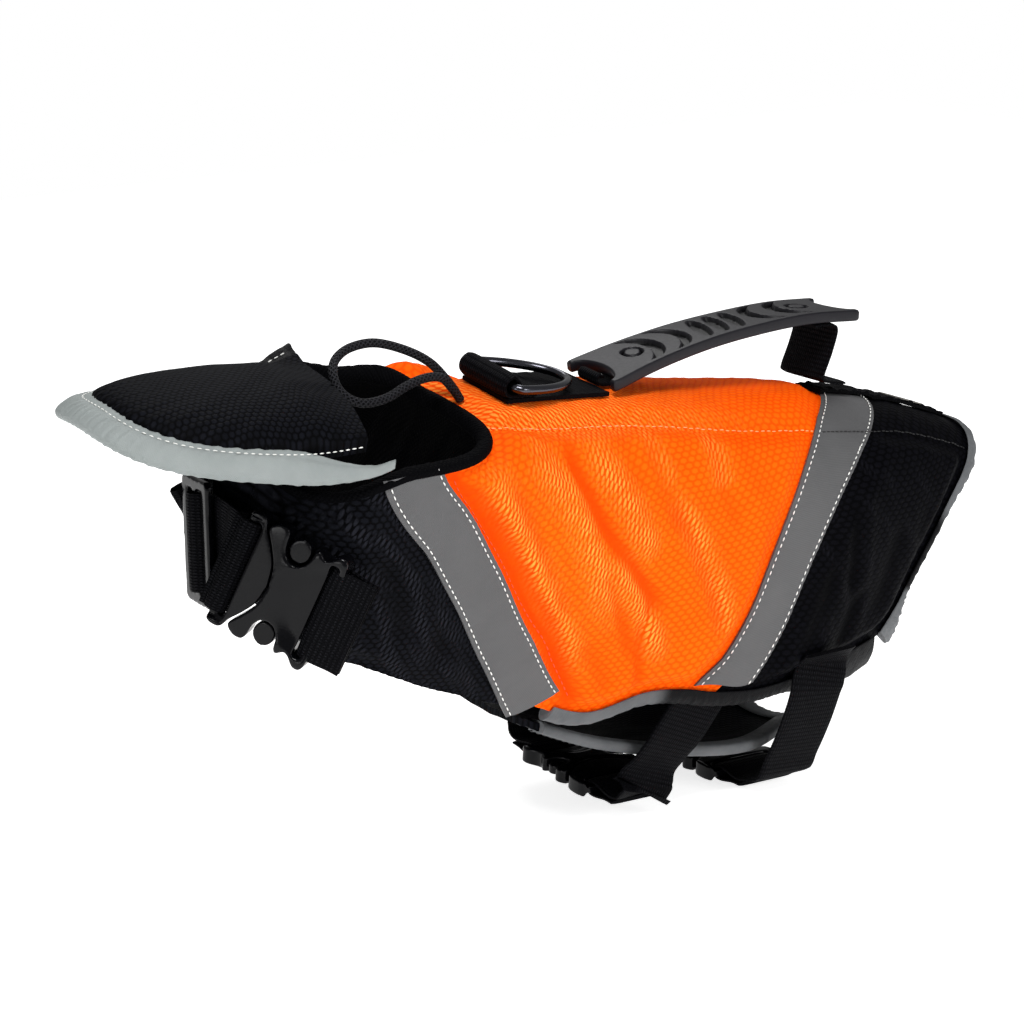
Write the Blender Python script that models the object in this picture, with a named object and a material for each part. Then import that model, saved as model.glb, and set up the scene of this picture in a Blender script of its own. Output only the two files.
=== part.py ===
"""Dog life jacket, filled out as worn, with its buckles fastened.

Sizes in the tables are millimetres and are turned into metres where a mesh is made. The frame is
+X towards the tail, +Z up, and the wearer's left side at -Y. The origin lies against the wearer's
back, on the inner face of the cloth at the middle of the back's length.

The cloth is laid out on a body form. A point of the form is given by its station, counted from the
neck rim (0) to the rear hem (9), and by its round, the angle in degrees from the spine, positive on
the wearer's left. Each station is a leaning section: those by the neck fan forward round the chest.
"""
import math
from collections import namedtuple

import bmesh
import bpy
from mathutils import Matrix, Vector

MM = 0.001
GAP = 0.3
CLOTH_GAP = 1.5
INSIDE_GAP = 1.6
BINDING_GAP = 1.0
TAPE_GAP = 0.5

# Cloth build-up, measured out from the body form
LINING = 1.0
SEAM_WALL = 3.2
PAD_WALL = 7.2
BACK_WALL = 7.4
REAR_BACK_WALL = 3.8
FRONT_WALL = 5.0
TAPE = 0.9
BINDING = 0.9
WEBBING = 1.8

# The body form: a section plane leans forward by lean degrees below the spine point
Section = namedtuple("Section", "station top_x top_z lean depth half_width")
SECTIONS = (
    Section(0, -138, 15.0, 90, 90, 50),
    Section(1, -131, 14.7, 64, 111, 52),
    Section(2, -119, 14.2, 42, 140, 54),
    Section(3, -104, 13.0, 20, 163, 55),
    Section(4, -76, 10.0, 6, 174, 56),
    Section(5, -40, 5.5, 3, 176, 56.5),
    Section(6, 0, 0.0, 8, 176, 56),
    Section(7, 60, -8.0, 24, 180, 53),
    Section(8, 110, -18.0, 37, 186, 48),
    Section(9, 157, -34.0, 47, 190, 42),
)
SQUARENESS = 2.8
LAST_STATION = 9.0

# The neck and chest sit rolled on the body, right side up, as the limp garment does
FRONT_ROLL = 8.0
ROLL_START_X = 80.0
ROLL_FULL_X = -150.0
ROLL_AXIS_Z = -30.0
# Places on the right of the collar that stand higher: the middle in x, how far they spread, where
# across the body they begin and are full, and the height
Lift = namedtuple("Lift", "x spread y_start y_full height")
LIFTS = (
    Lift(-184, 20, 22, 46, 9.0),
    Lift(-132, 30, 10, 42, 7.5),
)
LIFT_LOW_Z = -22.0
LIFT_RISE = 44.0

# Seam lines on the form, each a short table of stations and rounds
Mark = namedtuple("Mark", "station round")
SHOULDER_FRONT_ROUND = 29.5
SHOULDER_REAR_ROUND = 37.5
FRONT_SEAM = (Mark(0.0, 99), Mark(1.15, 85), Mark(2.15, 86), Mark(2.85, 96.5), Mark(3.4, 112))
REAR_SEAM = (Mark(7.08, 37.5), Mark(6.8, 54), Mark(6.56, 72), Mark(6.36, 91), Mark(6.05, 103.5),
             Mark(5.62, 111.3))
HEM = (Mark(3.4, 112), Mark(3.9, 114.3), Mark(4.5, 109.5), Mark(5.05, 109.6), Mark(5.62, 111.3))
REAR_HEM = (Mark(5.62, 111.3), Mark(6.4, 112), Mark(7.1, 113), Mark(7.85, 113), Mark(8.6, 111),
            Mark(9.4, 105))
REAR_EDGE = (Mark(9.0, 0), Mark(9.0, 39), Mark(8.93, 60), Mark(9.05, 80), Mark(9.25, 93), Mark(9.4, 105))
FRONT_EDGE = (Mark(3.4, 112), Mark(2.8, 114.5), Mark(2.45, 119), Mark(2.1, 125.5), Mark(1.8, 135),
              Mark(1.5, 156), Mark(1.4, 179.6))
BACK_SEAM_STATION = 7.55

TAPE_HALF_WIDTH = 12.5
SEAM_FLAT = 14.0
EDGE_FLAT = 4.4
PAD_RISE = 11.0
EDGE_RISE = 8.0
PANEL_INSET = 0.006
LINING_INSET = 0.008
RIM_CORNER_SHARE = 0.4
SEAM_MARGIN = 4.0
CENTRE_MARGIN = 3.0
RIM_SHARE = 6 / 20
RELAX_STEPS = 12
FRONT_DIP = 12.0

# Folds of the padding, placed as seen from the side, x and z. A positive depth is a trough
Fold = namedtuple("Fold", "x0 z0 x1 z1 width depth")
SIDE_FOLDS = (
    Fold(-166, -8, -112, -98, 7, 3.4),
    Fold(-111, 6, -76, -62, 7, 2.6),
    Fold(-76, -20, -46, -82, 7, 2.4),
    Fold(-66, -58, -62, -108, 7, 3.0),
    Fold(-138, -8, -94, -80, 8, -1.6),
    Fold(-94, -6, -66, -56, 8, -1.4),
    Fold(-44, -30, -8, -92, 8, 1.6),
)
REAR_FOLDS = (
    Fold(36, -70, 22, -112, 7, 1.8),
    Fold(58, -84, 44, -116, 6, 2.0),
    Fold(84, -62, 66, -104, 7, 1.4),
)
FRONT_FOLDS = (Fold(-168, -36, -176, -78, 6, 1.2), Fold(-202, -18, -188, -60, 8, 1.2))

# Chin float: a padded tongue on the collar
CHIN_BASE = (-196.5, 2.0, 26.2)
CHIN_LENGTH = 121.0
CHIN_SKEW = 0.22
CHIN_CURL = 12.5
# How far the pad's base corners rise, on the left and on the right
CHIN_BASE_LIFTS = (5.5, 10.0)
CHIN_LIFT_REACH = 40.0
CHIN_HALF_WIDTH = 56.0
CHIN_PITCH = 5.5
CHIN_SQUARENESS = 3.1
CHIN_TWIST = 0.5
CHIN_YAW = 0.05
CHIN_FLATTEN = 0.3
CHIN_TAPE_WIDTH = 15.0
CHIN_EDGE = 5.0
CHIN_DOME = 15.0
CHIN_RAYS = 24

# Straps, buckles and the metal ring
BELLY_WEB = 30.0
CHEST_WEB = 42.0
SPINE_WEB = 34.0
SPINE_STRIP = 18.0
BAR_HALF = 1.5
BELLY_REACH = (0.97, 0.66)
CHEST_REACH = (0.74, 0.36)
Strap = namedtuple("Strap", "name top_x low_x low_z side_y corner_y buckle_y inside")
BELLY_STRAPS = (
    Strap("front", -25.0, -49.0, -168.0, 50.0, 41.0, -8.0, True),
    Strap("rear", 34.0, 26.0, -178.0, 57.5, 47.0, 1.0, False),
)
BELLY_START = -117.0
BELLY_END = 49.0
BELLY_WALL = 3.6
BELLY_LINE = ((-102.7,), (-123.7,), (-142.7,), (-153.7,), (-159.7,), (-159.7,))
BELLY_HALF = ((44.0,), (38.0,), (36.0,), (38.0,), (38.0,), (20.0,))
BELLY_LIFT = 4.0
CHEST_NEAR = (-221.5, -60.5, -53.0)
CHEST_FRONT = (-259.5, -10.5, -24.5)
CHEST_OUT = (-0.75, -0.66, 0.0)
SLIDER_MIDDLE = (-252.5, 9.0, -26.5)
SLIDER_ALONG = (-0.14, -0.99, 0.04)
SLIDER_HALF = 13.0
CHEST_FAR_ROUNDS = (-147, -137, -127, -117, -109)
CHEST_FAR_STATION = 0.75
RING_WIRE = 4.0
RING_X = -116.0
RING_LENGTH = 39.0
RING_HALF_WIDTH = 20.5
RING_PITCH = 8.0
RING_PLAY = 1.4
RING_BAR_HALF = 16.5
# The share of the bar's half over which its lean with the front's roll is taken
RING_LEAN_SHARE = 0.65
HANDLE_WIDTH = 36.0
HANDLE_LENGTH = 146.0
HANDLE_THICK = 5.5
HANDLE_RECESS = 1.6
# The grip's crescents: their place along it, radius, width and the way their hollow side faces
HANDLE_CRESCENTS = ((0.2, 14.5, 6, -1), (0.31, 13.5, 5, -1), (0.69, 13.5, 5, 1), (0.8, 14.5, 6, 1))
# The grip's underside: x and z
HANDLE_LINE = ((-59.0, 17.2), (-33.0, 22.8), (-3.0, 27.2), (28.0, 29.5), (58.0, 30.2), (87.0, 28.4))
CORD_DIAMETER = 4.0
CORD_LINE = (
    (-129.5, -1.0, 21.6), (-133.5, 0.5, 27.5), (-140.5, 3.0, 35.5), (-151.0, 6.0, 41.7), (-165.0, 8.0, 46.2),
    (-177.0, 9.0, 45.4), (-185.5, 7.0, 41.8), (-190.0, 2.0, 37.2), (-190.5, -3.0, 31.6), (-187.0, -7.0, 27.4),
    (-180.5, -9.0, 25.5), (-170.5, -9.5, 26.5), (-160.5, -9.0, 30.0), (-151.0, -8.5, 32.0),
    (-142.0, -8.0, 31.0), (-135.5, -7.5, 25.0), (-131.5, -7.0, 19.7),
)


def clear_scene():
    """Removes what the scene starts with."""
    for item in list(bpy.data.objects):
        bpy.data.objects.remove(item)


def material(name, colour, roughness, metallic=0.0):
    """A Principled material with one colour."""
    made = bpy.data.materials.new(name)
    made.use_nodes = True
    shader = made.node_tree.nodes["Principled BSDF"]
    shader.inputs["Base Color"].default_value = (*colour, 1.0)
    shader.inputs["Roughness"].default_value = roughness
    shader.inputs["Metallic"].default_value = metallic
    return made


def blend(low, high, share):
    """The value a share of the way from low to high."""
    return low + (high - low) * share


def ease(share):
    """0 to 1 with a soft start and end."""
    share = min(1.0, max(0.0, share))
    return share * share * (3.0 - 2.0 * share)


def spline(values, place):
    """Catmull-Rom value at place, where value k sits at place k. A value is a tuple."""
    last = len(values) - 1
    k = min(max(int(math.floor(place)), 0), last - 1)
    t = place - k
    p1, p2 = values[k], values[k + 1]
    p0 = values[k - 1] if k else tuple(2 * a - b for a, b in zip(p1, p2))
    p3 = values[k + 2] if k + 2 <= last else tuple(2 * b - a for a, b in zip(p1, p2))
    return tuple(
        0.5 * (2 * b + (c - a) * t + (2 * a - 5 * b + 4 * c - d) * t * t + (3 * b - a - 3 * c + d) * t ** 3)
        for a, b, c, d in zip(p0, p1, p2, p3)
    )


def along(marks, share):
    """The (station, round) a share of the way along a seam line."""
    return spline([tuple(m) for m in marks], share * (len(marks) - 1))


def form_point(station, turn):
    """A point of the body form, before the front's roll."""
    _, top_x, top_z, lean, depth, half_width = spline([tuple(s) for s in SECTIONS], station)
    angle = math.radians(turn)
    across, upward = math.sin(angle), math.cos(angle)
    size = (abs(across) ** SQUARENESS + abs(upward) ** SQUARENESS) ** (-1.0 / SQUARENESS)
    down = depth / 2 * (1 - upward * size)
    tilt = math.radians(lean)
    dip = FRONT_DIP * ease((abs(turn) - 98) / 45) * max(0.0, 1 - station / 1.3)
    height = top_z - down * math.cos(tilt) - dip
    return Vector((top_x - down * math.sin(tilt), -half_width * across * size, height))


def form_axes(station, turn):
    """The form's slopes with station and with round, and its outward normal."""
    step_s, step_t = 0.02, 0.6
    by_station = (form_point(station + step_s, turn) - form_point(station - step_s, turn)) / (2 * step_s)
    by_round = (form_point(station, turn + step_t) - form_point(station, turn - step_t)) / (2 * step_t)
    return by_station, by_round, by_round.cross(by_station).normalized()


def on_form(station, turn, height=0.0):
    """A point at a height out from the body form."""
    return form_point(station, turn) + form_axes(station, turn)[2] * height


def shift_mark(mark, heading, distance):
    """Moves a (station, round) by a distance in mm along a 3-D heading that lies in the form."""
    by_station, by_round, _ = form_axes(*mark)
    ss, tt, st = by_station.dot(by_station), by_round.dot(by_round), by_station.dot(by_round)
    hs, ht = heading.dot(by_station) * distance, heading.dot(by_round) * distance
    det = ss * tt - st * st
    return mark[0] + (hs * tt - ht * st) / det, mark[1] + (ht * ss - hs * st) / det


def seam_frame(line, share):
    """The mark at a share of a seam line, with the line's heading and the heading to its left on the form."""
    low, high = share - 0.01, share + 0.01
    heading = (form_point(*line(high)) - form_point(*line(low))).normalized()
    mark = line(share)
    side = form_axes(*mark)[2].cross(heading).normalized()
    return mark, heading, side


def roll_at(x):
    """The roll in radians at a place along the body."""
    return math.radians(FRONT_ROLL * ease((ROLL_START_X - x) / (ROLL_START_X - ROLL_FULL_X)))


def rolled(point):
    """The front's roll about the body's long axis, and the lift of the collar's right side."""
    turn = roll_at(point.x)
    y, z = point.y, point.z - ROLL_AXIS_Z
    cosine, sine = math.cos(turn), math.sin(turn)
    moved = Vector((point.x, y * cosine - z * sine, ROLL_AXIS_Z + y * sine + z * cosine))
    for lift in LIFTS:
        share = ease((moved.y - lift.y_start) / (lift.y_full - lift.y_start))
        share *= ease((moved.z - LIFT_LOW_Z) / LIFT_RISE)
        moved.z += lift.height * share * math.exp(-(((moved.x - lift.x) / lift.spread) ** 2))
    return moved


def finish_object(name, shape, stuff, roll=True):
    """Turns a bmesh in mm into a named object in metres, rolled with the front if asked."""
    for vert in shape.verts:
        vert.co = (rolled(vert.co) if roll else vert.co) * MM
    bmesh.ops.recalc_face_normals(shape, faces=shape.faces)
    if shape.calc_volume(signed=True) < 0:
        bmesh.ops.reverse_faces(shape, faces=shape.faces)
    mesh = bpy.data.meshes.new(name)
    shape.to_mesh(mesh)
    shape.free()
    mesh.materials.append(stuff)
    mesh.shade_smooth()
    mesh.set_sharp_from_angle(angle=math.radians(35))
    made = bpy.data.objects.new(name, mesh)
    bpy.context.scene.collection.objects.link(made)
    return made


def grid_solid(name, outer, inner, stuff):
    """A closed wall from an outer and an inner grid of points."""
    shape = bmesh.new()
    layers = [[[shape.verts.new(p) for p in row] for row in grid] for grid in (outer, inner)]
    rows, cols = len(outer), len(outer[0])
    for layer in layers:
        for r in range(rows - 1):
            for c in range(cols - 1):
                shape.faces.new((layer[r][c], layer[r][c + 1], layer[r + 1][c + 1], layer[r + 1][c]))
    rim = [(0, c) for c in range(cols)] + [(r, cols - 1) for r in range(1, rows)]
    rim += [(rows - 1, c) for c in range(cols - 2, -1, -1)] + [(r, 0) for r in range(rows - 2, 0, -1)]
    for (r0, c0), (r1, c1) in zip(rim, rim[1:] + rim[:1]):
        shape.faces.new((layers[0][r0][c0], layers[0][r1][c1], layers[1][r1][c1], layers[1][r0][c0]))
    return finish_object(name, shape, stuff)


def loft_solid(name, rings, stuff, closed=False, roll=True):
    """A closed solid through rings of points. A closed loft joins its last ring to its first."""
    shape = bmesh.new()
    made = [[shape.verts.new(p) for p in ring] for ring in rings]
    pairs = list(zip(made, made[1:])) + ([(made[-1], made[0])] if closed else [])
    for low, high in pairs:
        count = len(low)
        for k in range(count):
            shape.faces.new((low[k], low[(k + 1) % count], high[(k + 1) % count], high[k]))
    if not closed:
        shape.faces.new(made[0])
        shape.faces.new(list(reversed(made[-1])))
    return finish_object(name, shape, stuff, roll)


def patch_marks(head, tail, top, bottom, u, v):
    """Coons patch on the form: u runs from head to tail, v from top to bottom."""
    h, t, a, b = head(v), tail(v), top(u), bottom(u)
    corners = (head(0), tail(0), head(1), tail(1))
    return tuple(
        blend(h[i], t[i], u) + blend(a[i], b[i], v)
        - blend(blend(corners[0][i], corners[1][i], u), blend(corners[2][i], corners[3][i], u), v)
        for i in (0, 1)
    )


def fold_height(folds, x, z):
    """How far the folds press the cloth in at a place seen from the side, in mm."""
    total = 0.0
    for fold in folds:
        run = Vector((fold.x1 - fold.x0, fold.z1 - fold.z0))
        place = Vector((x - fold.x0, z - fold.z0))
        share = place.dot(run) / run.length_squared
        aside = abs(place.x * run.y - place.y * run.x) / run.length
        taper = ease(min(share + 0.15, 1.15 - share) / 0.3)
        total += fold.depth * math.exp(-((aside / fold.width) ** 2)) * taper
    return total


def trace(line, count=44):
    """Points along a seam line of the form."""
    return [form_point(*line(k / count)) for k in range(count + 1)]


def distance(point, points):
    """Distance in mm from a point to a traced line."""
    return min((point - other).length for other in points)


def toward(mark, other, reach):
    """The mark a distance in mm from one mark towards another."""
    length = (form_point(*other) - form_point(*mark)).length
    return mark.lerp(other, min(reach / length, 0.85))


def panel(name, stuff, marks, rows, cols, side, wall, margins):
    """A cloth panel. marks(u, v) gives its place, wall(point) its outer height, side mirrors it.

    margins are the widths in mm of its first rows of faces: at u = 0, u = 1, v = 0 and v = 1.
    """
    low, high = PANEL_INSET, 1 - PANEL_INSET
    grid = [[Vector(marks(blend(low, high, c / cols), blend(low, high, r / rows))) for c in range(cols + 1)]
            for r in range(rows + 1)]
    for _ in range(RELAX_STEPS):
        for r in range(1, rows):
            for c in range(1, cols):
                grid[r][c] = (grid[r - 1][c] + grid[r + 1][c] + grid[r][c - 1] + grid[r][c + 1]) / 4
    for row in grid:
        row[1] = toward(row[0], row[2], margins[0])
        row[-2] = toward(row[-1], row[-3], margins[1])
    for c in range(cols + 1):
        grid[1][c] = toward(grid[0][c], grid[2][c], margins[2])
        grid[-2][c] = toward(grid[-1][c], grid[-3][c], margins[3])
    outer = [[on_form(s, t * side, wall(form_point(s, t))) for s, t in row] for row in grid]
    inner = [[on_form(s, t * side, LINING + CLOTH_GAP) for s, t in row] for row in grid]
    return grid_solid(name, outer, inner, stuff)


def pad_rise(distance, flat=SEAM_FLAT):
    """0 on the flat by a seam, rising to 1 where the foam is full, from a distance in mm."""
    return ease((distance - flat) / PAD_RISE)


def edge_rise(distance):
    """The same beside a bound edge, where the flat is only as wide as the binding."""
    return ease((distance - EDGE_FLAT) / EDGE_RISE)


# Where a tape starts and ends along its seam, and how much its ends slant from edge to edge
Trim = namedtuple("Trim", "start end start_slant end_slant")


def strip_on_form(name, stuff, line, count, side, low, high, half_width, trim, cols=3):
    """A tape centred on a seam line, lying between two heights."""
    outer, inner = [], []
    for k in range(count + 1):
        row_out, row_in = [], []
        for c in range(cols + 1):
            across = blend(-1.0, 1.0, c / cols)
            start, end = trim.start + trim.start_slant * across, trim.end + trim.end_slant * across
            mark, _, aside = seam_frame(line, blend(start, end, k / count))
            station, turn = shift_mark(mark, aside, half_width * across)
            row_out.append(on_form(station, turn * side, high))
            row_in.append(on_form(station, turn * side, low))
        outer.append(row_out)
        inner.append(row_in)
    return grid_solid(name, outer, inner, stuff)


def edge_binding(name, stuff, line, count, side, legs, drop, outward):
    """A tape folded round a cloth edge, with legs of an outer and an inner width.

    drop(share) is how far it stands beyond the edge, outward is 1 or -1, the side that is free air.
    """
    rings = []
    top, low = SEAM_WALL + BINDING_GAP, -INSIDE_GAP
    outer_leg, inner_leg = legs
    for k in range(count + 1):
        reach = drop(k / count)
        profile = (
            (-outer_leg, top), (-outer_leg, top + BINDING), (GAP + reach * 0.4, top + BINDING),
            (GAP + reach + BINDING, blend(low, top, 0.62)), (GAP + reach + BINDING, blend(low, top, 0.2)),
            (GAP + reach * 0.4, low - BINDING), (-inner_leg, low - BINDING), (-inner_leg, low), (GAP, low),
            (GAP, top),
        )
        mark, _, aside = seam_frame(line, k / count)
        point, normal = form_point(*mark), form_axes(*mark)[2]
        ring = [point + aside * outward * a + normal * b for a, b in profile]
        if side < 0:
            ring = [Vector((p.x, -p.y, p.z)) for p in reversed(ring)]
        rings.append(ring)
    return loft_solid(name, rings, stuff)


def ribbon(name, stuff, path, across, width, roll=True):
    """Webbing along a path, with one across direction for all points or one for each."""
    rings = []
    for k, point in enumerate(path):
        before, after = path[max(k - 1, 0)], path[min(k + 1, len(path) - 1)]
        heading = (Vector(after) - Vector(before)).normalized()
        wide = Vector(across[k] if isinstance(across, list) else across).normalized()
        thick = heading.cross(wide).normalized()
        wide = thick.cross(heading).normalized() * width / 2
        thick = thick * WEBBING / 2
        centre = Vector(point)
        low, high = centre - thick, centre + thick
        rings.append([low - wide, low + wide, high + wide, high - wide])
    return loft_solid(name, rings, stuff, roll=roll)


def smooth_path(points, count):
    """Evenly shared points of a smooth curve through the given ones."""
    last = len(points) - 1
    return [Vector(spline([tuple(p) for p in points], last * k / count)) for k in range(count + 1)]


def shoulder_round(station):
    """Round of the shoulder seam at a station."""
    return blend(SHOULDER_FRONT_ROUND, SHOULDER_REAR_ROUND, ease((station - 3.8) / 3.2))


def front_seam(v):
    """The seam between the orange side and the black front, from the neck rim to the hem."""
    return along(FRONT_SEAM, v)


def rear_seam(v):
    """The seam between the orange side and the black rear, from the shoulder seam to the hem."""
    return along(REAR_SEAM, v)


def build_lining(stuff):
    """The black inner cloth, one sheet from edge to edge."""
    rows, half = 18, 12

    def tail(v):
        return along(REAR_EDGE, v)

    outer, inner = [], []
    for r in range(rows + 1):
        out_row, in_row = [], []
        for c in range(-half, half + 1):
            reach = abs(c) / half
            reach += RIM_CORNER_SHARE * math.sin(4 * math.pi * reach) / (4 * math.pi) * (1 - r / rows) ** 3
            reach *= 1 - LINING_INSET
            station, turn = patch_marks(lambda v: (0.0, 180.0 * v), tail, lambda u: (LAST_STATION * u, 0.0),
                                        lower_edge, blend(LINING_INSET, 1 - LINING_INSET, r / rows), reach)
            turn = math.copysign(min(turn, 179.6), c)
            out_row.append(on_form(station, turn, LINING))
            in_row.append(on_form(station, turn, 0.0))
        outer.append(out_row)
        inner.append(in_row)
    return grid_solid("lining", outer, inner, stuff)


def lower_edge(share):
    """The garment's whole lower edge from the front of the chest to the rear, as one line."""
    marks = tuple(reversed(FRONT_EDGE)) + HEM[1:] + REAR_HEM[1:]
    if share < 0.12:
        return blend(0.0, marks[0].station, share / 0.12), marks[0].round
    return along(marks, (share - 0.12) / 0.88)


def rim_trace():
    """The neck rim as a traced line, on the left."""
    return trace(lambda t: (0.0, 180.0 * t))


def shoulder_trace():
    """The left shoulder seam as a traced line."""
    return trace(lambda t: (LAST_STATION * t, shoulder_round(LAST_STATION * t)), 60)


def build_sides(orange):
    """The padded orange sides with their folds."""
    def top(u):
        if u < RIM_SHARE:
            return 0.0, blend(FRONT_SEAM[0].round, shoulder_round(0.0), u / RIM_SHARE)
        station = blend(0.0, REAR_SEAM[0].station, (u - RIM_SHARE) / (1 - RIM_SHARE))
        return station, shoulder_round(station)

    def marks(u, v):
        return patch_marks(front_seam, rear_seam, top, lambda w: along(HEM, w), u, v)

    front, rear, rim, shoulder = trace(front_seam), trace(rear_seam), rim_trace(), shoulder_trace()
    hem = trace(lambda t: along(HEM, t))

    def wall(place):
        rise = pad_rise(distance(place, front)) * pad_rise(distance(place, rear))
        rise *= edge_rise(distance(place, rim)) * edge_rise(distance(place, hem))
        rise *= ease(distance(place, shoulder) / 9)
        return SEAM_WALL + rise * (PAD_WALL - SEAM_WALL + 2.2 - fold_height(SIDE_FOLDS, place.x, place.z))

    for side, word in ((1, "left"), (-1, "right")):
        panel("side_panel_orange_" + word, orange, marks, 15, 20, side, wall,
              (SEAM_FLAT, SEAM_FLAT, EDGE_FLAT, EDGE_FLAT))


def back_seam_station(aside):
    """Station of the seam across the back under the rear tape, aside running from -1 to 1."""
    return blend(BACK_SEAM_STATION, REAR_SEAM[0].station, abs(aside) ** 1.7)


def back_seam(share):
    """The seam across the back, from the right shoulder seam to the left one."""
    aside = 2 * share - 1
    station = back_seam_station(aside)
    return station, aside * shoulder_round(station)


def back_height(place, lines, full=BACK_WALL):
    """Outer height of the back's padding at a place: thin at its seams."""
    seam, rim, shoulder, edge = lines
    here = Vector((place.x, -abs(place.y), place.z))
    rise = pad_rise(distance(here, seam)) * edge_rise(distance(here, rim)) * edge_rise(distance(here, edge))
    rise *= ease(distance(here, shoulder) / 10)
    return SEAM_WALL + rise * (full - SEAM_WALL)


def back_lines():
    """The traced lines that the back's padding thins out to."""
    edge = trace(lambda t: along(REAR_EDGE, t))
    return trace(back_seam), rim_trace(), shoulder_trace(), edge


def build_back(orange, black):
    """The back between the shoulder seams: orange to the tape, black behind it."""
    lines = back_lines()

    def build(name, stuff, low, high, full, rows, ends):
        def marks(u, v):
            aside = 2 * u - 1
            place = blend(low(aside), high(aside), v)
            return place, aside * (shoulder_round(place) - 0.2)

        panel(name, stuff, marks, rows, 12, 1, lambda place: back_height(place, lines, full),
              (SEAM_MARGIN, SEAM_MARGIN, *ends))

    build("back_panel_orange", orange, lambda a: 0.0, back_seam_station, BACK_WALL, 16,
          (EDGE_FLAT, SEAM_FLAT))
    build("back_panel_black", black, back_seam_station, lambda a: LAST_STATION, REAR_BACK_WALL, 7,
          (SEAM_FLAT, EDGE_FLAT))


def rear_lines():
    """The traced lines that the rear sides' padding thins out to."""
    edge, hem = trace(lambda t: along(REAR_EDGE, t)), trace(lambda t: along(REAR_HEM, t))
    return trace(rear_seam), shoulder_trace(), edge, hem


def rear_height(place, lines):
    """Outer height of the rear sides' padding at a place on the left."""
    seam, shoulder, edge, hem = lines
    rise = pad_rise(distance(place, seam)) * ease(distance(place, shoulder) / 9)
    rise *= edge_rise(distance(place, edge)) * edge_rise(distance(place, hem))
    return SEAM_WALL + rise * (PAD_WALL - SEAM_WALL + 0.8 - fold_height(REAR_FOLDS, place.x, place.z))


def build_rear(black):
    """The black rear sides behind the tape."""
    def top(u):
        station = blend(REAR_SEAM[0].station, LAST_STATION, u)
        return station, shoulder_round(station)

    def tail(v):
        return along(REAR_EDGE, blend(0.2, 1.0, v))

    def marks(u, v):
        return patch_marks(rear_seam, tail, top, lambda w: along(REAR_HEM, w), u, v)

    lines = rear_lines()
    for side, word in ((1, "left"), (-1, "right")):
        panel("rear_panel_black_" + word, black, marks, 11, 9, side, lambda place: rear_height(place, lines),
              (SEAM_FLAT, EDGE_FLAT, EDGE_FLAT, EDGE_FLAT))


def build_front(black):
    """The black front: it runs from the front tape round the chest and meets its other half."""
    def centre(v):
        return blend(0.0, FRONT_EDGE[-1].station, v), FRONT_EDGE[-1].round

    def rim(u):
        return 0.0, blend(FRONT_SEAM[0].round, FRONT_EDGE[-1].round, u)

    def marks(u, v):
        return patch_marks(front_seam, centre, rim, lambda w: along(FRONT_EDGE, w), u, v)

    front, top, middle = trace(front_seam), rim_trace(), trace(centre)
    edge = trace(lambda t: along(FRONT_EDGE, t))

    def wall(place):
        rise = pad_rise(distance(place, front)) * edge_rise(distance(place, top))
        rise *= ease((distance(place, edge) - 1) / 9) * ease(distance(place, middle) / 6)
        return SEAM_WALL + rise * (FRONT_WALL - SEAM_WALL - fold_height(FRONT_FOLDS, place.x, place.z))

    for side, word in ((1, "left"), (-1, "right")):
        panel("front_panel_black_" + word, black, marks, 8, 11, side, wall,
              (SEAM_FLAT, CENTRE_MARGIN, EDGE_FLAT, CENTRE_MARGIN))


def build_tapes(grey):
    """The reflective tapes over the seams."""
    low = SEAM_WALL + TAPE_GAP
    ends = {front_seam: Trim(0.05, 0.955, 0.043, 0.06), rear_seam: Trim(0.006, 0.91, 0.0, -0.11),
            back_seam: Trim(0.006, 0.994, 0.0, 0.0)}
    for name, line, side in (("front_tape_left", front_seam, 1), ("front_tape_right", front_seam, -1),
                             ("rear_tape_left", rear_seam, 1), ("rear_tape_right", rear_seam, -1),
                             ("rear_tape_back", back_seam, 1)):
        strip_on_form(name, grey, line, 18, side, low, low + TAPE, TAPE_HALF_WIDTH, ends[line])


def build_bindings(grey, black):
    """The grey tape round the hems and the rear, and the black one round the neck."""
    hem = tuple(HEM) + tuple(REAR_HEM[1:])
    for side, word in ((1, "left"), (-1, "right")):
        edge_binding("hem_binding_" + word, grey, lambda t: along(hem, blend(0.035, 0.985, t)), 22, side,
                     (3.0, 8.0), lambda t: blend(4.5, 16.0, ease((t - 0.65) / 0.33)), -1)

    def rear_line(share):
        station, turn = along(REAR_EDGE, abs(2 * share - 1) * 0.985)
        return station, math.copysign(turn, share - 0.5)

    def rear_drop(share):
        side = abs(2 * share - 1)
        return 1.5 + 2.5 * ease((0.45 - side) / 0.3) + 14.5 * ease((side - 0.7) / 0.3)

    edge_binding("rear_binding", grey, rear_line, 34, 1, (3.0, 8.0), rear_drop, 1)

    def rim_line(share):
        return 0.0, blend(-176.0, 176.0, share)

    edge_binding("neck_binding", black, rim_line, 42, 1, (2.4, 4.5), lambda t: 1.0, -1)


def chin_axes():
    """The chin float's place and its forward, side and upward directions, before the front's roll."""
    pitch = math.radians(CHIN_PITCH)
    forward = Vector((-math.cos(pitch), 0.0, math.sin(pitch)))
    aside = Vector((0.0, -1.0, 0.0))
    return Vector(CHIN_BASE), forward, aside, forward.cross(aside)


def chin_outline(angle):
    """Forward and side reach of the chin float's edge at an angle from the left base corner."""
    along_x, along_y = math.sin(angle), math.cos(angle)
    size = (abs(along_x) ** CHIN_SQUARENESS + abs(along_y) ** CHIN_SQUARENESS) ** (-1 / CHIN_SQUARENESS)
    return Vector((CHIN_LENGTH * along_x * size, CHIN_HALF_WIDTH * along_y * size))


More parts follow.
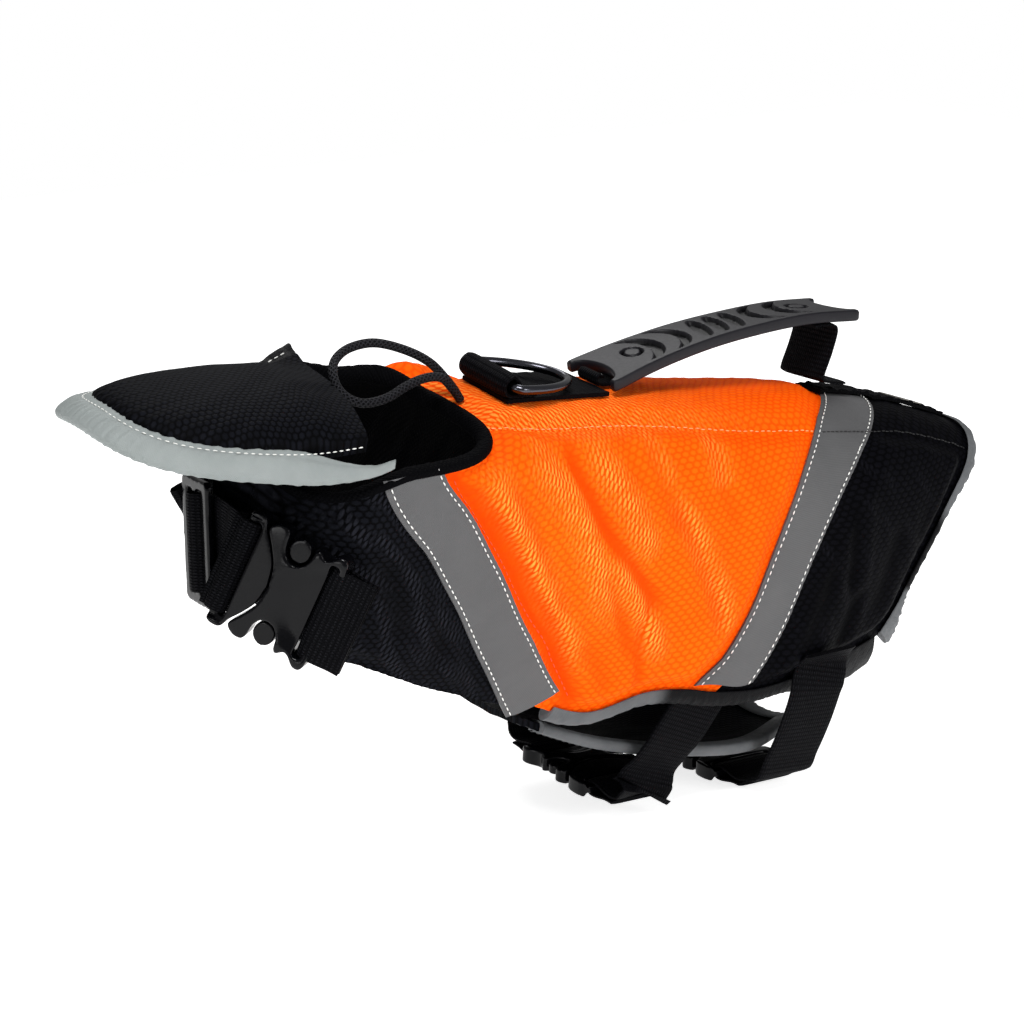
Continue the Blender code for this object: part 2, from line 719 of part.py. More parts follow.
def chin_point(reach, height):
    """A point of the chin float from its forward and side reach and a height."""
    base, forward, aside, up = chin_axes()
    flatten = 1 - CHIN_FLATTEN * math.sin(math.pi * min(1.0, max(0.0, reach.x / CHIN_LENGTH)))
    curl = CHIN_CURL * flatten * (reach.y / CHIN_HALF_WIDTH) ** 2
    curl += CHIN_TWIST * reach.y / CHIN_HALF_WIDTH * (reach.x / CHIN_LENGTH) ** 2
    skew = reach.y * blend(CHIN_SKEW, CHIN_YAW, reach.x / CHIN_LENGTH)
    lift = CHIN_BASE_LIFTS[0] if reach.y > 0 else CHIN_BASE_LIFTS[1]
    curl -= lift * max(0.0, 1 - reach.x / CHIN_LIFT_REACH) ** 2 * (reach.y / CHIN_HALF_WIDTH) ** 2
    return base + forward * (reach.x + skew) + aside * reach.y + up * (height - curl)


def chin_top(share):
    """Height of the pad's top at a share of the way from the middle to the pad's edge."""
    return CHIN_EDGE + (CHIN_DOME - CHIN_EDGE) * math.sqrt(max(0.0, 1 - share ** 3.2))


def build_chin(black, grey):
    """The chin float: a domed pad, and the wide tape folded round its edge."""
    shape = bmesh.new()
    angles = [math.pi * k / CHIN_RAYS for k in range(CHIN_RAYS + 1)]
    shares = (0.3, 0.55, 0.75, 0.9, 1.0)
    layers = []
    for top in (True, False):
        pole = shape.verts.new(chin_point(Vector((0, 0)), chin_top(0.25) if top else 0.0))
        rings = []
        for share in shares:
            ring = []
            for angle in angles:
                full = chin_outline(angle)
                reach = full * ((full.length - CHIN_TAPE_WIDTH) / full.length * share)
                base_fade = ease(reach.x / 30.0)
                height = blend(CHIN_EDGE + 1, chin_top(share), 0.35 + 0.65 * base_fade) if top else 0.0
                ring.append(shape.verts.new(chin_point(reach, height)))
            rings.append(ring)
        for k in range(CHIN_RAYS):
            shape.faces.new((pole, rings[0][k], rings[0][k + 1]))
            for low, high in zip(rings, rings[1:]):
                shape.faces.new((low[k], high[k], high[k + 1], low[k + 1]))
        layers.append((pole, rings))
    rims = []
    for pole, rings in layers:
        rims.append([pole] + [ring[0] for ring in rings] + rings[-1][1:-1] + [r[-1] for r in reversed(rings)])
    rim_top, rim_low = rims
    for k, vert in enumerate(rim_top):
        after = (k + 1) % len(rim_top)
        shape.faces.new((vert, rim_top[after], rim_low[after], rim_low[k]))
    finish_object("chin_float_pad", shape, black)

    rings = []
    for angle in angles:
        full = chin_outline(angle)
        out = full.normalized()
        inner = full - out * (CHIN_TAPE_WIDTH - GAP)
        profile = (
            (inner, CHIN_EDGE - 0.5), (full - out * 7, CHIN_EDGE + 0.3), (full - out * 1.5, 2.2),
            (full, -0.6), (full - out * 1.5, -3.0), (inner, -1.2),
        )
        rings.append([chin_point(reach, height) for reach, height in profile])
    loft_solid("chin_float_binding", rings, grey)


def belly_sag(x):
    """Height of the belly panel's middle along its length."""
    return spline(BELLY_LINE, (x + 150.0) / 40.0)[0]


def belly_half_width(x):
    """Half width of the belly panel along its length."""
    share = (x + 150.0) / 200.0
    return spline(BELLY_HALF, share * 5)[0]


def belly_point(x, y, height):
    """A point of the belly panel at a height from its upper face."""
    share = y / belly_half_width(x)
    return Vector((x, y, belly_sag(x) + BELLY_LIFT * share * share + height))


def build_belly(black, grey):
    """The belly panel, slung from the front corners of the sides and carried by the straps."""
    rows, cols = 12, 8
    stations = [blend(BELLY_START, BELLY_END, r / rows) for r in range(rows + 1)]
    layers = [[[belly_point(x, belly_half_width(x) * (2 * c / cols - 1), height) for c in range(cols + 1)]
               for x in stations] for height in (-BELLY_WALL, 0.0)]
    grid_solid("belly_panel", layers[0], layers[1], black)

    places = [Vector((x, -belly_half_width(x))) for x in stations[1:]]
    places += [Vector((BELLY_END, belly_half_width(BELLY_END) * (2 * c / cols - 1))) for c in range(1, cols)]
    places += [Vector((p.x, -p.y)) for p in reversed(places[:rows])]
    under = -BELLY_WALL - GAP
    profile = ((-6, GAP), (-6, GAP + BINDING), (2.6, 0.6), (3.4, -1.8), (2.6, -4.2),
               (-6, under - BINDING), (-6, under), (0.4, under), (0.4, GAP))
    rings = []
    for k, place in enumerate(places):
        run = (places[min(k + 1, len(places) - 1)] - places[max(k - 1, 0)]).normalized()
        out = Vector((run.y, -run.x))
        rings.append([belly_point(place.x + out.x * a, place.y + out.y * a, b) for a, b in profile])
    loft_solid("belly_binding", rings, grey)


def boolean(target, cutter, kind):
    """Applies a Boolean of two objects to the first, and drops the second."""
    step = target.modifiers.new("cut", "BOOLEAN")
    step.operation, step.object, step.solver = kind, cutter, "EXACT"
    bpy.context.view_layer.update()
    result = bpy.data.meshes.new_from_object(target.evaluated_get(bpy.context.evaluated_depsgraph_get()))
    target.modifiers.clear()
    target.data = result
    bpy.data.objects.remove(cutter)


def prism(outline, low, high):
    """A temporary upright prism over an outline, in mm, used to shape hard pieces."""
    shape = bmesh.new()
    base = [shape.verts.new((x, y, low)) for x, y in outline]
    top = [shape.verts.new((x, y, high)) for x, y in outline]
    count = len(outline)
    shape.faces.new(base)
    shape.faces.new(top)
    for k in range(count):
        shape.faces.new((base[k], base[(k + 1) % count], top[(k + 1) % count], top[k]))
    bmesh.ops.recalc_face_normals(shape, faces=shape.faces)
    mesh = bpy.data.meshes.new("blank")
    shape.to_mesh(mesh)
    shape.free()
    made = bpy.data.objects.new("blank", mesh)
    bpy.context.scene.collection.objects.link(made)
    return made


def block(x0, x1, y0, y1, low, high):
    """A temporary box."""
    return prism(((x0, y0), (x1, y0), (x1, y1), (x0, y1)), low, high)


def place_hard(blank, name, stuff, frame, change=None, roll=False):
    """Moves a shaped blank from its own mm frame to its place on the garment."""
    shape = bmesh.new()
    shape.from_mesh(blank.data)
    for vert in shape.verts:
        local = change(vert.co) if change else vert.co
        vert.co = frame @ local
    bpy.data.objects.remove(blank)
    return finish_object(name, shape, stuff, roll)


def frame_at(origin, along_dir, outward):
    """A frame whose X runs along a strap and whose Z points out."""
    x_axis = Vector(along_dir).normalized()
    z_axis = (Vector(outward) - x_axis * Vector(outward).dot(x_axis)).normalized()
    y_axis = z_axis.cross(x_axis)
    turned = Matrix((x_axis, y_axis, z_axis)).transposed().to_4x4()
    turned.translation = Vector(origin)
    return turned


def shave(target, x0, x1, half, keep):
    """Thins a bar between x0 and x1 to keep on each side of the middle plane."""
    boolean(target, block(x0, x1, -half, half, keep, keep + 20), "DIFFERENCE")
    boolean(target, block(x0, x1, -half, half, -keep - 20, -keep), "DIFFERENCE")


def build_buckle(words, stuff, frame, web, thick, reach, roll):
    """A side-release buckle, fastened: the socket at +X, the pronged half at -X."""
    half = web / 2 + 5.5
    inner, deep, slot = half - 2.6, thick / 2, web / 2 + 0.8
    mouth = -web * 0.1
    socket_end, plug_end = web * reach[0], -web * reach[1]
    side = ((mouth, half - 1), (mouth + 5, half), (web * 0.16, half - 0.5), (web * 0.6, half - 3.5),
            (socket_end - 8, half - 0.5), (socket_end - 3, half), (socket_end, half - 3))
    socket = prism([(x, -y) for x, y in side] + list(reversed(side)), -deep, deep)
    boolean(socket, block(mouth - 1, web * 0.56, -inner, inner, -deep + 2, deep - 2), "DIFFERENCE")
    for sign in (-1, 1):
        low, high = sorted((sign * (half - 7.5), sign * (half + 1)))
        boolean(socket, block(web * 0.12, web * 0.5, low, high, -deep - 1, deep + 1), "DIFFERENCE")
    boolean(socket, block(socket_end - 7, socket_end - 3, -slot, slot, -deep - 1, deep + 1), "DIFFERENCE")
    shave(socket, socket_end - 4, socket_end + 1, slot, BAR_HALF)
    place_hard(socket, words + "_socket", stuff, frame, roll=roll)

    arm_in, arm_out, lip = half - 7.2, inner - 0.4, mouth - 0.4
    side = ((lip, half - 0.5), (lip, arm_out), (web * 0.13, arm_out), (web * 0.19, half - 0.2),
            (web * 0.36, half - 0.6), (web * 0.45, half - 4.5), (web * 0.36, arm_in), (mouth + 1, arm_in),
            (lip, web * 0.2))
    outline = [(x, y) for x, y in side] + [(x, -y) for x, y in reversed(side)]
    base = half - 2.5
    outline += [(plug_end + 2, -base), (plug_end, -base + 2), (plug_end, base - 2), (plug_end + 2, base)]
    plug = prism(outline, -deep + 2.3, deep - 2.3)
    boolean(plug, block(plug_end + 3, plug_end + 7, -slot, slot, -deep - 1, deep + 1), "DIFFERENCE")
    shave(plug, plug_end - 1, plug_end + 4, slot, BAR_HALF)
    place_hard(plug, words + "_plug", stuff, frame, roll=roll)


def bar_loop(frame, end, sign, tail=15.0):
    """Points of webbing round a buckle's bar: the sewn-down tail first, then the length that leads away."""
    centre = end - sign * BAR_HALF
    local = ((tail, 1.45), (tail * 0.66, 1.6), (3, 3.0), (-1, 3.1), (-3.6, 1.8), (-4.1, 0), (-3.6, -1.8),
             (-1, -3.1), (3, -3.0), (10, -1.3), (15, -1.2))
    return [frame @ Vector((centre + sign * x, 0.0, z)) for x, z in local]


def build_belly_straps(webbing, plastic):
    """The two belly straps. Each runs from the left hem down, under the belly and up to the right hem."""
    lines = rear_lines()
    for strap in BELLY_STRAPS:
        frame = frame_at((strap.low_x, strap.buckle_y, strap.low_z), (0, 1, 0), (0, 0, -1))
        build_buckle("belly_buckle_" + strap.name, plastic, frame, BELLY_WEB, 9.0, BELLY_REACH, True)
        top = strap_top(strap, lines)
        for word, end, sign in (("left", -BELLY_WEB * BELLY_REACH[1], -1),
                                ("right", BELLY_WEB * BELLY_REACH[0], 1)):
            ends = bar_loop(frame, end, sign)
            last = ends[-1]
            rise = top[0].z - last.z
            corner = sign * strap.corner_y
            side = sign * strap.side_y
            ways = ((0.08, blend(last.y, corner, 0.75), 0.06), (0.2, corner, 0.2),
                    (0.5, blend(corner, side, 0.6), 0.5))
            points = [Vector((blend(strap.low_x, strap.top_x, s), y, last.z + rise * t)) for s, y, t in ways]
            if not strap.inside:
                points.append(Vector((blend(strap.low_x, strap.top_x, 0.8), side, last.z + rise * 0.8)))
            points += [Vector((p.x, p.y * -sign, p.z)) for p in top]
            path = ends + smooth_path([last] + points, 12)[1:]
            ribbon("belly_strap_%s_%s" % (strap.name, word), webbing, path, (1.0, 0.0, 0.0), BELLY_WEB)


def strap_top(strap, lines):
    """The points of a belly strap where it is sewn to the left side, lowest first."""
    points = []
    for turn in (111.0, 104.0, 98.0) if strap.inside else (107.5, 102.5):
        station = station_at(strap.top_x, turn)
        if strap.inside:
            height = -INSIDE_GAP - BINDING - 2 * GAP - WEBBING / 2
        else:
            height = rear_height(form_point(station, turn), lines) + 6 * GAP + BINDING + WEBBING
        points.append(on_form(station, turn, height))
    return points


def build_chest(webbing, plastic):
    """The chest strap with its buckle on the left of the chest and its slider in front."""
    near, front = Vector(CHEST_NEAR), Vector(CHEST_FRONT)
    run = (near - front).normalized()
    frame = frame_at(near - run * (CHEST_WEB * CHEST_REACH[0] + 12.0), run, CHEST_OUT)
    build_buckle("chest_buckle", plastic, frame, CHEST_WEB, 11.0, CHEST_REACH, False)
    across = frame.to_3x3() @ Vector((0.0, 1.0, 0.0))
    loop = bar_loop(frame, CHEST_WEB * CHEST_REACH[0], 1)
    ribbon("chest_strap_left", webbing, loop, across, CHEST_WEB, roll=False)

    slider = frame_at(SLIDER_MIDDLE, SLIDER_ALONG, (SLIDER_ALONG[1], -SLIDER_ALONG[0], 0.0))
    tall = CHEST_WEB / 2 + 6.0
    long = SLIDER_HALF
    body = prism(((-long, -tall + 2), (-long + 2, -tall), (long - 2, -tall), (long, -tall + 2),
                  (long, tall - 2), (long - 2, tall), (-long + 2, tall), (-long, tall - 2)), -1.6, 1.6)
    for low, high in ((2.0, 8.0), (-8.0, -2.0)):
        boolean(body, block(low, high, -CHEST_WEB / 2 - 1, CHEST_WEB / 2 + 1, -4, 4), "DIFFERENCE")
    place_hard(body, "chest_slider", plastic, slider)
    weave = ((16.5, -3.4), (7.6, -3.3), (2.5, 3.2), (-2.5, 3.2), (-7.6, -3.3), (-14, -3.4), (-22, -4.6))
    path = bar_loop(frame, -CHEST_WEB * CHEST_REACH[1], -1, 7.0)[:-2]
    up = slider.to_3x3() @ Vector((0.0, 1.0, 0.0))
    wide = [across] * len(path) + [across + up * 1.3] + [up] * len(weave)
    woven = [slider @ Vector((x, 0.0, z)) for x, z in weave]
    path += [path[-1].lerp(woven[0], 0.4)] + woven
    for turn in CHEST_FAR_ROUNDS:
        path.append(rolled(on_form(CHEST_FAR_STATION, turn, FRONT_WALL + 3.0)))
        ahead, behind = form_point(CHEST_FAR_STATION - 0.3, turn), form_point(CHEST_FAR_STATION + 0.3, turn)
        wide.append(rolled(ahead) - rolled(behind))
    ribbon("chest_strap_right", webbing, path, wide, CHEST_WEB, roll=False)


def spine_strip(name, stuff, x0, x1, half_width, base, thickness, rows, cols=2):
    """A strip lying along the back over the spine. base(point) is its height."""
    outer, inner = [], []
    for r in range(rows + 1):
        station = station_at(blend(x0, x1, r / rows))
        point, normal = form_point(station, 0.0), form_axes(station, 0.0)[2]
        height = base(point)
        out_row, in_row = [], []
        for c in range(cols + 1):
            y = blend(-half_width, half_width, c / cols)
            out_row.append(point + Vector((0.0, y, 0.0)) + normal * (height + thickness))
            in_row.append(point + Vector((0.0, y, 0.0)) + normal * height)
        outer.append(out_row)
        inner.append(in_row)
    return grid_solid(name, outer, inner, stuff)


def build_spine(webbing, label):
    """The webbing sewn along the back, and the blank label on its rear part."""
    lines = back_lines()

    def base(point):
        full = BACK_WALL if point.x < form_point(BACK_SEAM_STATION, 0.0).x else REAR_BACK_WALL
        over_tape = SEAM_WALL + TAPE_GAP + TAPE if distance(point, lines[0]) < SEAM_FLAT + 1 else 0.0
        return max(back_height(point, lines, full), over_tape) + GAP

    spine_strip("spine_webbing", webbing, -119.0, -63.0, SPINE_WEB / 2, base, WEBBING, 8)
    spine_strip("spine_strip_rear", webbing, 71.0, 149.0, SPINE_STRIP / 2, base, WEBBING, 16)
    spine_strip("spine_label", label, 122.0, 136.0, SPINE_STRIP / 2 - 1,
                lambda point: base(point) + WEBBING + GAP, 0.6, 3)


def station_at(x, turn=0.0):
    """The station whose point at a round lies at x."""
    low, high = 0.0, LAST_STATION
    for _ in range(40):
        middle = (low + high) / 2
        if form_point(middle, turn).x < x:
            low = middle
        else:
            high = middle
    return (low + high) / 2


def ring_axis():
    """The middle of the D-ring's bar, which is its hinge line."""
    seat = on_form(station_at(RING_X), 0.0, BACK_WALL + 2 * GAP + WEBBING)
    return Vector((RING_X, 0.0, seat.z + RING_WIRE / 2 + RING_PLAY + WEBBING))


def build_ring(metal, webbing):
    """The D-ring, lying to the rear, and the webbing folded round its bar."""
    axis = ring_axis()
    pitch = math.radians(RING_PITCH)
    back = Vector((math.cos(pitch), 0.0, -math.sin(pitch)))
    path = [Vector((0.0, y, 0.0)) for y in (-RING_BAR_HALF, 0.0, RING_BAR_HALF)]
    path += [Vector((1.3, RING_HALF_WIDTH - 1.0, 0.0))]
    steps = 12
    for k in range(steps + 1):
        angle = math.pi * k / steps
        reach = blend(4.0, RING_LENGTH, math.sin(angle))
        path.append(Vector((reach, RING_HALF_WIDTH * math.cos(angle), 0.0)))
    path += [Vector((1.3, -RING_HALF_WIDTH + 1.0, 0.0))]
    centre = [axis + back * p.x + Vector((0.0, p.y, 0.0)) for p in path]
    upward = Vector((math.sin(pitch), 0.0, math.cos(pitch)))
    rings, count = [], len(centre)
    for k, point in enumerate(centre):
        heading = (centre[(k + 1) % count] - centre[k - 1]).normalized()
        side = upward.cross(heading).normalized()
        ring = []
        for j in range(8):
            angle = 2 * math.pi * j / 8
            ring.append(point + (side * math.cos(angle) + upward * math.sin(angle)) * RING_WIRE / 2)
        rings.append(ring)
    made = loft_solid("d_ring", rings, metal, closed=True, roll=False)
    left, right = (rolled(axis + Vector((0.0, y * RING_LEAN_SHARE, 0.0))) for y in (-RING_BAR_HALF, RING_BAR_HALF))
    made.data.transform(Matrix.Translation(-axis * MM))
    made.data.transform(Matrix.Rotation(math.atan2(right.z - left.z, right.y - left.y), 4, "X"))
    made.location = (left + right) / 2 * MM

    reach = RING_WIRE / 2 + RING_PLAY + WEBBING / 2
    bottom = axis.z - reach
    local = [(13.0, 0.0), (8.0, 0.0)]
    local += [(reach * math.cos(math.radians(a)), reach + reach * math.sin(math.radians(a)))
              for a in (-90, -130, -170, -210, -250, -285)]
    local += [(6.0, 3.2), (9.5, WEBBING + GAP + 0.3), (13.0, WEBBING + GAP)]
    slope = (on_form(station_at(RING_X + 20), 0, 0).z - on_form(station_at(RING_X), 0, 0).z) / 20.0
    way = [Vector((axis.x + x, 0.0, bottom + z + slope * max(x, 0.0))) for x, z in local]
    ribbon("d_ring_loop", webbing, way, (0.0, 1.0, 0.0), SPINE_WEB)


def handle_line(u):
    """The grip's underside along its length, from u in mm: the point and its pitch in radians."""
    share = u / HANDLE_LENGTH
    place = Vector(spline(HANDLE_LINE, share * (len(HANDLE_LINE) - 1)))
    after = Vector(spline(HANDLE_LINE, min(share + 0.01, 1.0) * (len(HANDLE_LINE) - 1)))
    before = Vector(spline(HANDLE_LINE, max(share - 0.01, 0.0) * (len(HANDLE_LINE) - 1)))
    run = after - before
    return place, math.atan2(run.y, run.x)


def bend_handle(point):
    """Maps the grip's straight blank onto its arched line."""
    place, pitch = handle_line(point.x)
    up = Vector((-math.sin(pitch), math.cos(pitch)))
    spot = place + up * point.z
    return Vector((spot.x, point.y, spot.y))


def oval(u, y, long_half, short_half, turn, count=10):
    """An oval outline, turned on the grip's top."""
    c, s = math.cos(math.radians(turn)), math.sin(math.radians(turn))
    points = []
    for k in range(count):
        angle = 2 * math.pi * k / count
        a, b = long_half * math.cos(angle), short_half * math.sin(angle)
        points.append((u + a * c - b * s, y + a * s + b * c))
    return points


def crescent(u, radius, width, sign, spread=62, count=7):
    """A crescent outline across the grip, hollow side towards sign."""
    outer = [(u - sign * radius * math.cos(math.radians(a)), radius * math.sin(math.radians(a)))
             for a in (blend(-spread, spread, k / (count - 1)) for k in range(count))]
    inner = [(x + sign * width * math.cos(math.radians(90 * y / (radius * 0.9))), y)
             for x, y in reversed(outer[1:-1])]
    return outer + inner


def build_handle(plastic):
    """The moulded grip."""
    half = HANDLE_WIDTH / 2
    length = HANDLE_LENGTH
    outline = [(0.0, half - 1.0), (2.0, half), (length * 0.2, half - 1.0), (length * 0.5, half - 2.2),
               (length * 0.8, half - 1.0), (length - 2, half), (length, half - 1.0), (length - 5.0, 9.5),
               (length - 8.0, 0.0), (length - 5.0, -9.5), (length, -half + 1.0), (length - 2, -half),
               (length * 0.8, -half + 1.0), (length * 0.5, -half + 2.2), (length * 0.2, -half + 1.0),
               (2.0, -half), (0.0, -half + 1.0), (5.0, -9.5), (8.0, 0.0), (5.0, 9.5)]
    grip = prism(outline, 0.0, HANDLE_THICK)
    top = HANDLE_THICK - HANDLE_RECESS
    for place, turn in ((0.42, 62), (0.5, 62), (0.58, 62)):
        boolean(grip, prism(oval(length * place, 0.0, 10.5, 3.1, turn), top, HANDLE_THICK + 2), "DIFFERENCE")
    for place, radius, width, sign in HANDLE_CRESCENTS:
        groove = prism(crescent(length * place, radius, width, sign), top, HANDLE_THICK + 2)
        boolean(grip, groove, "DIFFERENCE")
    hollow = block(16, length - 16, -half + 3.5, half - 3.5, -1.0, HANDLE_THICK - HANDLE_RECESS - 2.2)
    boolean(grip, hollow, "DIFFERENCE")
    shape = bmesh.new()
    shape.from_mesh(grip.data)
    for k in range(1, 12):
        everything = list(shape.verts) + list(shape.edges) + list(shape.faces)
        bmesh.ops.bisect_plane(shape, geom=everything, dist=0.001, plane_co=(length * k / 12, 0, 0),
                               plane_no=(1, 0, 0))
    shape.to_mesh(grip.data)
    shape.free()
    place_hard(grip, "handle_grip", plastic, Matrix.Identity(4), bend_handle, roll=True)


def build_handle_webbing(webbing):
    """The webbing that carries the grip: a curl in its front notch and a post at its rear."""
    seat = on_form(station_at(-46.0), 0.0, BACK_WALL + 2 * GAP + WEBBING * 1.5).z
    front = [(-41.0, seat - 0.9), (-49.0, seat - 0.1), (-55.0, seat + 0.3), (-60.0, seat + 1.5),
             (-61.1, seat + 3.6), (-59.6, seat + 5.2), (-57.6, seat + 4.3)]
    path = smooth_path([Vector((x, 0.0, z)) for x, z in front], 14)
    ribbon("handle_webbing_front", webbing, path, (0.0, 1.0, 0.0), 14.0)
    foot = on_form(station_at(76.0), 0.0, BACK_WALL + 2 * GAP + WEBBING * 1.5)
    head = HANDLE_LINE[4][1]
    rear = [(62.0, head - 1.6), (72.0, head - 2.2), (76.0, head - 5.0), (73.0, 15.0), (68.5, foot.z + 5.0),
            (69.0, foot.z + 2.2), (76.0, foot.z + 0.2), (82.0, foot.z - 0.8)]
    path = smooth_path([Vector((x, 0.0, z)) for x, z in rear], 20)
    ribbon("handle_webbing_rear", webbing, path, (0.0, 1.0, 0.0), BELLY_WEB)


def build_cord(stuff):
    """The braided cord loop at the back of the neck. Both of its ends are sewn into the rim."""
    points = smooth_path([Vector(p) for p in CORD_LINE], 48)
    curve = bpy.data.curves.new("neck_cord", "CURVE")
    curve.dimensions = "3D"
    curve.bevel_depth = CORD_DIAMETER / 2 * MM
    curve.bevel_resolution = 2
    curve.use_fill_caps = True
    line = curve.splines.new("POLY")
    line.points.add(len(points) - 1)
    for spot, point in zip(line.points, points):
        spot.co = (*(point * MM), 1.0)
    curve.materials.append(stuff)
    made = bpy.data.objects.new("neck_cord", curve)
    bpy.context.scene.collection.objects.link(made)


def main():
    """Builds every piece of the jacket."""
    clear_scene()
    orange = material("orange_mesh_cloth", (0.98, 0.14, 0.004), 0.75)
    black = material("black_mesh_cloth", (0.008, 0.008, 0.011), 0.8)
    inner = material("black_lining", (0.004, 0.004, 0.006), 0.6)
    grey = material("reflective_tape", (0.17, 0.17, 0.17), 0.45)
    webbing = material("black_webbing", (0.006, 0.006, 0.007), 0.85)
    plastic = material("black_plastic", (0.01, 0.01, 0.012), 0.3)
    metal = material("dark_steel", (0.35, 0.35, 0.36), 0.25, 1.0)
    label = material("blank_label", (0.3, 0.3, 0.29), 0.7)
    cord = material("black_braided_cord", (0.006, 0.006, 0.007), 0.7)
    build_lining(inner)
    build_sides(orange)
    build_back(orange, black)
    build_rear(black)
    build_front(black)
    build_tapes(grey)
    build_bindings(grey, black)
    build_chin(black, grey)
    build_belly(black, grey)
    build_belly_straps(webbing, plastic)
    build_chest(webbing, plastic)
    build_spine(webbing, label)
    build_ring(metal, webbing)
    build_handle(plastic)
    build_handle_webbing(webbing)
    build_cord(cord)


if __name__ == "__main__":
    main()
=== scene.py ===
"""Dressed model of a dog life jacket, filled out as worn, with its buckles fastened.

Sizes are millimetres until a mesh is made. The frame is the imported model's: +X towards the tail,
+Z up, the wearer's left at -Y. Cloth is laid out on the body form that its solids were laid out on:
a place on it is a mark, made of a station (0 at the neck rim, 9 at the rear hem) and a round (the
angle in degrees from the spine, positive on the wearer's left).
"""

import logging
import math
from dataclasses import dataclass
from enum import Enum
from typing import Callable, Sequence

import bmesh
import bpy
import numpy as np
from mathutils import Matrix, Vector


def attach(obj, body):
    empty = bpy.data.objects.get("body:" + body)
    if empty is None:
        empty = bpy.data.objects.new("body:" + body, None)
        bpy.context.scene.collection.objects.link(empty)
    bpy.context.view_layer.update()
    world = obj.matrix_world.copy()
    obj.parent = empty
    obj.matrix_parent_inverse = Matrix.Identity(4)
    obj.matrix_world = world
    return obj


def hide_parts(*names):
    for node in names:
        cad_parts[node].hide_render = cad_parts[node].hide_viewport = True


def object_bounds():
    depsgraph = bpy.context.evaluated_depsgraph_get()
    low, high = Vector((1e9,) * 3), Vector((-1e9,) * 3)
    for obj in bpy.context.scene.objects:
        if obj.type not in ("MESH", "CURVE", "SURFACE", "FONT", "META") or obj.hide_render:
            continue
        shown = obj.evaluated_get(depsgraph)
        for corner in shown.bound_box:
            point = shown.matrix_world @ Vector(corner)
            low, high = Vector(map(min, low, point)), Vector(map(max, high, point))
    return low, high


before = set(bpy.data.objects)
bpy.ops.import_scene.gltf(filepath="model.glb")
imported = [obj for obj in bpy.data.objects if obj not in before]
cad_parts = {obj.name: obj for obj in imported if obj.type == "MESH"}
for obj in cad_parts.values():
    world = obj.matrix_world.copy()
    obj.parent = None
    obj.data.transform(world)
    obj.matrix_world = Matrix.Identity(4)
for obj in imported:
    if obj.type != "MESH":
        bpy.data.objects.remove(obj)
CAD_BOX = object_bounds()

log = logging.getLogger("life_jacket")
Array = np.ndarray
Tree = bpy.types.NodeTree
Node = bpy.types.Node
Socket = bpy.types.NodeSocket
Piece = bpy.types.Object
MM = 0.001
# Height of an even triangle with sides of 1
TRIANGLE = 0.8660254

# Node types that the finishes use most
MATH = "ShaderNodeMath"
VECTOR = "ShaderNodeVectorMath"
MIX = "ShaderNodeMix"
SPAN = "ShaderNodeMapRange"
ATTRIBUTE = "ShaderNodeAttribute"

# Cloth build-up, measured out from the body form
GAP = 0.3
LINING = 1.0
SEAM_WALL = 3.2
PAD_WALL = 7.2
BACK_WALL = 7.4
REAR_BACK_WALL = 3.8
FRONT_WALL = 5.0
TAPE_LOW = 3.5
TAPE_HIGH = 4.6
BINDING = 0.9
WEBBING = 1.8
INNER_FACE = 2.5
SEAM_FLAT = 14.0
EDGE_FLAT = 4.4


class Body(Enum):
    """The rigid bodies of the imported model."""

    JACKET = "jacket"
    RING = "ring"


class Slot(Enum):
    """The record's material slots."""

    ORANGE = "orange_mesh_cloth"
    BLACK = "black_mesh_cloth"
    LINING = "black_lining"
    TAPE = "reflective_tape"
    WEBBING = "black_webbing"
    PLASTIC = "black_plastic"
    STEEL = "dark_steel"
    LABEL = "blank_label"
    CORD = "black_braided_cord"


# Sums


def ease(share: Array | float) -> Array:
    """0 to 1 with a soft start and end."""
    share = np.clip(share, 0.0, 1.0)
    return share * share * (3.0 - 2.0 * share)


def blend(low: Array | float, high: Array | float, share: Array | float) -> Array:
    """The value a share of the way from low to high."""
    return low + (high - low) * share


def spline(values: Sequence, place: Array | float) -> Array:
    """Catmull-Rom curve through values, where value k sits at place k.

    Args:
        values: one row of numbers for each knot.
        place: where on the curve, of any shape.

    Returns:
        The shape of place with the row's numbers as the last axis.
    """
    rows = np.asarray(values, float)
    place = np.asarray(place, float)
    last = len(rows) - 1
    k = np.clip(np.floor(place).astype(int), 0, last - 1)
    t = (place - k)[..., None]
    p1, p2 = rows[k], rows[k + 1]
    p0 = np.where((k > 0)[..., None], rows[np.maximum(k - 1, 0)], 2 * p1 - p2)
    p3 = np.where((k + 2 <= last)[..., None], rows[np.minimum(k + 2, last)], 2 * p2 - p1)
    return 0.5 * (2 * p1 + (p2 - p0) * t + (2 * p0 - 5 * p1 + 4 * p2 - p3) * t ** 2
                  + (3 * p1 - p0 - 3 * p2 + p3) * t ** 3)


def smooth_path(points: Sequence, count: int) -> Array:
    """Points of a smooth curve through the given ones."""
    return spline(points, np.linspace(0, len(points) - 1, count + 1))


def unit(vectors: Array) -> Array:
    """The vectors at length one."""
    return vectors / np.maximum(np.linalg.norm(vectors, axis=-1, keepdims=True), 1e-12)


def near(points: Array, line: Array) -> tuple[Array, Array]:
    """Distance from points to a traced line, and the share of the line that is nearest.

    Args:
        points: an array of points, of any leading shape.
        line: the traced points.

    Returns:
        The distances in mm and the shares from 0 to 1.
    """
    flat = points.reshape(-1, points.shape[-1])
    gaps = (flat ** 2).sum(-1)[:, None] + (line ** 2).sum(-1)[None] - 2 * flat @ line.T
    best = gaps.argmin(1)
    away = np.sqrt(np.maximum(gaps[np.arange(len(flat)), best], 0.0))
    return away.reshape(points.shape[:-1]), (best / (len(line) - 1)).reshape(points.shape[:-1])


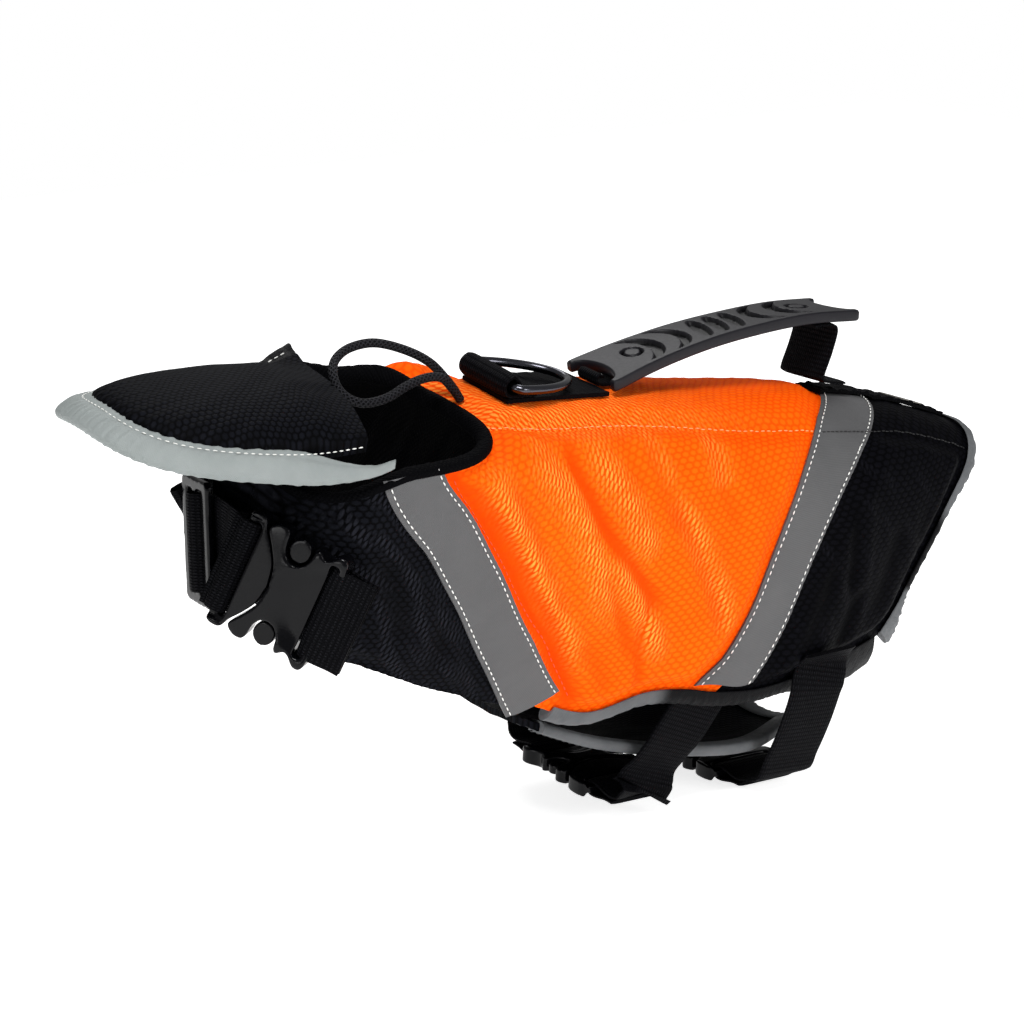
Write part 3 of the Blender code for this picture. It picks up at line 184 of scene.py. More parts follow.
def ripple(x: Array, z: Array, size: float, turn: float = 0.0, seed: float = 0.0) -> Array:
    """A soft uneven ripple from -1 to 1, longer along its turn.

    Args:
        x, z: where, in mm.
        size: the ripple's usual width in mm.
        turn: direction of the ridges in degrees from x.
        seed: shifts the pattern.

    Returns:
        The ripple's height, about -1 to 1.
    """
    c, s = math.cos(math.radians(turn)), math.sin(math.radians(turn))
    a, b = (x * c + z * s) / (size * 3.2), (z * c - x * s) / size
    total = np.sin(2 * math.pi * (b + 0.35 * np.sin(a * 4.1 + seed)) + seed * 1.7)
    total += 0.6 * np.sin(2 * math.pi * (b * 1.73 + 0.4 * a) + seed * 2.9 + 1.1 * np.sin(a * 5.3))
    total += 0.4 * np.sin(2 * math.pi * (a * 1.9 - b * 0.6) + seed * 4.3)
    return total / 2.0


# Meshes


def put(name: str, data: bpy.types.ID) -> Piece:
    """Makes an object of some data and links it to the scene.

    Args:
        name: its name.
        data: its mesh, curve, light or camera.

    Returns:
        The object.
    """
    made = bpy.data.objects.new(name, data)
    bpy.context.scene.collection.objects.link(made)
    return made


def make_object(name: str, verts: Array, faces: list, finish: "Finish", uv: Array | None = None,
                values: dict[str, Array] | None = None, sharp: float = 50.0) -> Piece:
    """A mesh object in metres, its faces pointing outwards.

    Args:
        name: the piece's name.
        verts: its points in mm.
        faces: its faces as lists of point numbers.
        finish: what it is made of.
        uv: one pair for each face corner, in mm.
        values: numbers for each point, kept as attributes.
        sharp: an edge that turns more than this many degrees stays sharp.

    Returns:
        The object, linked to the scene.
    """
    mesh = bpy.data.meshes.new(name)
    mesh.from_pydata((verts * MM).tolist(), [], faces)
    if uv is not None:
        layer = mesh.uv_layers.new(name="cloth")
        layer.data.foreach_set("uv", (uv * MM).astype(np.float32).ravel())
    for key, numbers in (values or {}).items():
        kept = mesh.attributes.new(key, "FLOAT", "POINT")
        kept.data.foreach_set("value", numbers.astype(np.float32).ravel())
    mesh.materials.append(finish.material())
    shape = bmesh.new()
    shape.from_mesh(mesh)
    if shape.calc_volume(signed=True) < 0:
        bmesh.ops.reverse_faces(shape, faces=shape.faces)
    shape.to_mesh(mesh)
    shape.free()
    mesh.shade_smooth()
    mesh.set_sharp_from_angle(angle=math.radians(sharp))
    return put(name, mesh)


def grid_shell(name: str, outer: Array, inner: Array, finish: "Finish", uv: Array,
               values: dict[str, Array] | None = None) -> Piece:
    """A closed thin shell from an outer and an inner grid of points.

    Args:
        name: the piece's name.
        outer, inner: the two faces, rows by columns.
        finish: what it is made of.
        uv: a pair in mm for each grid point.
        values: numbers for each grid point.

    Returns:
        The object.
    """
    rows, cols = outer.shape[:2]
    index = np.arange(rows * cols).reshape(rows, cols)
    quads = np.stack((index[:-1, :-1], index[:-1, 1:], index[1:, 1:], index[1:, :-1]), -1).reshape(-1, 4)
    rim = np.concatenate((index[0, :-1], index[:-1, -1], index[-1, :0:-1], index[:0:-1, 0]))
    after = np.roll(rim, -1)
    side = np.stack((rim, after, after + rows * cols, rim + rows * cols), -1)
    faces = np.concatenate((quads[:, ::-1], quads + rows * cols, side))
    flat_uv = np.concatenate((uv.reshape(-1, 2), uv.reshape(-1, 2)))
    both = {k: np.concatenate((v.ravel(), v.ravel())) for k, v in (values or {}).items()}
    verts = np.concatenate((outer.reshape(-1, 3), inner.reshape(-1, 3)))
    return make_object(name, verts, faces.tolist(), finish, flat_uv[faces.ravel()], both)


def loft(name: str, rings: Array, finish: "Finish", closed: bool = False,
         values: dict[str, Array] | None = None, sharp: float = 50.0) -> Piece:
    """A closed solid through rings of points, with UV in mm along and around it.

    Args:
        name: the piece's name.
        rings: rings by points by three.
        finish: what it is made of.
        closed: joins the last ring to the first.
        values: numbers for each ring point.
        sharp: an edge that turns more than this many degrees stays sharp.

    Returns:
        The object.
    """
    count, round_it = rings.shape[:2]
    loops = np.concatenate((rings, rings[:, :1]), 1)
    around = np.linalg.norm(np.diff(loops, axis=1), axis=-1).cumsum(1).mean(0)
    around = np.concatenate(([0.0], around))
    middle = rings.mean(1)
    run = np.concatenate(([0.0], np.linalg.norm(np.diff(middle, axis=0), axis=-1).cumsum()))
    runs = np.append(run, run[-1] + np.linalg.norm(middle[0] - middle[-1]))
    last = count if closed else count - 1
    k, j = (a.ravel() for a in np.meshgrid(np.arange(last), np.arange(round_it), indexing="ij"))
    k2, j2 = (k + 1) % count, (j + 1) % round_it
    faces = np.stack((k * round_it + j, k * round_it + j2, k2 * round_it + j2, k2 * round_it + j), -1)
    uv = np.stack((np.stack((runs[k], runs[k], runs[k + 1], runs[k + 1]), -1),
                   np.stack((around[j], around[j + 1], around[j + 1], around[j]), -1)), -1).reshape(-1, 2)
    listed = faces.tolist()
    if not closed:
        listed += [list(range(round_it))[::-1], list(range((count - 1) * round_it, count * round_it))]
        ends = np.stack((np.zeros(round_it), around[:-1]), -1)
        uv = np.concatenate((uv, ends[::-1], ends + (run[-1], 0.0)))
    return make_object(name, rings.reshape(-1, 3), listed, finish, uv, values, sharp)


def baked(source: Piece) -> bpy.types.Mesh:
    """The mesh that an object's modifiers give, in world places. The object is removed.

    Args:
        source: the object, with its modifiers.

    Returns:
        The mesh.
    """
    bpy.context.view_layer.update()
    shown = source.evaluated_get(bpy.context.evaluated_depsgraph_get())
    mesh = bpy.data.meshes.new_from_object(shown)
    mesh.transform(source.matrix_world)
    bpy.data.objects.remove(source)
    return mesh


def rounded(solid: Piece, voxel: float, passes: int) -> bpy.types.Mesh:
    """A solid's mesh with softly rounded edges, as it comes out of a mould. The solid is removed.

    Args:
        solid: the sharp solid.
        voxel: how fine the new surface is, in mm.
        passes: how far its edges are rounded.

    Returns:
        The mesh.
    """
    grain = solid.modifiers.new("grain", "REMESH")
    grain.mode, grain.voxel_size = "VOXEL", voxel * MM
    soften = solid.modifiers.new("soften", "SMOOTH")
    soften.factor, soften.iterations = 0.5, passes
    return baked(solid)


def dressed(name: str, mesh: bpy.types.Mesh, finish: "Finish") -> Piece:
    """A smooth-shaded object of a mesh, in one finish.

    Args:
        name: the piece's name.
        mesh: its mesh, in metres.
        finish: what it is made of.

    Returns:
        The object.
    """
    mesh.materials.clear()
    mesh.materials.append(finish.material())
    mesh.shade_smooth()
    return put(name, mesh)


def fit(made: Piece, slot: Slot | None, *nodes: str, body: Body = Body.JACKET) -> Piece:
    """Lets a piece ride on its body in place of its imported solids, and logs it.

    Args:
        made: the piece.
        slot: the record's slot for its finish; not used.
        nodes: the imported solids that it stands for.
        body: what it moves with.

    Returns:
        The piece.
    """
    if nodes:
        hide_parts(*nodes)
    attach(made, body.value)
    log.info("%s: %d faces", made.name, len(made.data.polygons))
    return made


# Finishes


def linear(colour: str) -> tuple[float, float, float, float]:
    """A linear colour from an sRGB hex value such as '#ff8000'."""
    parts = [int(colour[k:k + 2], 16) / 255 for k in (1, 3, 5)]
    return (*(p / 12.92 if p <= 0.04045 else ((p + 0.055) / 1.055) ** 2.4 for p in parts), 1.0)


def add_node(tree: Tree, kind: str, inputs: dict | None = None, **settings: object) -> Node:
    """Adds a node with its settings, and sets or links its inputs.

    Args:
        tree: the node tree.
        kind: the node's type.
        inputs: by name or number, a socket to link or a value to set.
        settings: the node's own properties.

    Returns:
        The node.
    """
    node = tree.nodes.new(kind)
    for key, value in settings.items():
        setattr(node, key, value)
    for key, value in (inputs or {}).items():
        if isinstance(value, Socket):
            tree.links.new(value, node.inputs[key])
        else:
            node.inputs[key].default_value = value
    return node


@dataclass(frozen=True)
class Finish:
    """What a piece is made of: a Principled material with its own pattern.

    A new kind of finish overrides dress(), which links colour, roughness and relief.
    """

    name: str
    colour: str
    roughness: float = 0.6
    metallic: float = 0.0
    specular: float = 0.5

    def material(self) -> bpy.types.Material:
        """The finish's material, made once.

        Returns:
            The material.
        """
        made = bpy.data.materials.get(self.name)
        if made:
            return made
        made = bpy.data.materials.new(self.name)
        made.use_nodes = True
        tree = made.node_tree
        shader = tree.nodes["Principled BSDF"]
        shader.inputs["Base Color"].default_value = linear(self.colour)
        shader.inputs["Roughness"].default_value = self.roughness
        shader.inputs["Metallic"].default_value = self.metallic
        shader.inputs["Specular IOR Level"].default_value = self.specular
        made.diffuse_color = linear(self.colour)
        self.dress(tree, shader)
        return made

    def dress(self, tree: Tree, shader: Node) -> None:
        """Fine unevenness in roughness, so that no surface is quite flat.

        Args:
            tree: the material's node tree.
            shader: its Principled node.
        """
        grain = self.noise(tree, 1.5, 3.0)
        spread = add_node(tree, SPAN, {0: grain, 3: self.roughness - 0.06, 4: self.roughness + 0.08})
        tree.links.new(spread.outputs[0], shader.inputs["Roughness"])

    def noise(self, tree: Tree, size: float, detail: float = 2.0) -> Socket:
        """A noise on the object's own coordinates, with its usual size in mm.

        Args:
            tree: the material's node tree.
            size: the usual size of a spot, in mm.
            detail: how much finer grain it carries.

        Returns:
            The noise's value, 0 to 1.
        """
        place = add_node(tree, "ShaderNodeTexCoord")
        made = add_node(tree, "ShaderNodeTexNoise",
                        {"Vector": place.outputs["Object"], "Scale": 1 / (size * MM), "Detail": detail,
                         "Roughness": 0.55})
        return made.outputs["Fac"]

    def relief(self, tree: Tree, shader: Node, height: Socket,
               depth: float, strength: float = 1.0) -> None:
        """Gives the shader a bump from a height, with its depth in mm."""
        bump = add_node(tree, "ShaderNodeBump",
                        {"Height": height, "Distance": depth * MM, "Strength": strength})
        tree.links.new(bump.outputs[0], shader.inputs["Normal"])


@dataclass(frozen=True)
class MeshCloth(Finish):
    """Knitted polyester mesh of flat six-sided cells, each a little raised, with darker gaps between.

    Where a fold draws the cloth tight its threads stand out as slanting dashes (the crest attribute).
    In the trough of a fold the cells' relief is lowered, and painted shade darkens the cloth (the fold
    attribute).
    """

    gap: str = "#000000"
    # Colour of the painted shade at the bottom of a fold
    trough: str = "#000000"
    dash: str = "#000000"
    dash_gap: str = "#000000"
    cell: tuple[float, float] = (6.2, 2.6)
    stitch: tuple[float, float, float] = (2.3, 4.2, 28.0)
    depth: float = 0.3

    @staticmethod
    def from_nearest(tree: Tree, place: Socket) -> Socket:
        """How far a place lies from the nearest point of an even lattice of triangles, side 1.

        Args:
            tree: the material's tree.
            place: where, in lattice units.

        Returns:
            The offset, both parts positive.
        """
        high, low = (0.5, TRIANGLE, 1.0), (-0.5, -TRIANGLE, -1.0)
        moved = add_node(tree, VECTOR, {0: place, 1: (0.5, TRIANGLE, 0.0)}, operation="ADD").outputs[0]
        ways = [add_node(tree, VECTOR, {0: v, 1: high, 2: low}, operation="WRAP").outputs[0]
                for v in (place, moved)]
        sizes = [add_node(tree, VECTOR, {0: v, 1: v}, operation="DOT_PRODUCT").outputs["Value"]
                 for v in ways]
        pick = add_node(tree, MATH, {0: sizes[0], 1: sizes[1]}, operation="GREATER_THAN").outputs[0]
        best = add_node(tree, MIX, {"Factor": pick, 4: ways[0], 5: ways[1]}, data_type="VECTOR")
        return add_node(tree, VECTOR, {0: best.outputs[1]}, operation="ABSOLUTE").outputs[0]

    def dress(self, tree: Tree, shader: Node) -> None:
        """Links the cells' colour and relief.

        Args:
            tree: the material's node tree.
            shader: its Principled node.
        """
        uv = add_node(tree, "ShaderNodeUVMap", uv_map="cloth").outputs[0]
        sway = add_node(tree, "ShaderNodeTexNoise", {"Vector": uv, "Scale": 1 / (30 * MM), "Detail": 1.0})
        bent = add_node(tree, VECTOR, {0: sway.outputs["Color"], 1: (0.006, 0.006, 0.0), 2: uv},
                        operation="MULTIPLY_ADD").outputs[0]
        wide, tall = self.cell
        scaled = add_node(tree, VECTOR, {0: bent, 1: (1 / (wide * MM), TRIANGLE / (tall * MM), 0.0)},
                          operation="MULTIPLY").outputs[0]
        away = self.from_nearest(tree, scaled)
        slant = add_node(tree, VECTOR, {0: away, 1: (0.5, TRIANGLE, 0.0)}, operation="DOT_PRODUCT")
        across = add_node(tree, "ShaderNodeSeparateXYZ", {0: away}).outputs[0]
        reach = add_node(tree, MATH, {0: slant.outputs["Value"], 1: across}, operation="MAXIMUM").outputs[0]
        boss = add_node(tree, SPAN, {0: reach, 1: 0.5, 2: 0.2}, interpolation_type="SMOOTHSTEP").outputs[0]
        pitch, length, turn = self.stitch
        leaning = add_node(tree, "ShaderNodeMapping",
                           {"Vector": bent, "Rotation": (0.0, 0.0, math.radians(turn))},
                           vector_type="POINT").outputs[0]
        leaning = add_node(tree, VECTOR, {0: leaning, 1: (1 / (pitch * MM), 1 / (length * MM), 0.0)},
                           operation="MULTIPLY").outputs[0]
        near_dash = self.from_nearest(tree, leaning)
        thin = add_node(tree, VECTOR, {0: near_dash, 1: (1.0, 0.5, 0.0)}, operation="MULTIPLY").outputs[0]
        size = add_node(tree, VECTOR, {0: thin}, operation="LENGTH").outputs["Value"]
        dash = add_node(tree, SPAN, {0: size, 1: 0.36, 2: 0.16}, interpolation_type="SMOOTHSTEP").outputs[0]
        fold = add_node(tree, ATTRIBUTE, attribute_name="fold").outputs["Fac"]
        tight = add_node(tree, ATTRIBUTE, attribute_name="crest").outputs["Fac"]
        deep = add_node(tree, SPAN, {0: fold, 1: 0.05, 2: 1.0}).outputs[0]
        uneven = add_node(tree, SPAN,
                          {0: self.noise(tree, 5.0, 3.0), 1: 0.38, 2: 0.55, 3: 0.45, 4: 1.0}).outputs[0]
        tight = add_node(tree, MATH, {0: tight, 1: uneven}, operation="MULTIPLY").outputs[0]
        plain = add_node(tree, MIX, {"Factor": boss, 6: linear(self.gap), 7: linear(self.colour)},
                         data_type="RGBA").outputs[2]
        drawn = add_node(tree, MIX, {"Factor": dash, 6: linear(self.dash_gap), 7: linear(self.dash)},
                         data_type="RGBA").outputs[2]
        colour = add_node(tree, MIX, {"Factor": tight, 6: plain, 7: drawn}, data_type="RGBA").outputs[2]
        # Painted shade: the trough colour where the fold attribute is deep
        colour = add_node(tree, MIX, {"Factor": deep, 6: colour, 7: linear(self.trough)},
                          data_type="RGBA").outputs[2]
        worn = add_node(tree, SPAN,
                        {0: self.noise(tree, 24.0, 3.0), 1: 0.3, 2: 0.7, 3: 0.92, 4: 1.05}).outputs[0]
        colour = add_node(tree, VECTOR, {0: colour, 3: worn}, operation="SCALE").outputs[0]
        tree.links.new(colour, shader.inputs["Base Color"])
        low = add_node(tree, MATH, {0: boss, 1: 0.5}, operation="MULTIPLY").outputs[0]
        height = add_node(tree, MIX, {"Factor": tight, 2: low, 3: dash}, data_type="FLOAT").outputs[0]
        calm = add_node(tree, SPAN, {0: deep, 3: 1.0, 4: 0.3}).outputs[0]
        self.relief(tree, shader,
                    add_node(tree, MATH, {0: height, 1: calm}, operation="MULTIPLY").outputs[0], self.depth)


@dataclass(frozen=True)
class WovenBand(Finish):
    """Heavy nylon webbing: ribs across its length, each a row of small lit floats."""

    rib: float = 2.2
    warp: float = 1.3
    depth: float = 0.3
    light: str = "#4a4a50"

    def dress(self, tree: Tree, shader: Node) -> None:
        """Links the ribs' colour and relief.

        Args:
            tree: the material's node tree.
            shader: its Principled node.
        """
        uv = add_node(tree, "ShaderNodeUVMap", uv_map="cloth").outputs[0]
        scale = (math.pi / (self.rib * MM), math.pi / (self.warp * MM), 0.0)
        waves = add_node(tree, VECTOR, {0: uv, 1: scale}, operation="MULTIPLY").outputs[0]
        waves = add_node(tree, VECTOR, {0: waves}, operation="SINE").outputs[0]
        waves = add_node(tree, VECTOR, {0: waves}, operation="ABSOLUTE").outputs[0]
        parts = add_node(tree, "ShaderNodeSeparateXYZ", {0: waves}).outputs
        knots = add_node(tree, MATH, {0: parts[0], 1: parts[1]}, operation="MULTIPLY").outputs[0]
        tops = add_node(tree, SPAN, {0: knots, 1: 0.45, 2: 1.0}).outputs[0]
        fibre = self.noise(tree, 0.7)
        spread = add_node(tree, SPAN, {0: fibre, 1: 0.35, 2: 0.65}).outputs[0]
        lit = add_node(tree, MATH, {0: tops, 1: spread}, operation="MULTIPLY").outputs[0]
        colour = add_node(tree, MIX, {"Factor": lit, 6: linear(self.colour), 7: linear(self.light)},
                          data_type="RGBA").outputs[2]
        tree.links.new(colour, shader.inputs["Base Color"])
        height = add_node(tree, MATH, {0: knots, 1: 1.5, 2: fibre}, operation="MULTIPLY_ADD").outputs[0]
        self.relief(tree, shader, height, self.depth)


@dataclass(frozen=True)
class Plastic(Finish):
    """Injection-moulded plastic with a very fine spark-eroded grain, and painted shade in its hollows if it
    has any.
    """

    depth: float = 0.05
    # Colour of the painted shade in the hollows, if any
    hollow: str | None = None

    def dress(self, tree: Tree, shader: Node) -> None:
        """Links the painted shade of the hollows and the mould's grain.

        Args:
            tree: the material's node tree.
            shader: its Principled node.
        """
        super().dress(tree, shader)
        if self.hollow:
            # Painted shade: darker where the recess attribute is high
            recess = add_node(tree, ATTRIBUTE, attribute_name="recess").outputs["Fac"]
            colour = add_node(tree, MIX, {"Factor": recess, 6: linear(self.colour), 7: linear(self.hollow)},
                              data_type="RGBA").outputs[2]
            tree.links.new(colour, shader.inputs["Base Color"])
        self.relief(tree, shader, self.noise(tree, 0.8, 3.0), self.depth, 0.6)


@dataclass(frozen=True)
class PlainCloth(Finish):
    """Close plain-woven polyester, such as lining or coated tape, with faint creases."""

    light: str = "#000000"
    # One thread in mm, drawn coarser than a real weave so that it shows
    thread: float = 0.9
    depth: float = 0.12
    crush: float = 7.0
    crush_depth: float = 0.25
    # Near-black colour painted where the tape lies in shade
    back: str = "#050507"

    def dress(self, tree: Tree, shader: Node) -> None:
        """Links the weave and the crush marks.

        Args:
            tree: the material's node tree.
            shader: its Principled node.
        """
        uv = add_node(tree, "ShaderNodeUVMap", uv_map="cloth").outputs[0]
        scale = math.pi / (self.thread * MM)
        grid = add_node(tree, VECTOR, {0: uv, 1: (scale, scale, 0.0)}, operation="MULTIPLY").outputs[0]
        waves = add_node(tree, VECTOR, {0: grid}, operation="SINE").outputs[0]
        parts = add_node(tree, "ShaderNodeSeparateXYZ", {0: waves})
        weave = add_node(tree, MATH, {0: parts.outputs[0], 1: parts.outputs[1]},
                         operation="MULTIPLY").outputs[0]
        mottle = self.noise(tree, self.crush * 2.5, 4.0)
        colour = add_node(tree, MIX, {"Factor": mottle, 6: linear(self.colour), 7: linear(self.light)},
                          data_type="RGBA").outputs[2]
        # Painted shade: near black where the tape's shade attribute is high
        painted_shade = add_node(tree, ATTRIBUTE, attribute_name="painted_shade").outputs["Fac"]
        colour = add_node(tree, MIX, {"Factor": painted_shade, 6: colour, 7: linear(self.back)},
                          data_type="RGBA").outputs[2]
        tree.links.new(colour, shader.inputs["Base Color"])
        crush = self.noise(tree, self.crush, 2.0)
        height = add_node(tree, MATH, {0: crush, 1: self.crush_depth / self.depth, 2: weave},
                          operation="MULTIPLY_ADD").outputs[0]
        self.relief(tree, shader, height, self.depth)


@dataclass(frozen=True)
class Braid(Finish):
    """Round braided polyester cord: crossing strands that wind both ways."""

    strand: float = 2.1
    lay: float = 2.1
    light: str = "#26262a"
    depth: float = 0.35

    def dress(self, tree: Tree, shader: Node) -> None:
        """Links the crossing strands.

        Args:
            tree: the material's node tree.
            shader: its Principled node.
        """
        uv = add_node(tree, "ShaderNodeUVMap", uv_map="cloth").outputs[0]
        checks = []
        for sign in (1.0, -1.0):
            turns = (2 * math.pi / (self.strand * MM), sign * 2 * math.pi / (self.lay * MM), 0.0)
            wave = add_node(tree, VECTOR, {0: uv, 1: turns}, operation="DOT_PRODUCT").outputs["Value"]
            checks.append(add_node(tree, MATH, {0: wave}, operation="SINE").outputs[0])
        height = add_node(tree, MATH, {0: checks[0], 1: checks[1]}, operation="MAXIMUM").outputs[0]
        shade = add_node(tree, SPAN, {0: height, 1: -0.2, 2: 1.0}).outputs[0]
        colour = add_node(tree, MIX, {"Factor": shade, 6: linear(self.colour), 7: linear(self.light)},
                          data_type="RGBA").outputs[2]
        tree.links.new(colour, shader.inputs["Base Color"])
        self.relief(tree, shader, height, self.depth)


# Knitted polyester mesh, matt: bright orange cells with redder gaps, and painted shade of deeper red where
# a fold closes
ORANGE_MESH = MeshCloth("orange_polyester_mesh", "#ff6208", 0.7, specular=0.02, gap="#f64e02",
                        trough="#f24402", dash="#ff9a3c", dash_gap="#ee4200", cell=(4.6, 2.3), depth=0.34)
# The same polyester mesh in black: its cells are seen only by faint highlights
BLACK_MESH = MeshCloth("black_polyester_mesh", "#09090d", 0.55, specular=0.015, gap="#030304",
                       trough="#030304", dash="#1a1a20", dash_gap="#030304", cell=(4.6, 2.3), depth=0.34)
# A closer black mesh with grains that show as fine grey points
FINE_BLACK_MESH = MeshCloth("fine_black_mesh", "#101116", 0.58, specular=0.02, gap="#030304",
                            trough="#050506", dash="#202127", dash_gap="#030304", cell=(3.4, 2.3),
                            depth=0.4)
# Smooth lining that stays almost black inside the jacket
LINING_CLOTH = PlainCloth("black_lining_cloth", "#020203", 0.5, specular=0.015, light="#050506", crush=14.0,
                          crush_depth=0.6)
# Flat mid-grey tape with a dull shine and small dents
REFLECTIVE = PlainCloth("glass_bead_tape", "#4c4c4d", 0.45, specular=0.2, light="#585859", thread=0.5,
                        depth=0.05, crush=9.0, crush_depth=0.35)
# Paler, softer tape folded over the chin float's edge
GREY_BINDING = PlainCloth("grey_folded_tape", "#7c8281", 0.5, specular=0.12, light="#929897", thread=0.5,
                          depth=0.06, crush=6.0, crush_depth=0.4)
# The same tape on the hems, where it is creased and lies in shade
HEM_BINDING = PlainCloth("creased_hem_tape", "#4c4e50", 0.5, specular=0.06, light="#6a6c6e", thread=0.5,
                         depth=0.06, crush=5.0, crush_depth=0.6)
# A black ribbed edge that hardly catches the light
BLACK_BINDING = PlainCloth("black_rolled_edge", "#040405", 0.7, specular=0.015, light="#08080a", thread=1.1,
                           depth=0.2, crush=5.0, crush_depth=0.4)
# Heavy black webbing whose floats glint in rows
NYLON_WEBBING = WovenBand("black_nylon_webbing", "#050507", 0.6, specular=0.03, light="#1c1c20")
# Glossy black plastic with clear highlights
ACETAL = Plastic("black_acetal", "#040406", 0.16, specular=0.14)
# Satin charcoal plastic, greyer than the buckles, with painted shade in its recesses
GRIP_PLASTIC = Plastic("moulded_grip", "#141318", 0.42, specular=0.2, hollow="#020203")
# Dark-plated steel wire, mirror-like in soft grey
STEEL = Finish("dark_plated_steel", "#4a4a50", 0.2, metallic=1.0)
# Blank pale woven label
LABEL_CLOTH = PlainCloth("blank_woven_label", "#6e6c68", 0.6, light="#85827c", thread=0.6)
# Black braid with small highlights on its strands
CORD_BRAID = Braid("black_cord_braid", "#050507", 0.45, specular=0.1)
# White polyester thread that reads as dotted lines on tape
WHITE_THREAD = Finish("white_polyester_thread", "#e6e6e2", 0.55)
# Pale orange thread that marks the shoulder seams softly
ORANGE_THREAD = Finish("pale_orange_thread", "#ffb070", 0.55)
# Deep orange thread that sinks into the front seam's fold
RED_THREAD = Finish("deep_orange_thread", "#d84a12", 0.55)
# Black thread that draws a fine dark line over the grey tape
BLACK_THREAD = Finish("black_polyester_thread", "#0c0c0e", 0.5)


# The form


@dataclass(frozen=True)
class SeamLine:
    """A smooth line on the form through marks of station and round."""

    marks: tuple[tuple[float, float], ...]

    def at(self, share: Array | float) -> Array:
        """The marks a share of the way along."""
        return spline(self.marks, np.asarray(share, float) * (len(self.marks) - 1))


@dataclass(frozen=True)
class BodyForm:
    """The rounded body that the cloth is laid out on, and the roll of its front.

    Each section is station, x and z of its spine point, lean in degrees, depth and half width.
    """

    sections: tuple = (
        (0, -138, 15.0, 90, 90, 50), (1, -131, 14.7, 64, 111, 52), (2, -119, 14.2, 42, 140, 54),
        (3, -104, 13.0, 20, 163, 55), (4, -76, 10.0, 6, 174, 56), (5, -40, 5.5, 3, 176, 56.5),
        (6, 0, 0.0, 8, 176, 56), (7, 60, -8.0, 24, 180, 53), (8, 110, -18.0, 37, 186, 48),
        (9, 157, -34.0, 47, 190, 42))
    squareness: float = 2.8
    front_dip: float = 12.0
    front_roll: float = 8.0
    roll_start_x: float = 80.0
    roll_full_x: float = -150.0
    roll_axis_z: float = -30.0
    # Middle in x, spread, where across the body it begins and is full, and height
    lifts: tuple = ((-184, 20, 22, 46, 9.0), (-132, 30, 10, 42, 7.5))
    lift_low_z: float = -22.0
    lift_rise: float = 44.0

    def point(self, mark: Array) -> Array:
        """Points of the form, before the front's roll.

        Args:
            mark: marks on the form: stations and rounds.

        Returns:
            Points in mm.
        """
        mark = np.asarray(mark, float)
        turn = mark[..., 1]
        _, top_x, top_z, lean, depth, half = np.moveaxis(spline(self.sections, mark[..., 0]), -1, 0)
        angle, tilt = np.radians(turn), np.radians(lean)
        across, upward = np.sin(angle), np.cos(angle)
        power = self.squareness
        size = (np.abs(across) ** power + np.abs(upward) ** power) ** (-1 / power)
        down = depth / 2 * (1 - upward * size)
        dip = self.front_dip * ease((np.abs(turn) - 98) / 45) * np.maximum(0.0, 1 - mark[..., 0] / 1.3)
        return np.stack((top_x - down * np.sin(tilt), -half * across * size,
                         top_z - down * np.cos(tilt) - dip), -1)

    def slopes(self, mark: Array) -> tuple[Array, Array, Array]:
        """The form's slopes with station and with round, and its outward normal.

        Args:
            mark: marks on the form: stations and rounds.

        Returns:
            The two slopes and the unit normal.
        """
        mark = np.asarray(mark, float)
        step_s, step_t = np.array((0.02, 0.0)), np.array((0.0, 0.6))
        by_station = (self.point(mark + step_s) - self.point(mark - step_s)) / 0.04
        by_round = (self.point(mark + step_t) - self.point(mark - step_t)) / 1.2
        return by_station, by_round, unit(np.cross(by_round, by_station))

    def out(self, mark: Array, height: Array | float) -> Array:
        """Points at a height out from the form, before the roll."""
        return self.point(mark) + self.slopes(mark)[2] * np.asarray(height, float)[..., None]

    def roll(self, points: Array) -> Array:
        """The front's roll about the body's long axis, and the lift of the collar's right side.

        Args:
            points: points before the roll, in mm.

        Returns:
            The points after it.
        """
        points = np.asarray(points, float)
        x, y, z = np.moveaxis(points, -1, 0)
        turn = np.radians(self.front_roll
                          * ease((self.roll_start_x - x) / (self.roll_start_x - self.roll_full_x)))
        z = z - self.roll_axis_z
        new_y = y * np.cos(turn) - z * np.sin(turn)
        new_z = self.roll_axis_z + y * np.sin(turn) + z * np.cos(turn)
        for middle, spread, start, full, height in self.lifts:
            share = ease((new_y - start) / (full - start))
            share = share * ease((new_z - self.lift_low_z) / self.lift_rise)
            new_z = new_z + height * share * np.exp(-(((x - middle) / spread) ** 2))
        return np.stack((x, new_y, new_z), -1)

    def place(self, mark: Array, height: Array | float, side: int = 1) -> Array:
        """Rolled points at a height out from the form, on the left (1) or the right (-1)."""
        return self.roll(self.out(np.asarray(mark, float) * (1, side), height))

    def frame_on(self, line: Callable, share: Array) -> tuple[Array, Array, Array]:
        """Marks along a line, with the headings along it and to its left on the form.

        Args:
            line: the line, as a function of a share.
            share: places along the line.

        Returns:
            Marks, unit headings along the line and unit headings to its left.
        """
        share = np.asarray(share, float)
        heading = unit(self.point(line(share + 0.01)) - self.point(line(share - 0.01)))
        mark = line(share)
        return mark, heading, unit(np.cross(self.slopes(mark)[2], heading))

    def shifted(self, mark: Array, heading: Array, reach: Array | float) -> Array:
        """Marks moved by a reach in mm along headings that lie in the form.

        Args:
            mark: marks on the form: stations and rounds.
            heading: unit headings that lie in the form.
            reach: how far to move, in mm.

        Returns:
            The moved marks.
        """
        by_station, by_round, _ = self.slopes(mark)
        ss, tt = (by_station ** 2).sum(-1), (by_round ** 2).sum(-1)
        st = (by_station * by_round).sum(-1)
        hs, ht = (heading * by_station).sum(-1) * reach, (heading * by_round).sum(-1) * reach
        det = ss * tt - st * st
        return mark + np.stack(((hs * tt - ht * st) / det, (ht * ss - hs * st) / det), -1)

    def trace(self, line: Callable, count: int = 220) -> Array:
        """Points along a line of the form."""
        return self.point(line(np.linspace(0, 1, count + 1)))

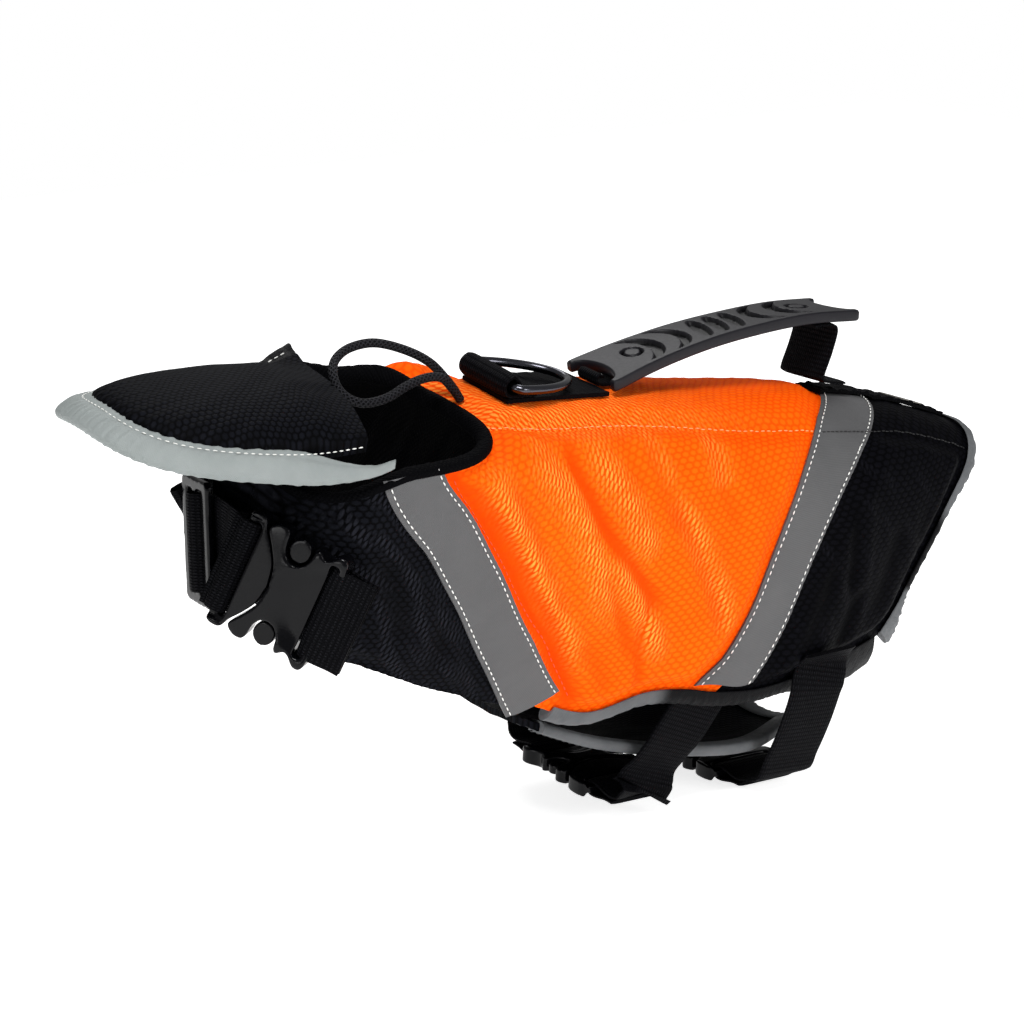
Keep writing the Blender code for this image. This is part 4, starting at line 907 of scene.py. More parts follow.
    def station_at(self, x: float, turn: float = 0.0) -> float:
        """The station whose point at a round lies at x.

        Args:
            x: the place along the body, in mm.
            turn: the round, in degrees.

        Returns:
            The station.
        """
        low, high = 0.0, 9.0
        for _ in range(40):
            middle = (low + high) / 2
            if self.point((middle, turn))[0] < x:
                low = middle
            else:
                high = middle
        return (low + high) / 2


FORM = BodyForm()
FRONT_SEAM = SeamLine(((0.0, 99), (1.15, 85), (2.15, 86), (2.85, 96.5), (3.4, 112)))
REAR_SEAM = SeamLine(((7.08, 37.5), (6.8, 54), (6.56, 72), (6.36, 91), (6.05, 103.5), (5.62, 111.3)))
HEM = SeamLine(((3.4, 112), (3.9, 114.3), (4.5, 109.5), (5.05, 109.6), (5.62, 111.3)))
REAR_HEM = SeamLine(((5.62, 111.3), (6.4, 112), (7.1, 113), (7.85, 113), (8.6, 111), (9.4, 105)))
REAR_EDGE = SeamLine(((9.0, 0), (9.0, 39), (8.93, 60), (9.05, 80), (9.25, 93), (9.4, 105)))
FRONT_EDGE = SeamLine(((3.4, 112), (2.8, 114.5), (2.45, 119), (2.1, 125.5), (1.8, 135), (1.5, 156),
                       (1.4, 179.6)))
WHOLE_HEM = SeamLine(HEM.marks + REAR_HEM.marks[1:])
SECOND_STITCH = SeamLine(((0.35, 75), (1.35, 71), (2.35, 75), (3.15, 89), (3.45, 99), (3.68, 108)))
BACK_SEAM_STATION = 7.55


def shoulder_round(station: Array | float) -> Array:
    """Round of the shoulder seam at a station."""
    return blend(29.5, 37.5, ease((np.asarray(station, float) - 3.8) / 3.2))


def rim_line(share: Array) -> Array:
    """The neck rim on the left, from the spine down to the throat."""
    return np.stack((np.zeros_like(share), 180.0 * share), -1)


def shoulder_line(share: Array) -> Array:
    """The left shoulder seam from the rim to the rear edge."""
    station = 9.0 * np.asarray(share, float)
    return np.stack((station, shoulder_round(station)), -1)


def back_seam_station(aside: Array | float) -> Array:
    """Station of the seam across the back, aside running from -1 to 1."""
    return blend(BACK_SEAM_STATION, REAR_SEAM.marks[0][0], np.abs(aside) ** 1.7)


def back_seam(share: Array) -> Array:
    """The seam across the back, from the right shoulder seam to the left one.

    Args:
        share: 0 at the right shoulder seam and 1 at the left one.

    Returns:
        Marks.
    """
    aside = 2 * np.asarray(share, float) - 1
    station = back_seam_station(aside)
    return np.stack((station, aside * shoulder_round(station)), -1)


def pad_rise(away: Array, flat: float = SEAM_FLAT) -> Array:
    """0 on the flat beside a seam, rising to 1 where the foam is full."""
    return ease((away - flat) / 11.0)


def edge_rise(away: Array) -> Array:
    """The same beside a bound edge."""
    return ease((away - EDGE_FLAT) / 8.0)


@dataclass(frozen=True)
class Crease:
    """A trough along a line seen from the side, x and z in mm, or a ridge if its depth is negative.

    steep narrows its flank on the tail side, as where cloth folds over.
    """

    line: tuple[tuple[float, float], ...]
    width: float
    depth: float
    steep: float = 1.0


def press(creases: Sequence[Crease], x: Array, z: Array) -> Array:
    """How far the creases press the cloth in at places seen from the side, in mm.

    Args:
        creases: the creases to add up.
        x: places along the body, in mm.
        z: heights, in mm.

    Returns:
        The press at each place, in mm.
    """
    total = np.zeros_like(x)
    place = np.stack((x, z), -1)
    for crease in creases:
        line = smooth_path(crease.line, 60)
        away, share = near(place, line)
        heading = unit(np.gradient(line, axis=0))
        k = np.rint(share * 60).astype(int)
        offset = place - line[k]
        behind = heading[k][..., 0] * offset[..., 1] - heading[k][..., 1] * offset[..., 0] > 0
        width = np.where(behind, crease.width * crease.steep, crease.width)
        taper = ease(np.minimum(share + 0.03, 1.03 - share) / 0.24)
        total += crease.depth * np.exp(-((away / width) ** 2)) * taper
    return total


def patch(head: Callable, tail: Callable, top: Callable, bottom: Callable, u: Array, v: Array) -> Array:
    """Coons patch of marks: u runs from head to tail, v from top to bottom.

    Args:
        head: the edge at u = 0.
        tail: the edge at u = 1.
        top: the edge at v = 0.
        bottom: the edge at v = 1.
        u: the share from head to tail.
        v: the share from top to bottom.

    Returns:
        Marks.
    """
    u, v = np.broadcast_arrays(u, v)
    c00, c10, c01, c11 = head(0.0), tail(0.0), head(1.0), tail(1.0)
    u1, v1 = u[..., None], v[..., None]
    return (blend(head(v), tail(v), u1) + blend(top(u), bottom(u), v1)
            - blend(blend(c00, c10, u1), blend(c01, c11, u1), v1))


def gathered(size: float, count: float, share: Array, distance: Array, middle: float,
             width: float) -> Array:
    """Small waves that a row of stitches draws into the cloth beside it.

    Args:
        size: their height in mm.
        count: how many there are along the line.
        share: shares along the line.
        distance: distances from the line, in mm.
        middle: the distance where they are highest, in mm.
        width: how far they reach from there, in mm.

    Returns:
        The height at each place, in mm.
    """
    return size * np.sin(2 * math.pi * share * count) * np.exp(-np.abs(distance - middle) / width)


def ridge(distance: Array, middle: float, width: float) -> Array:
    """A smooth ridge beside a line: 1 at its middle distance and 0 a few widths away."""
    return np.exp(-((distance - middle) / width) ** 2)


@dataclass
class ClothPanel:
    """One cut panel: its marks as for its solid, then woven fine and given its height and folds."""

    name: str
    marks: Callable[[Array, Array], Array]
    rows: int
    cols: int
    margins: tuple[float, float, float, float]
    wall: Callable[[Array], tuple[Array, Array, Array]]
    finish: Finish
    slot: Slot
    side: int = 1
    fine: int = 8
    inset: float = 0.0012
    lengthwise: bool = True

    def grid(self) -> Array:
        """The fine grid of marks.

        Returns:
            Marks, in rows from top to bottom.
        """
        u, v = np.meshgrid(np.linspace(self.inset, 1 - self.inset, self.cols + 1),
                           np.linspace(self.inset, 1 - self.inset, self.rows + 1))
        grid = self.marks(u, v)
        for _ in range(12):
            for r in range(1, self.rows):
                for c in range(1, self.cols):
                    grid[r, c] = (grid[r - 1, c] + grid[r + 1, c] + grid[r, c - 1] + grid[r, c + 1]) / 4
        for row in grid:
            row[1] = self.toward(row[0], row[2], self.margins[0])
            row[-2] = self.toward(row[-1], row[-3], self.margins[1])
        for c in range(self.cols + 1):
            grid[1, c] = self.toward(grid[0, c], grid[2, c], self.margins[2])
            grid[-2, c] = self.toward(grid[-1, c], grid[-3, c], self.margins[3])
        for axis in (0, 1):
            count = grid.shape[axis] - 1
            place = np.linspace(0, count, count * self.fine + 1)
            k = np.minimum(place.astype(int), count - 1)
            share = (place - k).reshape((-1, 1, 1) if axis == 0 else (1, -1, 1))
            grid = blend(np.take(grid, k, axis), np.take(grid, k + 1, axis), share)
        return grid

    @staticmethod
    def toward(mark: Array, other: Array, reach: float) -> Array:
        """The mark a reach in mm from one mark towards another."""
        length = float(np.linalg.norm(FORM.point(other) - FORM.point(mark)))
        return blend(mark, other, min(reach / length, 0.85))

    def build(self) -> Piece:
        """The finished panel, in its solid's place.

        Returns:
            The object.
        """
        grid = self.grid()
        base = FORM.point(grid)
        height, fold, crest = self.wall(base)
        outer = FORM.place(grid, height, self.side)
        inner = FORM.place(grid, INNER_FACE, self.side)
        step = np.linalg.norm(np.diff(base[..., 1:], axis=0), axis=-1)
        drop = np.concatenate((step[::-1].cumsum(0)[::-1], np.zeros((1, step.shape[1]))), 0)
        if self.lengthwise:
            uv = np.stack((base[..., 0], base[-1:, :, 2] + drop), -1)
        else:
            aside = np.linalg.norm(np.diff(base[..., 1:], axis=1), axis=-1).cumsum(1)
            aside = np.concatenate((np.zeros((aside.shape[0], 1)), aside), 1)
            uv = np.stack((base[..., 0], aside), -1)
        # The fold attribute paints shade in the troughs of folds; crest marks the cloth drawn tight
        made = grid_shell(self.name + "_cloth", outer, inner, self.finish, uv,
                          {"fold": fold, "crest": crest})
        return fit(made, self.slot, self.name)


# Padded panels


@dataclass
class OrangeSides:
    """The padded orange sides: foam held flat along the seams, and the cloth's folds over it."""

    creases: tuple[Crease, ...] = (
        Crease(((-171, 11), (-164, 2), (-152, -12), (-137, -36), (-118, -66), (-108, -92)), 5.0, 3.6, 0.8),
        Crease(((-157, 12), (-147, -7), (-136, -26), (-125, -46), (-115, -67), (-106, -84)), 6.5, -1.3),
        Crease(((-146, 6), (-137, -11), (-130, -25), (-119, -47), (-110, -66)), 4.2, 1.9, 0.9),
        Crease(((-131, 8), (-120, -2), (-109, -16), (-102, -32), (-95, -50), (-88, -70)), 7.0, -1.6, 0.9),
        Crease(((-99, 9), (-104, -1), (-100, -12), (-92, -28), (-78, -46), (-68, -60), (-58, -70)), 4.6,
               3.0, 0.6),
        Crease(((-94, 2), (-84, -13), (-76, -28), (-69, -46)), 5.5, -1.8, 0.9),
        Crease(((-97, -40), (-89, -56), (-82, -72), (-76, -90)), 4.0, 1.9, 0.8),
        Crease(((-90, -38), (-79, -56), (-70, -73), (-62, -92)), 4.0, -1.1),
        Crease(((-68, -60), (-73, -80), (-70, -110)), 3.4, 2.0, 0.7),
        Crease(((-58, 1), (-61, -11), (-57, -24), (-50, -40)), 4.5, 1.2),
        Crease(((-57, -22), (-48, -38), (-40, -56), (-31, -76), (-30, -92)), 4.5, 1.5, 0.6),
        Crease(((-49, -18), (-40, -36), (-32, -54), (-24, -74)), 4.0, -0.9),
        Crease(((-75, 4), (-73, -8), (-68, -20)), 4.0, 0.9),
        Crease(((-118, 10), (-116, 2), (-112, -6)), 3.5, 0.9),
        Crease(((-26, -4), (-26, -15), (-26, -26), (-18, -46)), 4.0, 1.2),
        Crease(((-8, -8), (-8, -20), (-5, -34)), 4.0, 0.7),
        Crease(((-104, -72), (-94, -88), (-87, -102)), 4.5, 1.2),
        Crease(((2, -20), (0, -44), (-6, -72)), 7.0, 0.8),
    )
    # Where the mesh is drawn tight and its threads stand out
    drawn: tuple[Crease, ...] = (
        Crease(((-159, 12), (-147, -7), (-136, -26), (-125, -46), (-115, -67), (-104, -90)), 6.5, 1.0),
        Crease(((-130, 10), (-120, -2), (-109, -16), (-102, -32), (-95, -50), (-87, -72)), 7.5, 1.0, 0.8),
        Crease(((-96, 3), (-84, -13), (-76, -28), (-68, -46)), 6.5, 1.0, 0.9),
        Crease(((-166, 0), (-155, -21), (-140, -50), (-123, -78), (-112, -99)), 5.5, 0.9),
        Crease(((-90, -38), (-79, -56), (-70, -73), (-62, -93)), 5.5, 1.0),
        Crease(((-57, -20), (-46, -38), (-38, -55), (-29, -74), (-28, -92)), 5.0, 0.95),
        Crease(((-27, -5), (-26, -15), (-26, -26)), 5.0, 0.8),
        Crease(((-60, 2), (-58, -8), (-54, -20)), 4.0, 0.5),
        Crease(((-120, 12), (-90, 6), (-50, 2), (0, -6)), 4.0, 0.5),
    )

    def top(self, u: Array) -> Array:
        """The panel's upper edge: along the rim, then along the shoulder seam.

        Args:
            u: the share along the edge.

        Returns:
            Marks.
        """
        u = np.asarray(u, float)
        rim = np.stack((np.zeros_like(u), blend(99.0, shoulder_round(0.0), u / 0.3)), -1)
        station = blend(0.0, REAR_SEAM.marks[0][0], (u - 0.3) / 0.7)
        along = np.stack((station, shoulder_round(station)), -1)
        return np.where((u < 0.3)[..., None], rim, along)

    def marks(self, u: Array, v: Array) -> Array:
        """The panel's marks."""
        return patch(FRONT_SEAM.at, REAR_SEAM.at, self.top, HEM.at, u, v)

    def wall(self, base: Array) -> tuple[Array, Array, Array]:
        """Outer height of the cloth, how deep in a fold it lies, and how tightly it is drawn.

        Args:
            base: points of the form under the cloth, in mm.

        Returns:
            The outer height in mm, the depth in a fold and the tightness, both 0 to 1.
        """
        x, z = base[..., 0], base[..., 2]
        front, front_share = near(base, FORM.trace(FRONT_SEAM.at))
        rear, rear_share = near(base, FORM.trace(REAR_SEAM.at))
        rim, _ = near(base, FORM.trace(rim_line))
        shoulder, shoulder_share = near(base, FORM.trace(shoulder_line, 400))
        hem, hem_share = near(base, FORM.trace(HEM.at))
        second, second_share = near(base, FORM.trace(SECOND_STITCH.at))
        rise = pad_rise(front) * pad_rise(rear) * edge_rise(rim) * edge_rise(hem)
        rise *= 0.25 + 0.75 * ease(shoulder / 9)
        folded = press(self.creases, x, z)
        fine = 0.28 * ripple(x, z, 9.0, -58, 0.4) * ease((20 - x) / 90)
        fine = fine + 0.12 * ripple(x, z, 14.0, -80, 2.0)
        height = SEAM_WALL + rise * (PAD_WALL - SEAM_WALL + 2.2 - folded + fine)
        pucker = gathered(0.32, 52, shoulder_share, shoulder, 0.0, 5.0)
        pucker += gathered(0.3, 17, hem_share, hem, 0.0, 6.0)
        pucker += gathered(0.3, 22, second_share, second, 2.5, 3.0)
        pucker += gathered(0.2, 26, front_share, front, 15, 3.0)
        pucker += gathered(0.15, 25, rear_share, rear, 15, 3.0)
        groove = 1.1 * ridge(second, 0.0, 1.8) + 0.5 * ridge(shoulder, 0.0, 1.2)
        height = np.maximum(height + pucker - groove, INNER_FACE + 0.4)
        # The fold value sets painted shade: in the fold troughs, beside the second stitch row, and where
        # the foam rises beside the front and rear seams
        fold = np.clip(folded / 3.0, -1, 1) * rise + 0.4 * ridge(second, 1, 3.0)
        fold += 0.6 * ridge(front, 15.5, 5.0) + 0.35 * ridge(rear, 13.0, 3.0)
        drawn = np.clip(press(self.drawn, x, z), 0, 1)
        return height, np.clip(fold, -1, 1), drawn

    def build(self) -> None:
        """Both sides."""
        for side, word in ((1, "left"), (-1, "right")):
            made = ClothPanel("side_panel_orange_" + word, self.marks, 15, 20,
                              (SEAM_FLAT, SEAM_FLAT, EDGE_FLAT, EDGE_FLAT), self.wall, ORANGE_MESH,
                              Slot.ORANGE, side).build()


@dataclass
class Back:
    """The back between the shoulder seams: orange to the cross tape, black behind it."""

    def height(self, base: Array, full: float) -> tuple[Array, Array, Array]:
        """Outer height of the back's padding, how deep in a fold it lies, and how tightly it is drawn.

        Args:
            base: points of the form under the cloth, in mm.
            full: the padding's height in mm.

        Returns:
            The outer height in mm, the depth in a fold and the tightness, both 0 to 1.
        """
        here = base * (1, 0, 1) + np.stack((0 * base[..., 0], -np.abs(base[..., 1]), 0 * base[..., 0]), -1)
        seam, _ = near(here, FORM.trace(back_seam))
        rim, _ = near(here, FORM.trace(rim_line))
        shoulder, share = near(here, FORM.trace(shoulder_line, 400))
        edge, _ = near(here, FORM.trace(REAR_EDGE.at))
        rise = pad_rise(seam) * edge_rise(rim) * edge_rise(edge) * (0.25 + 0.75 * ease(shoulder / 10))
        x, y = base[..., 0], base[..., 1]
        wave = 0.25 * ripple(x, y, 17.0, 80, 1.0) + 0.15 * ripple(x, y, 9.0, 30, 3.0)
        pucker = gathered(0.32, 52, share, shoulder, 0.0, 5.0)
        groove = 0.5 * ridge(shoulder, 0.0, 1.2)
        height = SEAM_WALL + rise * (full - SEAM_WALL + wave) + pucker - groove
        # The fold value sets painted shade beside the cross seam and in the dips of the wave
        fold = 0.35 * ridge(seam, 13, 3.0) - 0.3 * wave * rise
        drawn = 0.75 * ease((30 - x) / 130) * ease((28 - np.abs(shoulder - 10)) / 16)
        return np.maximum(height, INNER_FACE + 0.4), np.clip(fold, -1, 1), drawn

    def panel(self, name: str, finish: Finish, slot: Slot, low: Callable, high: Callable, full: float,
              rows: int, ends: tuple[float, float]) -> Piece:
        """One of the back's panels between two lines across it.

        Args:
            name: the piece's name.
            finish: what it is made of.
            slot: its slot.
            low: its front line: the station at each place across.
            high: its rear line, in the same way.
            full: the padding's height in mm.
            rows: how many rows its solid's grid has.
            ends: the flat margins at its front and rear, in mm.

        Returns:
            The object.
        """
        def marks(u: Array, v: Array) -> Array:
            """Marks between the two lines across the back."""
            aside = 2 * u - 1
            station = blend(low(aside), high(aside), v)
            return np.stack((station, aside * shoulder_round(station)), -1)

        made = ClothPanel(name, marks, rows, 12, (4.0, 4.0, *ends), lambda base: self.height(base, full),
                          finish, slot, inset=0.0008, lengthwise=False).build()
        return made

    def build(self) -> None:
        """Both panels."""
        self.panel("back_panel_orange", ORANGE_MESH, Slot.ORANGE, lambda a: 0 * a, back_seam_station,
                   BACK_WALL, 16, (EDGE_FLAT, SEAM_FLAT))
        self.panel("back_panel_black", BLACK_MESH, Slot.BLACK, back_seam_station, lambda a: 9.0 + 0 * a,
                   REAR_BACK_WALL, 7, (SEAM_FLAT, EDGE_FLAT))


@dataclass
class RearSides:
    """The black rear sides behind the tape, with the soft upright folds over the hips."""

    creases: tuple[Crease, ...] = (
        Crease(((55, -36), (53, -62), (50, -92)), 4.0, 1.8, 0.7),
        Crease(((62, -38), (61, -64), (58, -92)), 4.0, -0.8),
        Crease(((40, -42), (39, -69), (34, -96)), 4.0, 1.2),
        Crease(((36, -70), (28, -92), (22, -112)), 6.0, 1.4),
        Crease(((60, -84), (51, -101), (44, -116)), 5.0, 1.8, 0.8),
        Crease(((84, -60), (76, -82), (66, -104)), 6.0, 1.4),
        Crease(((104, -52), (98, -78), (88, -104)), 6.0, 0.9),
    )

    def marks(self, u: Array, v: Array) -> Array:
        """The panel's marks.

        Args:
            u: the share from the rear seam to the rear edge.
            v: the share from top to bottom.

        Returns:
            Marks.
        """
        def top(share: Array) -> Array:
            """The panel's upper edge."""
            station = blend(REAR_SEAM.marks[0][0], 9.0, np.asarray(share, float))
            return np.stack((station, shoulder_round(station)), -1)

        return patch(REAR_SEAM.at, lambda w: REAR_EDGE.at(blend(0.2, 1.0, np.asarray(w))), top,
                     REAR_HEM.at, u, v)

    def wall(self, base: Array) -> tuple[Array, Array, Array]:
        """Outer height of the cloth, how deep in a fold it lies, and how tightly it is drawn.

        Args:
            base: points of the form under the cloth, in mm.

        Returns:
            The outer height in mm, the depth in a fold and the tightness, both 0 to 1.
        """
        x, z = base[..., 0], base[..., 2]
        seam, _ = near(base, FORM.trace(REAR_SEAM.at))
        shoulder, _ = near(base, FORM.trace(shoulder_line, 400))
        edge, edge_share = near(base, FORM.trace(REAR_EDGE.at))
        hem, _ = near(base, FORM.trace(REAR_HEM.at))
        rise = pad_rise(seam) * ease(shoulder / 9) * edge_rise(edge) * edge_rise(hem)
        folded = press(self.creases, x, z)
        wave = 0.25 * ripple(x, z, 12.0, -72, 0.7)
        height = SEAM_WALL + rise * (PAD_WALL - SEAM_WALL + 0.8 - folded + wave)
        height += gathered(0.3, 20, edge_share, edge, 4, 4.0)
        drawn = 0.5 * ease(ripple(x, z, 16.0, -65, 4.0) - 0.2)
        # The second value sets painted shade in the fold troughs
        return np.maximum(height, INNER_FACE + 0.4), np.clip(folded / 2.5, -1, 1) * rise, drawn

    def build(self) -> None:
        """Both sides."""
        for side, word in ((1, "left"), (-1, "right")):
            made = ClothPanel("rear_panel_black_" + word, self.marks, 11, 9,
                              (SEAM_FLAT, EDGE_FLAT, EDGE_FLAT, EDGE_FLAT), self.wall, BLACK_MESH,
                              Slot.BLACK, side).build()


@dataclass
class Front:
    """The black front: two panels round the chest that meet at its middle."""

    creases: tuple[Crease, ...] = (
        Crease(((-168, -36), (-172, -56), (-176, -78)), 5.0, 1.2),
        Crease(((-202, -18), (-196, -40), (-188, -60)), 6.0, 1.2),
        Crease(((-152, -40), (-150, -62), (-140, -84)), 5.0, 0.9),
    )

    def marks(self, u: Array, v: Array) -> Array:
        """The panel's marks.

        Args:
            u: the share from the front seam to the middle of the chest.
            v: the share from top to bottom.

        Returns:
            Marks.
        """
        last = FRONT_EDGE.marks[-1]

        def centre(share: Array) -> Array:
            """The edge at the middle of the chest."""
            share = np.asarray(share, float)
            return np.stack((last[0] * share, 0 * share + last[1]), -1)

        def rim(share: Array) -> Array:
            """The edge at the neck rim."""
            share = np.asarray(share, float)
            return np.stack((0 * share, blend(99.0, last[1], share)), -1)

        return patch(FRONT_SEAM.at, centre, rim, FRONT_EDGE.at, u, v)

    def wall(self, base: Array) -> tuple[Array, Array, Array]:
        """Outer height of the cloth, how deep in a fold it lies, and how tightly it is drawn.

        Args:
            base: points of the form under the cloth, in mm.

        Returns:
            The outer height in mm, the depth in a fold and the tightness, both 0 to 1.
        """
        x, z = base[..., 0], base[..., 2]
        seam, _ = near(base, FORM.trace(FRONT_SEAM.at))
        rim, _ = near(base, FORM.trace(rim_line))
        edge, share = near(base, FORM.trace(FRONT_EDGE.at))
        middle = np.abs(base[..., 1])
        rise = pad_rise(seam) * edge_rise(rim) * ease((edge - 1) / 9) * ease(middle / 6)
        folded = press(self.creases, x, z)
        wave = 0.3 * ripple(x, z, 12.0, -60, 1.7)
        height = SEAM_WALL + rise * (FRONT_WALL - SEAM_WALL - folded + wave)
        height += gathered(0.25, 30, share, edge, 0.0, 4.0)
        drawn = ease(0.4 + ripple(x, z, 14.0, -60, 5.0))
        # The second value sets painted shade in the fold troughs
        return np.maximum(height, INNER_FACE + 0.4), np.clip(folded / 2.5, -1, 1) * rise, drawn

    def build(self) -> None:
        """Both sides, each a sheet laid on its foam."""
        for side, word in ((1, "left"), (-1, "right")):
            made = ClothPanel("front_panel_black_" + word, self.marks, 8, 11,
                              (SEAM_FLAT, 3.0, EDGE_FLAT, 3.0), self.wall, FINE_BLACK_MESH, Slot.BLACK,
                              side).build()


@dataclass
class Lining:
    """The black inner cloth, one sheet from edge to edge, a little slack between its seams."""

    rows: int = 18
    half: int = 12
    fine: int = 6
    inset: float = 0.008
    corner_share: float = 0.4

    @staticmethod
    def lower_edge(share: Array) -> Array:
        """The garment's whole lower edge from the front of the chest to the rear.

        Args:
            share: 0 at the front of the chest and 1 at the rear.

        Returns:
            Marks.
        """
        share = np.asarray(share, float)
        marks = SeamLine(tuple(reversed(FRONT_EDGE.marks)) + HEM.marks[1:] + REAR_HEM.marks[1:])
        start = np.stack((blend(0.0, marks.marks[0][0], share / 0.12), 0 * share + marks.marks[0][1]), -1)
        return np.where((share < 0.12)[..., None], start, marks.at((share - 0.12) / 0.88))

    def build(self) -> None:
        """The finished lining."""
        v = np.linspace(0, 1, self.rows * self.fine + 1)[:, None]
        aside = np.linspace(-1, 1, 2 * self.half * self.fine + 1)[None]
        reach = np.abs(aside)
        reach = reach + self.corner_share * np.sin(4 * math.pi * reach) / (4 * math.pi) * (1 - v) ** 3
        reach = reach * (1 - self.inset)
        v = blend(self.inset, 1 - self.inset, v) + 0 * reach
        grid = patch(lambda w: np.stack((0 * np.asarray(w, float), 180.0 * np.asarray(w, float)), -1),
                     REAR_EDGE.at,
                     lambda w: np.stack((9.0 * np.asarray(w, float), 0 * np.asarray(w, float)), -1),
                     self.lower_edge, v, reach)
        grid[..., 1] = np.minimum(grid[..., 1], 179.6) * np.where(aside < 0, -1, 1)
        base = FORM.point(grid)
        across = np.linspace(0, 1, grid.shape[1])[None]
        fade = ease(np.minimum(v, 1 - v) / 0.06) * ease(np.minimum(across, 1 - across) / 0.05)
        slack = 0.9 * ripple(base[..., 0], base[..., 2] + base[..., 1], 15.0, 70, 2.2) * fade
        outer = FORM.place(grid, LINING + np.minimum(slack, 0.9))
        inner = FORM.place(grid, np.minimum(slack, 0.9))
        aside = np.linalg.norm(np.diff(base[..., 1:], axis=1), axis=-1).cumsum(1)
        aside = np.concatenate((np.zeros((aside.shape[0], 1)), aside), 1)
        made = grid_shell("lining_cloth", outer, inner, LINING_CLOTH, np.stack((base[..., 0], aside), -1))
        fit(made, Slot.LINING, "lining")


# Tapes, bindings and stitches


@dataclass(frozen=True)
class Trim:
    """Where a tape starts and ends along its seam, and how much its ends slant from edge to edge."""

    start: float
    end: float
    start_slant: float = 0.0
    end_slant: float = 0.0

    def share(self, along: Array, across: Array) -> Array:
        """The seam's share at a place along the tape (0 to 1) and across it (-1 to 1)."""
        return blend(self.start + self.start_slant * across, self.end + self.end_slant * across, along)


@dataclass
class Tapes:
    """The reflective tapes over the seams, each with a row of white stitches inside both edges."""

    half_width: float = 12.5
    stitch_inset: float = 2.0
    rows: int = 150
    cols: int = 14

    def table(self) -> tuple:
        """Each tape's name, line, side and trim.

        Returns:
            One row for each tape.
        """
        front, rear = Trim(0.0, 0.99, 0.02, 0.025), Trim(-0.012, 0.91, 0.0, -0.11)
        return (("front_tape_left", FRONT_SEAM.at, 1, front),
                ("front_tape_right", FRONT_SEAM.at, -1, front), ("rear_tape_left", REAR_SEAM.at, 1, rear),
                ("rear_tape_right", REAR_SEAM.at, -1, rear),
                ("rear_tape_back", back_seam, 1, Trim(-0.008, 1.008)))

    def marks(self, line: Callable, trim: Trim, along: Array, across: Array) -> Array:
        """Marks of a tape at places along it and across it.

        Args:
            line: the tape's middle line.
            trim: where the tape starts and stops on it.
            along: shares along the tape.
            across: places across it, -1 to 1.

        Returns:
            Marks.
        """
        along, across = np.broadcast_arrays(along, across)
        mark, _, aside = FORM.frame_on(line, trim.share(along, across))
        return FORM.shifted(mark, aside, self.half_width * across)

    def build(self) -> None:
        """All tapes."""
        along = np.linspace(0, 1, self.rows + 1)[:, None]
        across = np.linspace(-1, 1, self.cols + 1)[None]
        for name, line, side, trim in self.table():
            mark = self.marks(line, trim, along, across)
            base = FORM.point(mark)
            seed = 1.0 + len(name) * 0.37
            wave = 0.3 * ripple(base[..., 0], base[..., 2], 26.0, 20, seed) * (0.3 + 0.7 * np.abs(across))
            edge = np.exp(-(1 - np.abs(across)) * 12)
            dent = 0.28 * np.exp(-(((np.abs(across) - 0.84) / 0.07) ** 2))
            pucker = 0.16 * np.sin(2 * math.pi * along * 34
                                   + across) * np.exp(-(((np.abs(across) - 0.9) / 0.16) ** 2))
            under = 0.35 if name == "rear_tape_back" else 0.0
            high = TAPE_HIGH + 0.15 + np.abs(wave) - 0.35 * edge - dent + pucker - under
            outer = FORM.place(mark, high, side)
            inner = FORM.place(mark, TAPE_LOW, side)
            run = np.linalg.norm(np.diff(base, axis=0), axis=-1).cumsum(0)
            run = np.concatenate((np.zeros((1, run.shape[1])), run), 0)
            made = grid_shell(name + "_band", outer, inner, REFLECTIVE,
                              np.stack((run, self.half_width * across + 0 * run), -1))
            fit(made, Slot.TAPE, name)

    def stitch_lines(self) -> list[Array]:
        """The stitch rows, as points in mm.

        Returns:
            One array of points for each row.
        """
        lines = []
        for _, line, side, trim in self.table():
            for sign in (-1, 1):
                across = np.full(161, sign * (1 - self.stitch_inset / self.half_width))
                mark = self.marks(line, trim, np.linspace(0.01, 0.99, 161), across)
                lines.append(FORM.place(mark, TAPE_HIGH + 0.12, side))
        return lines


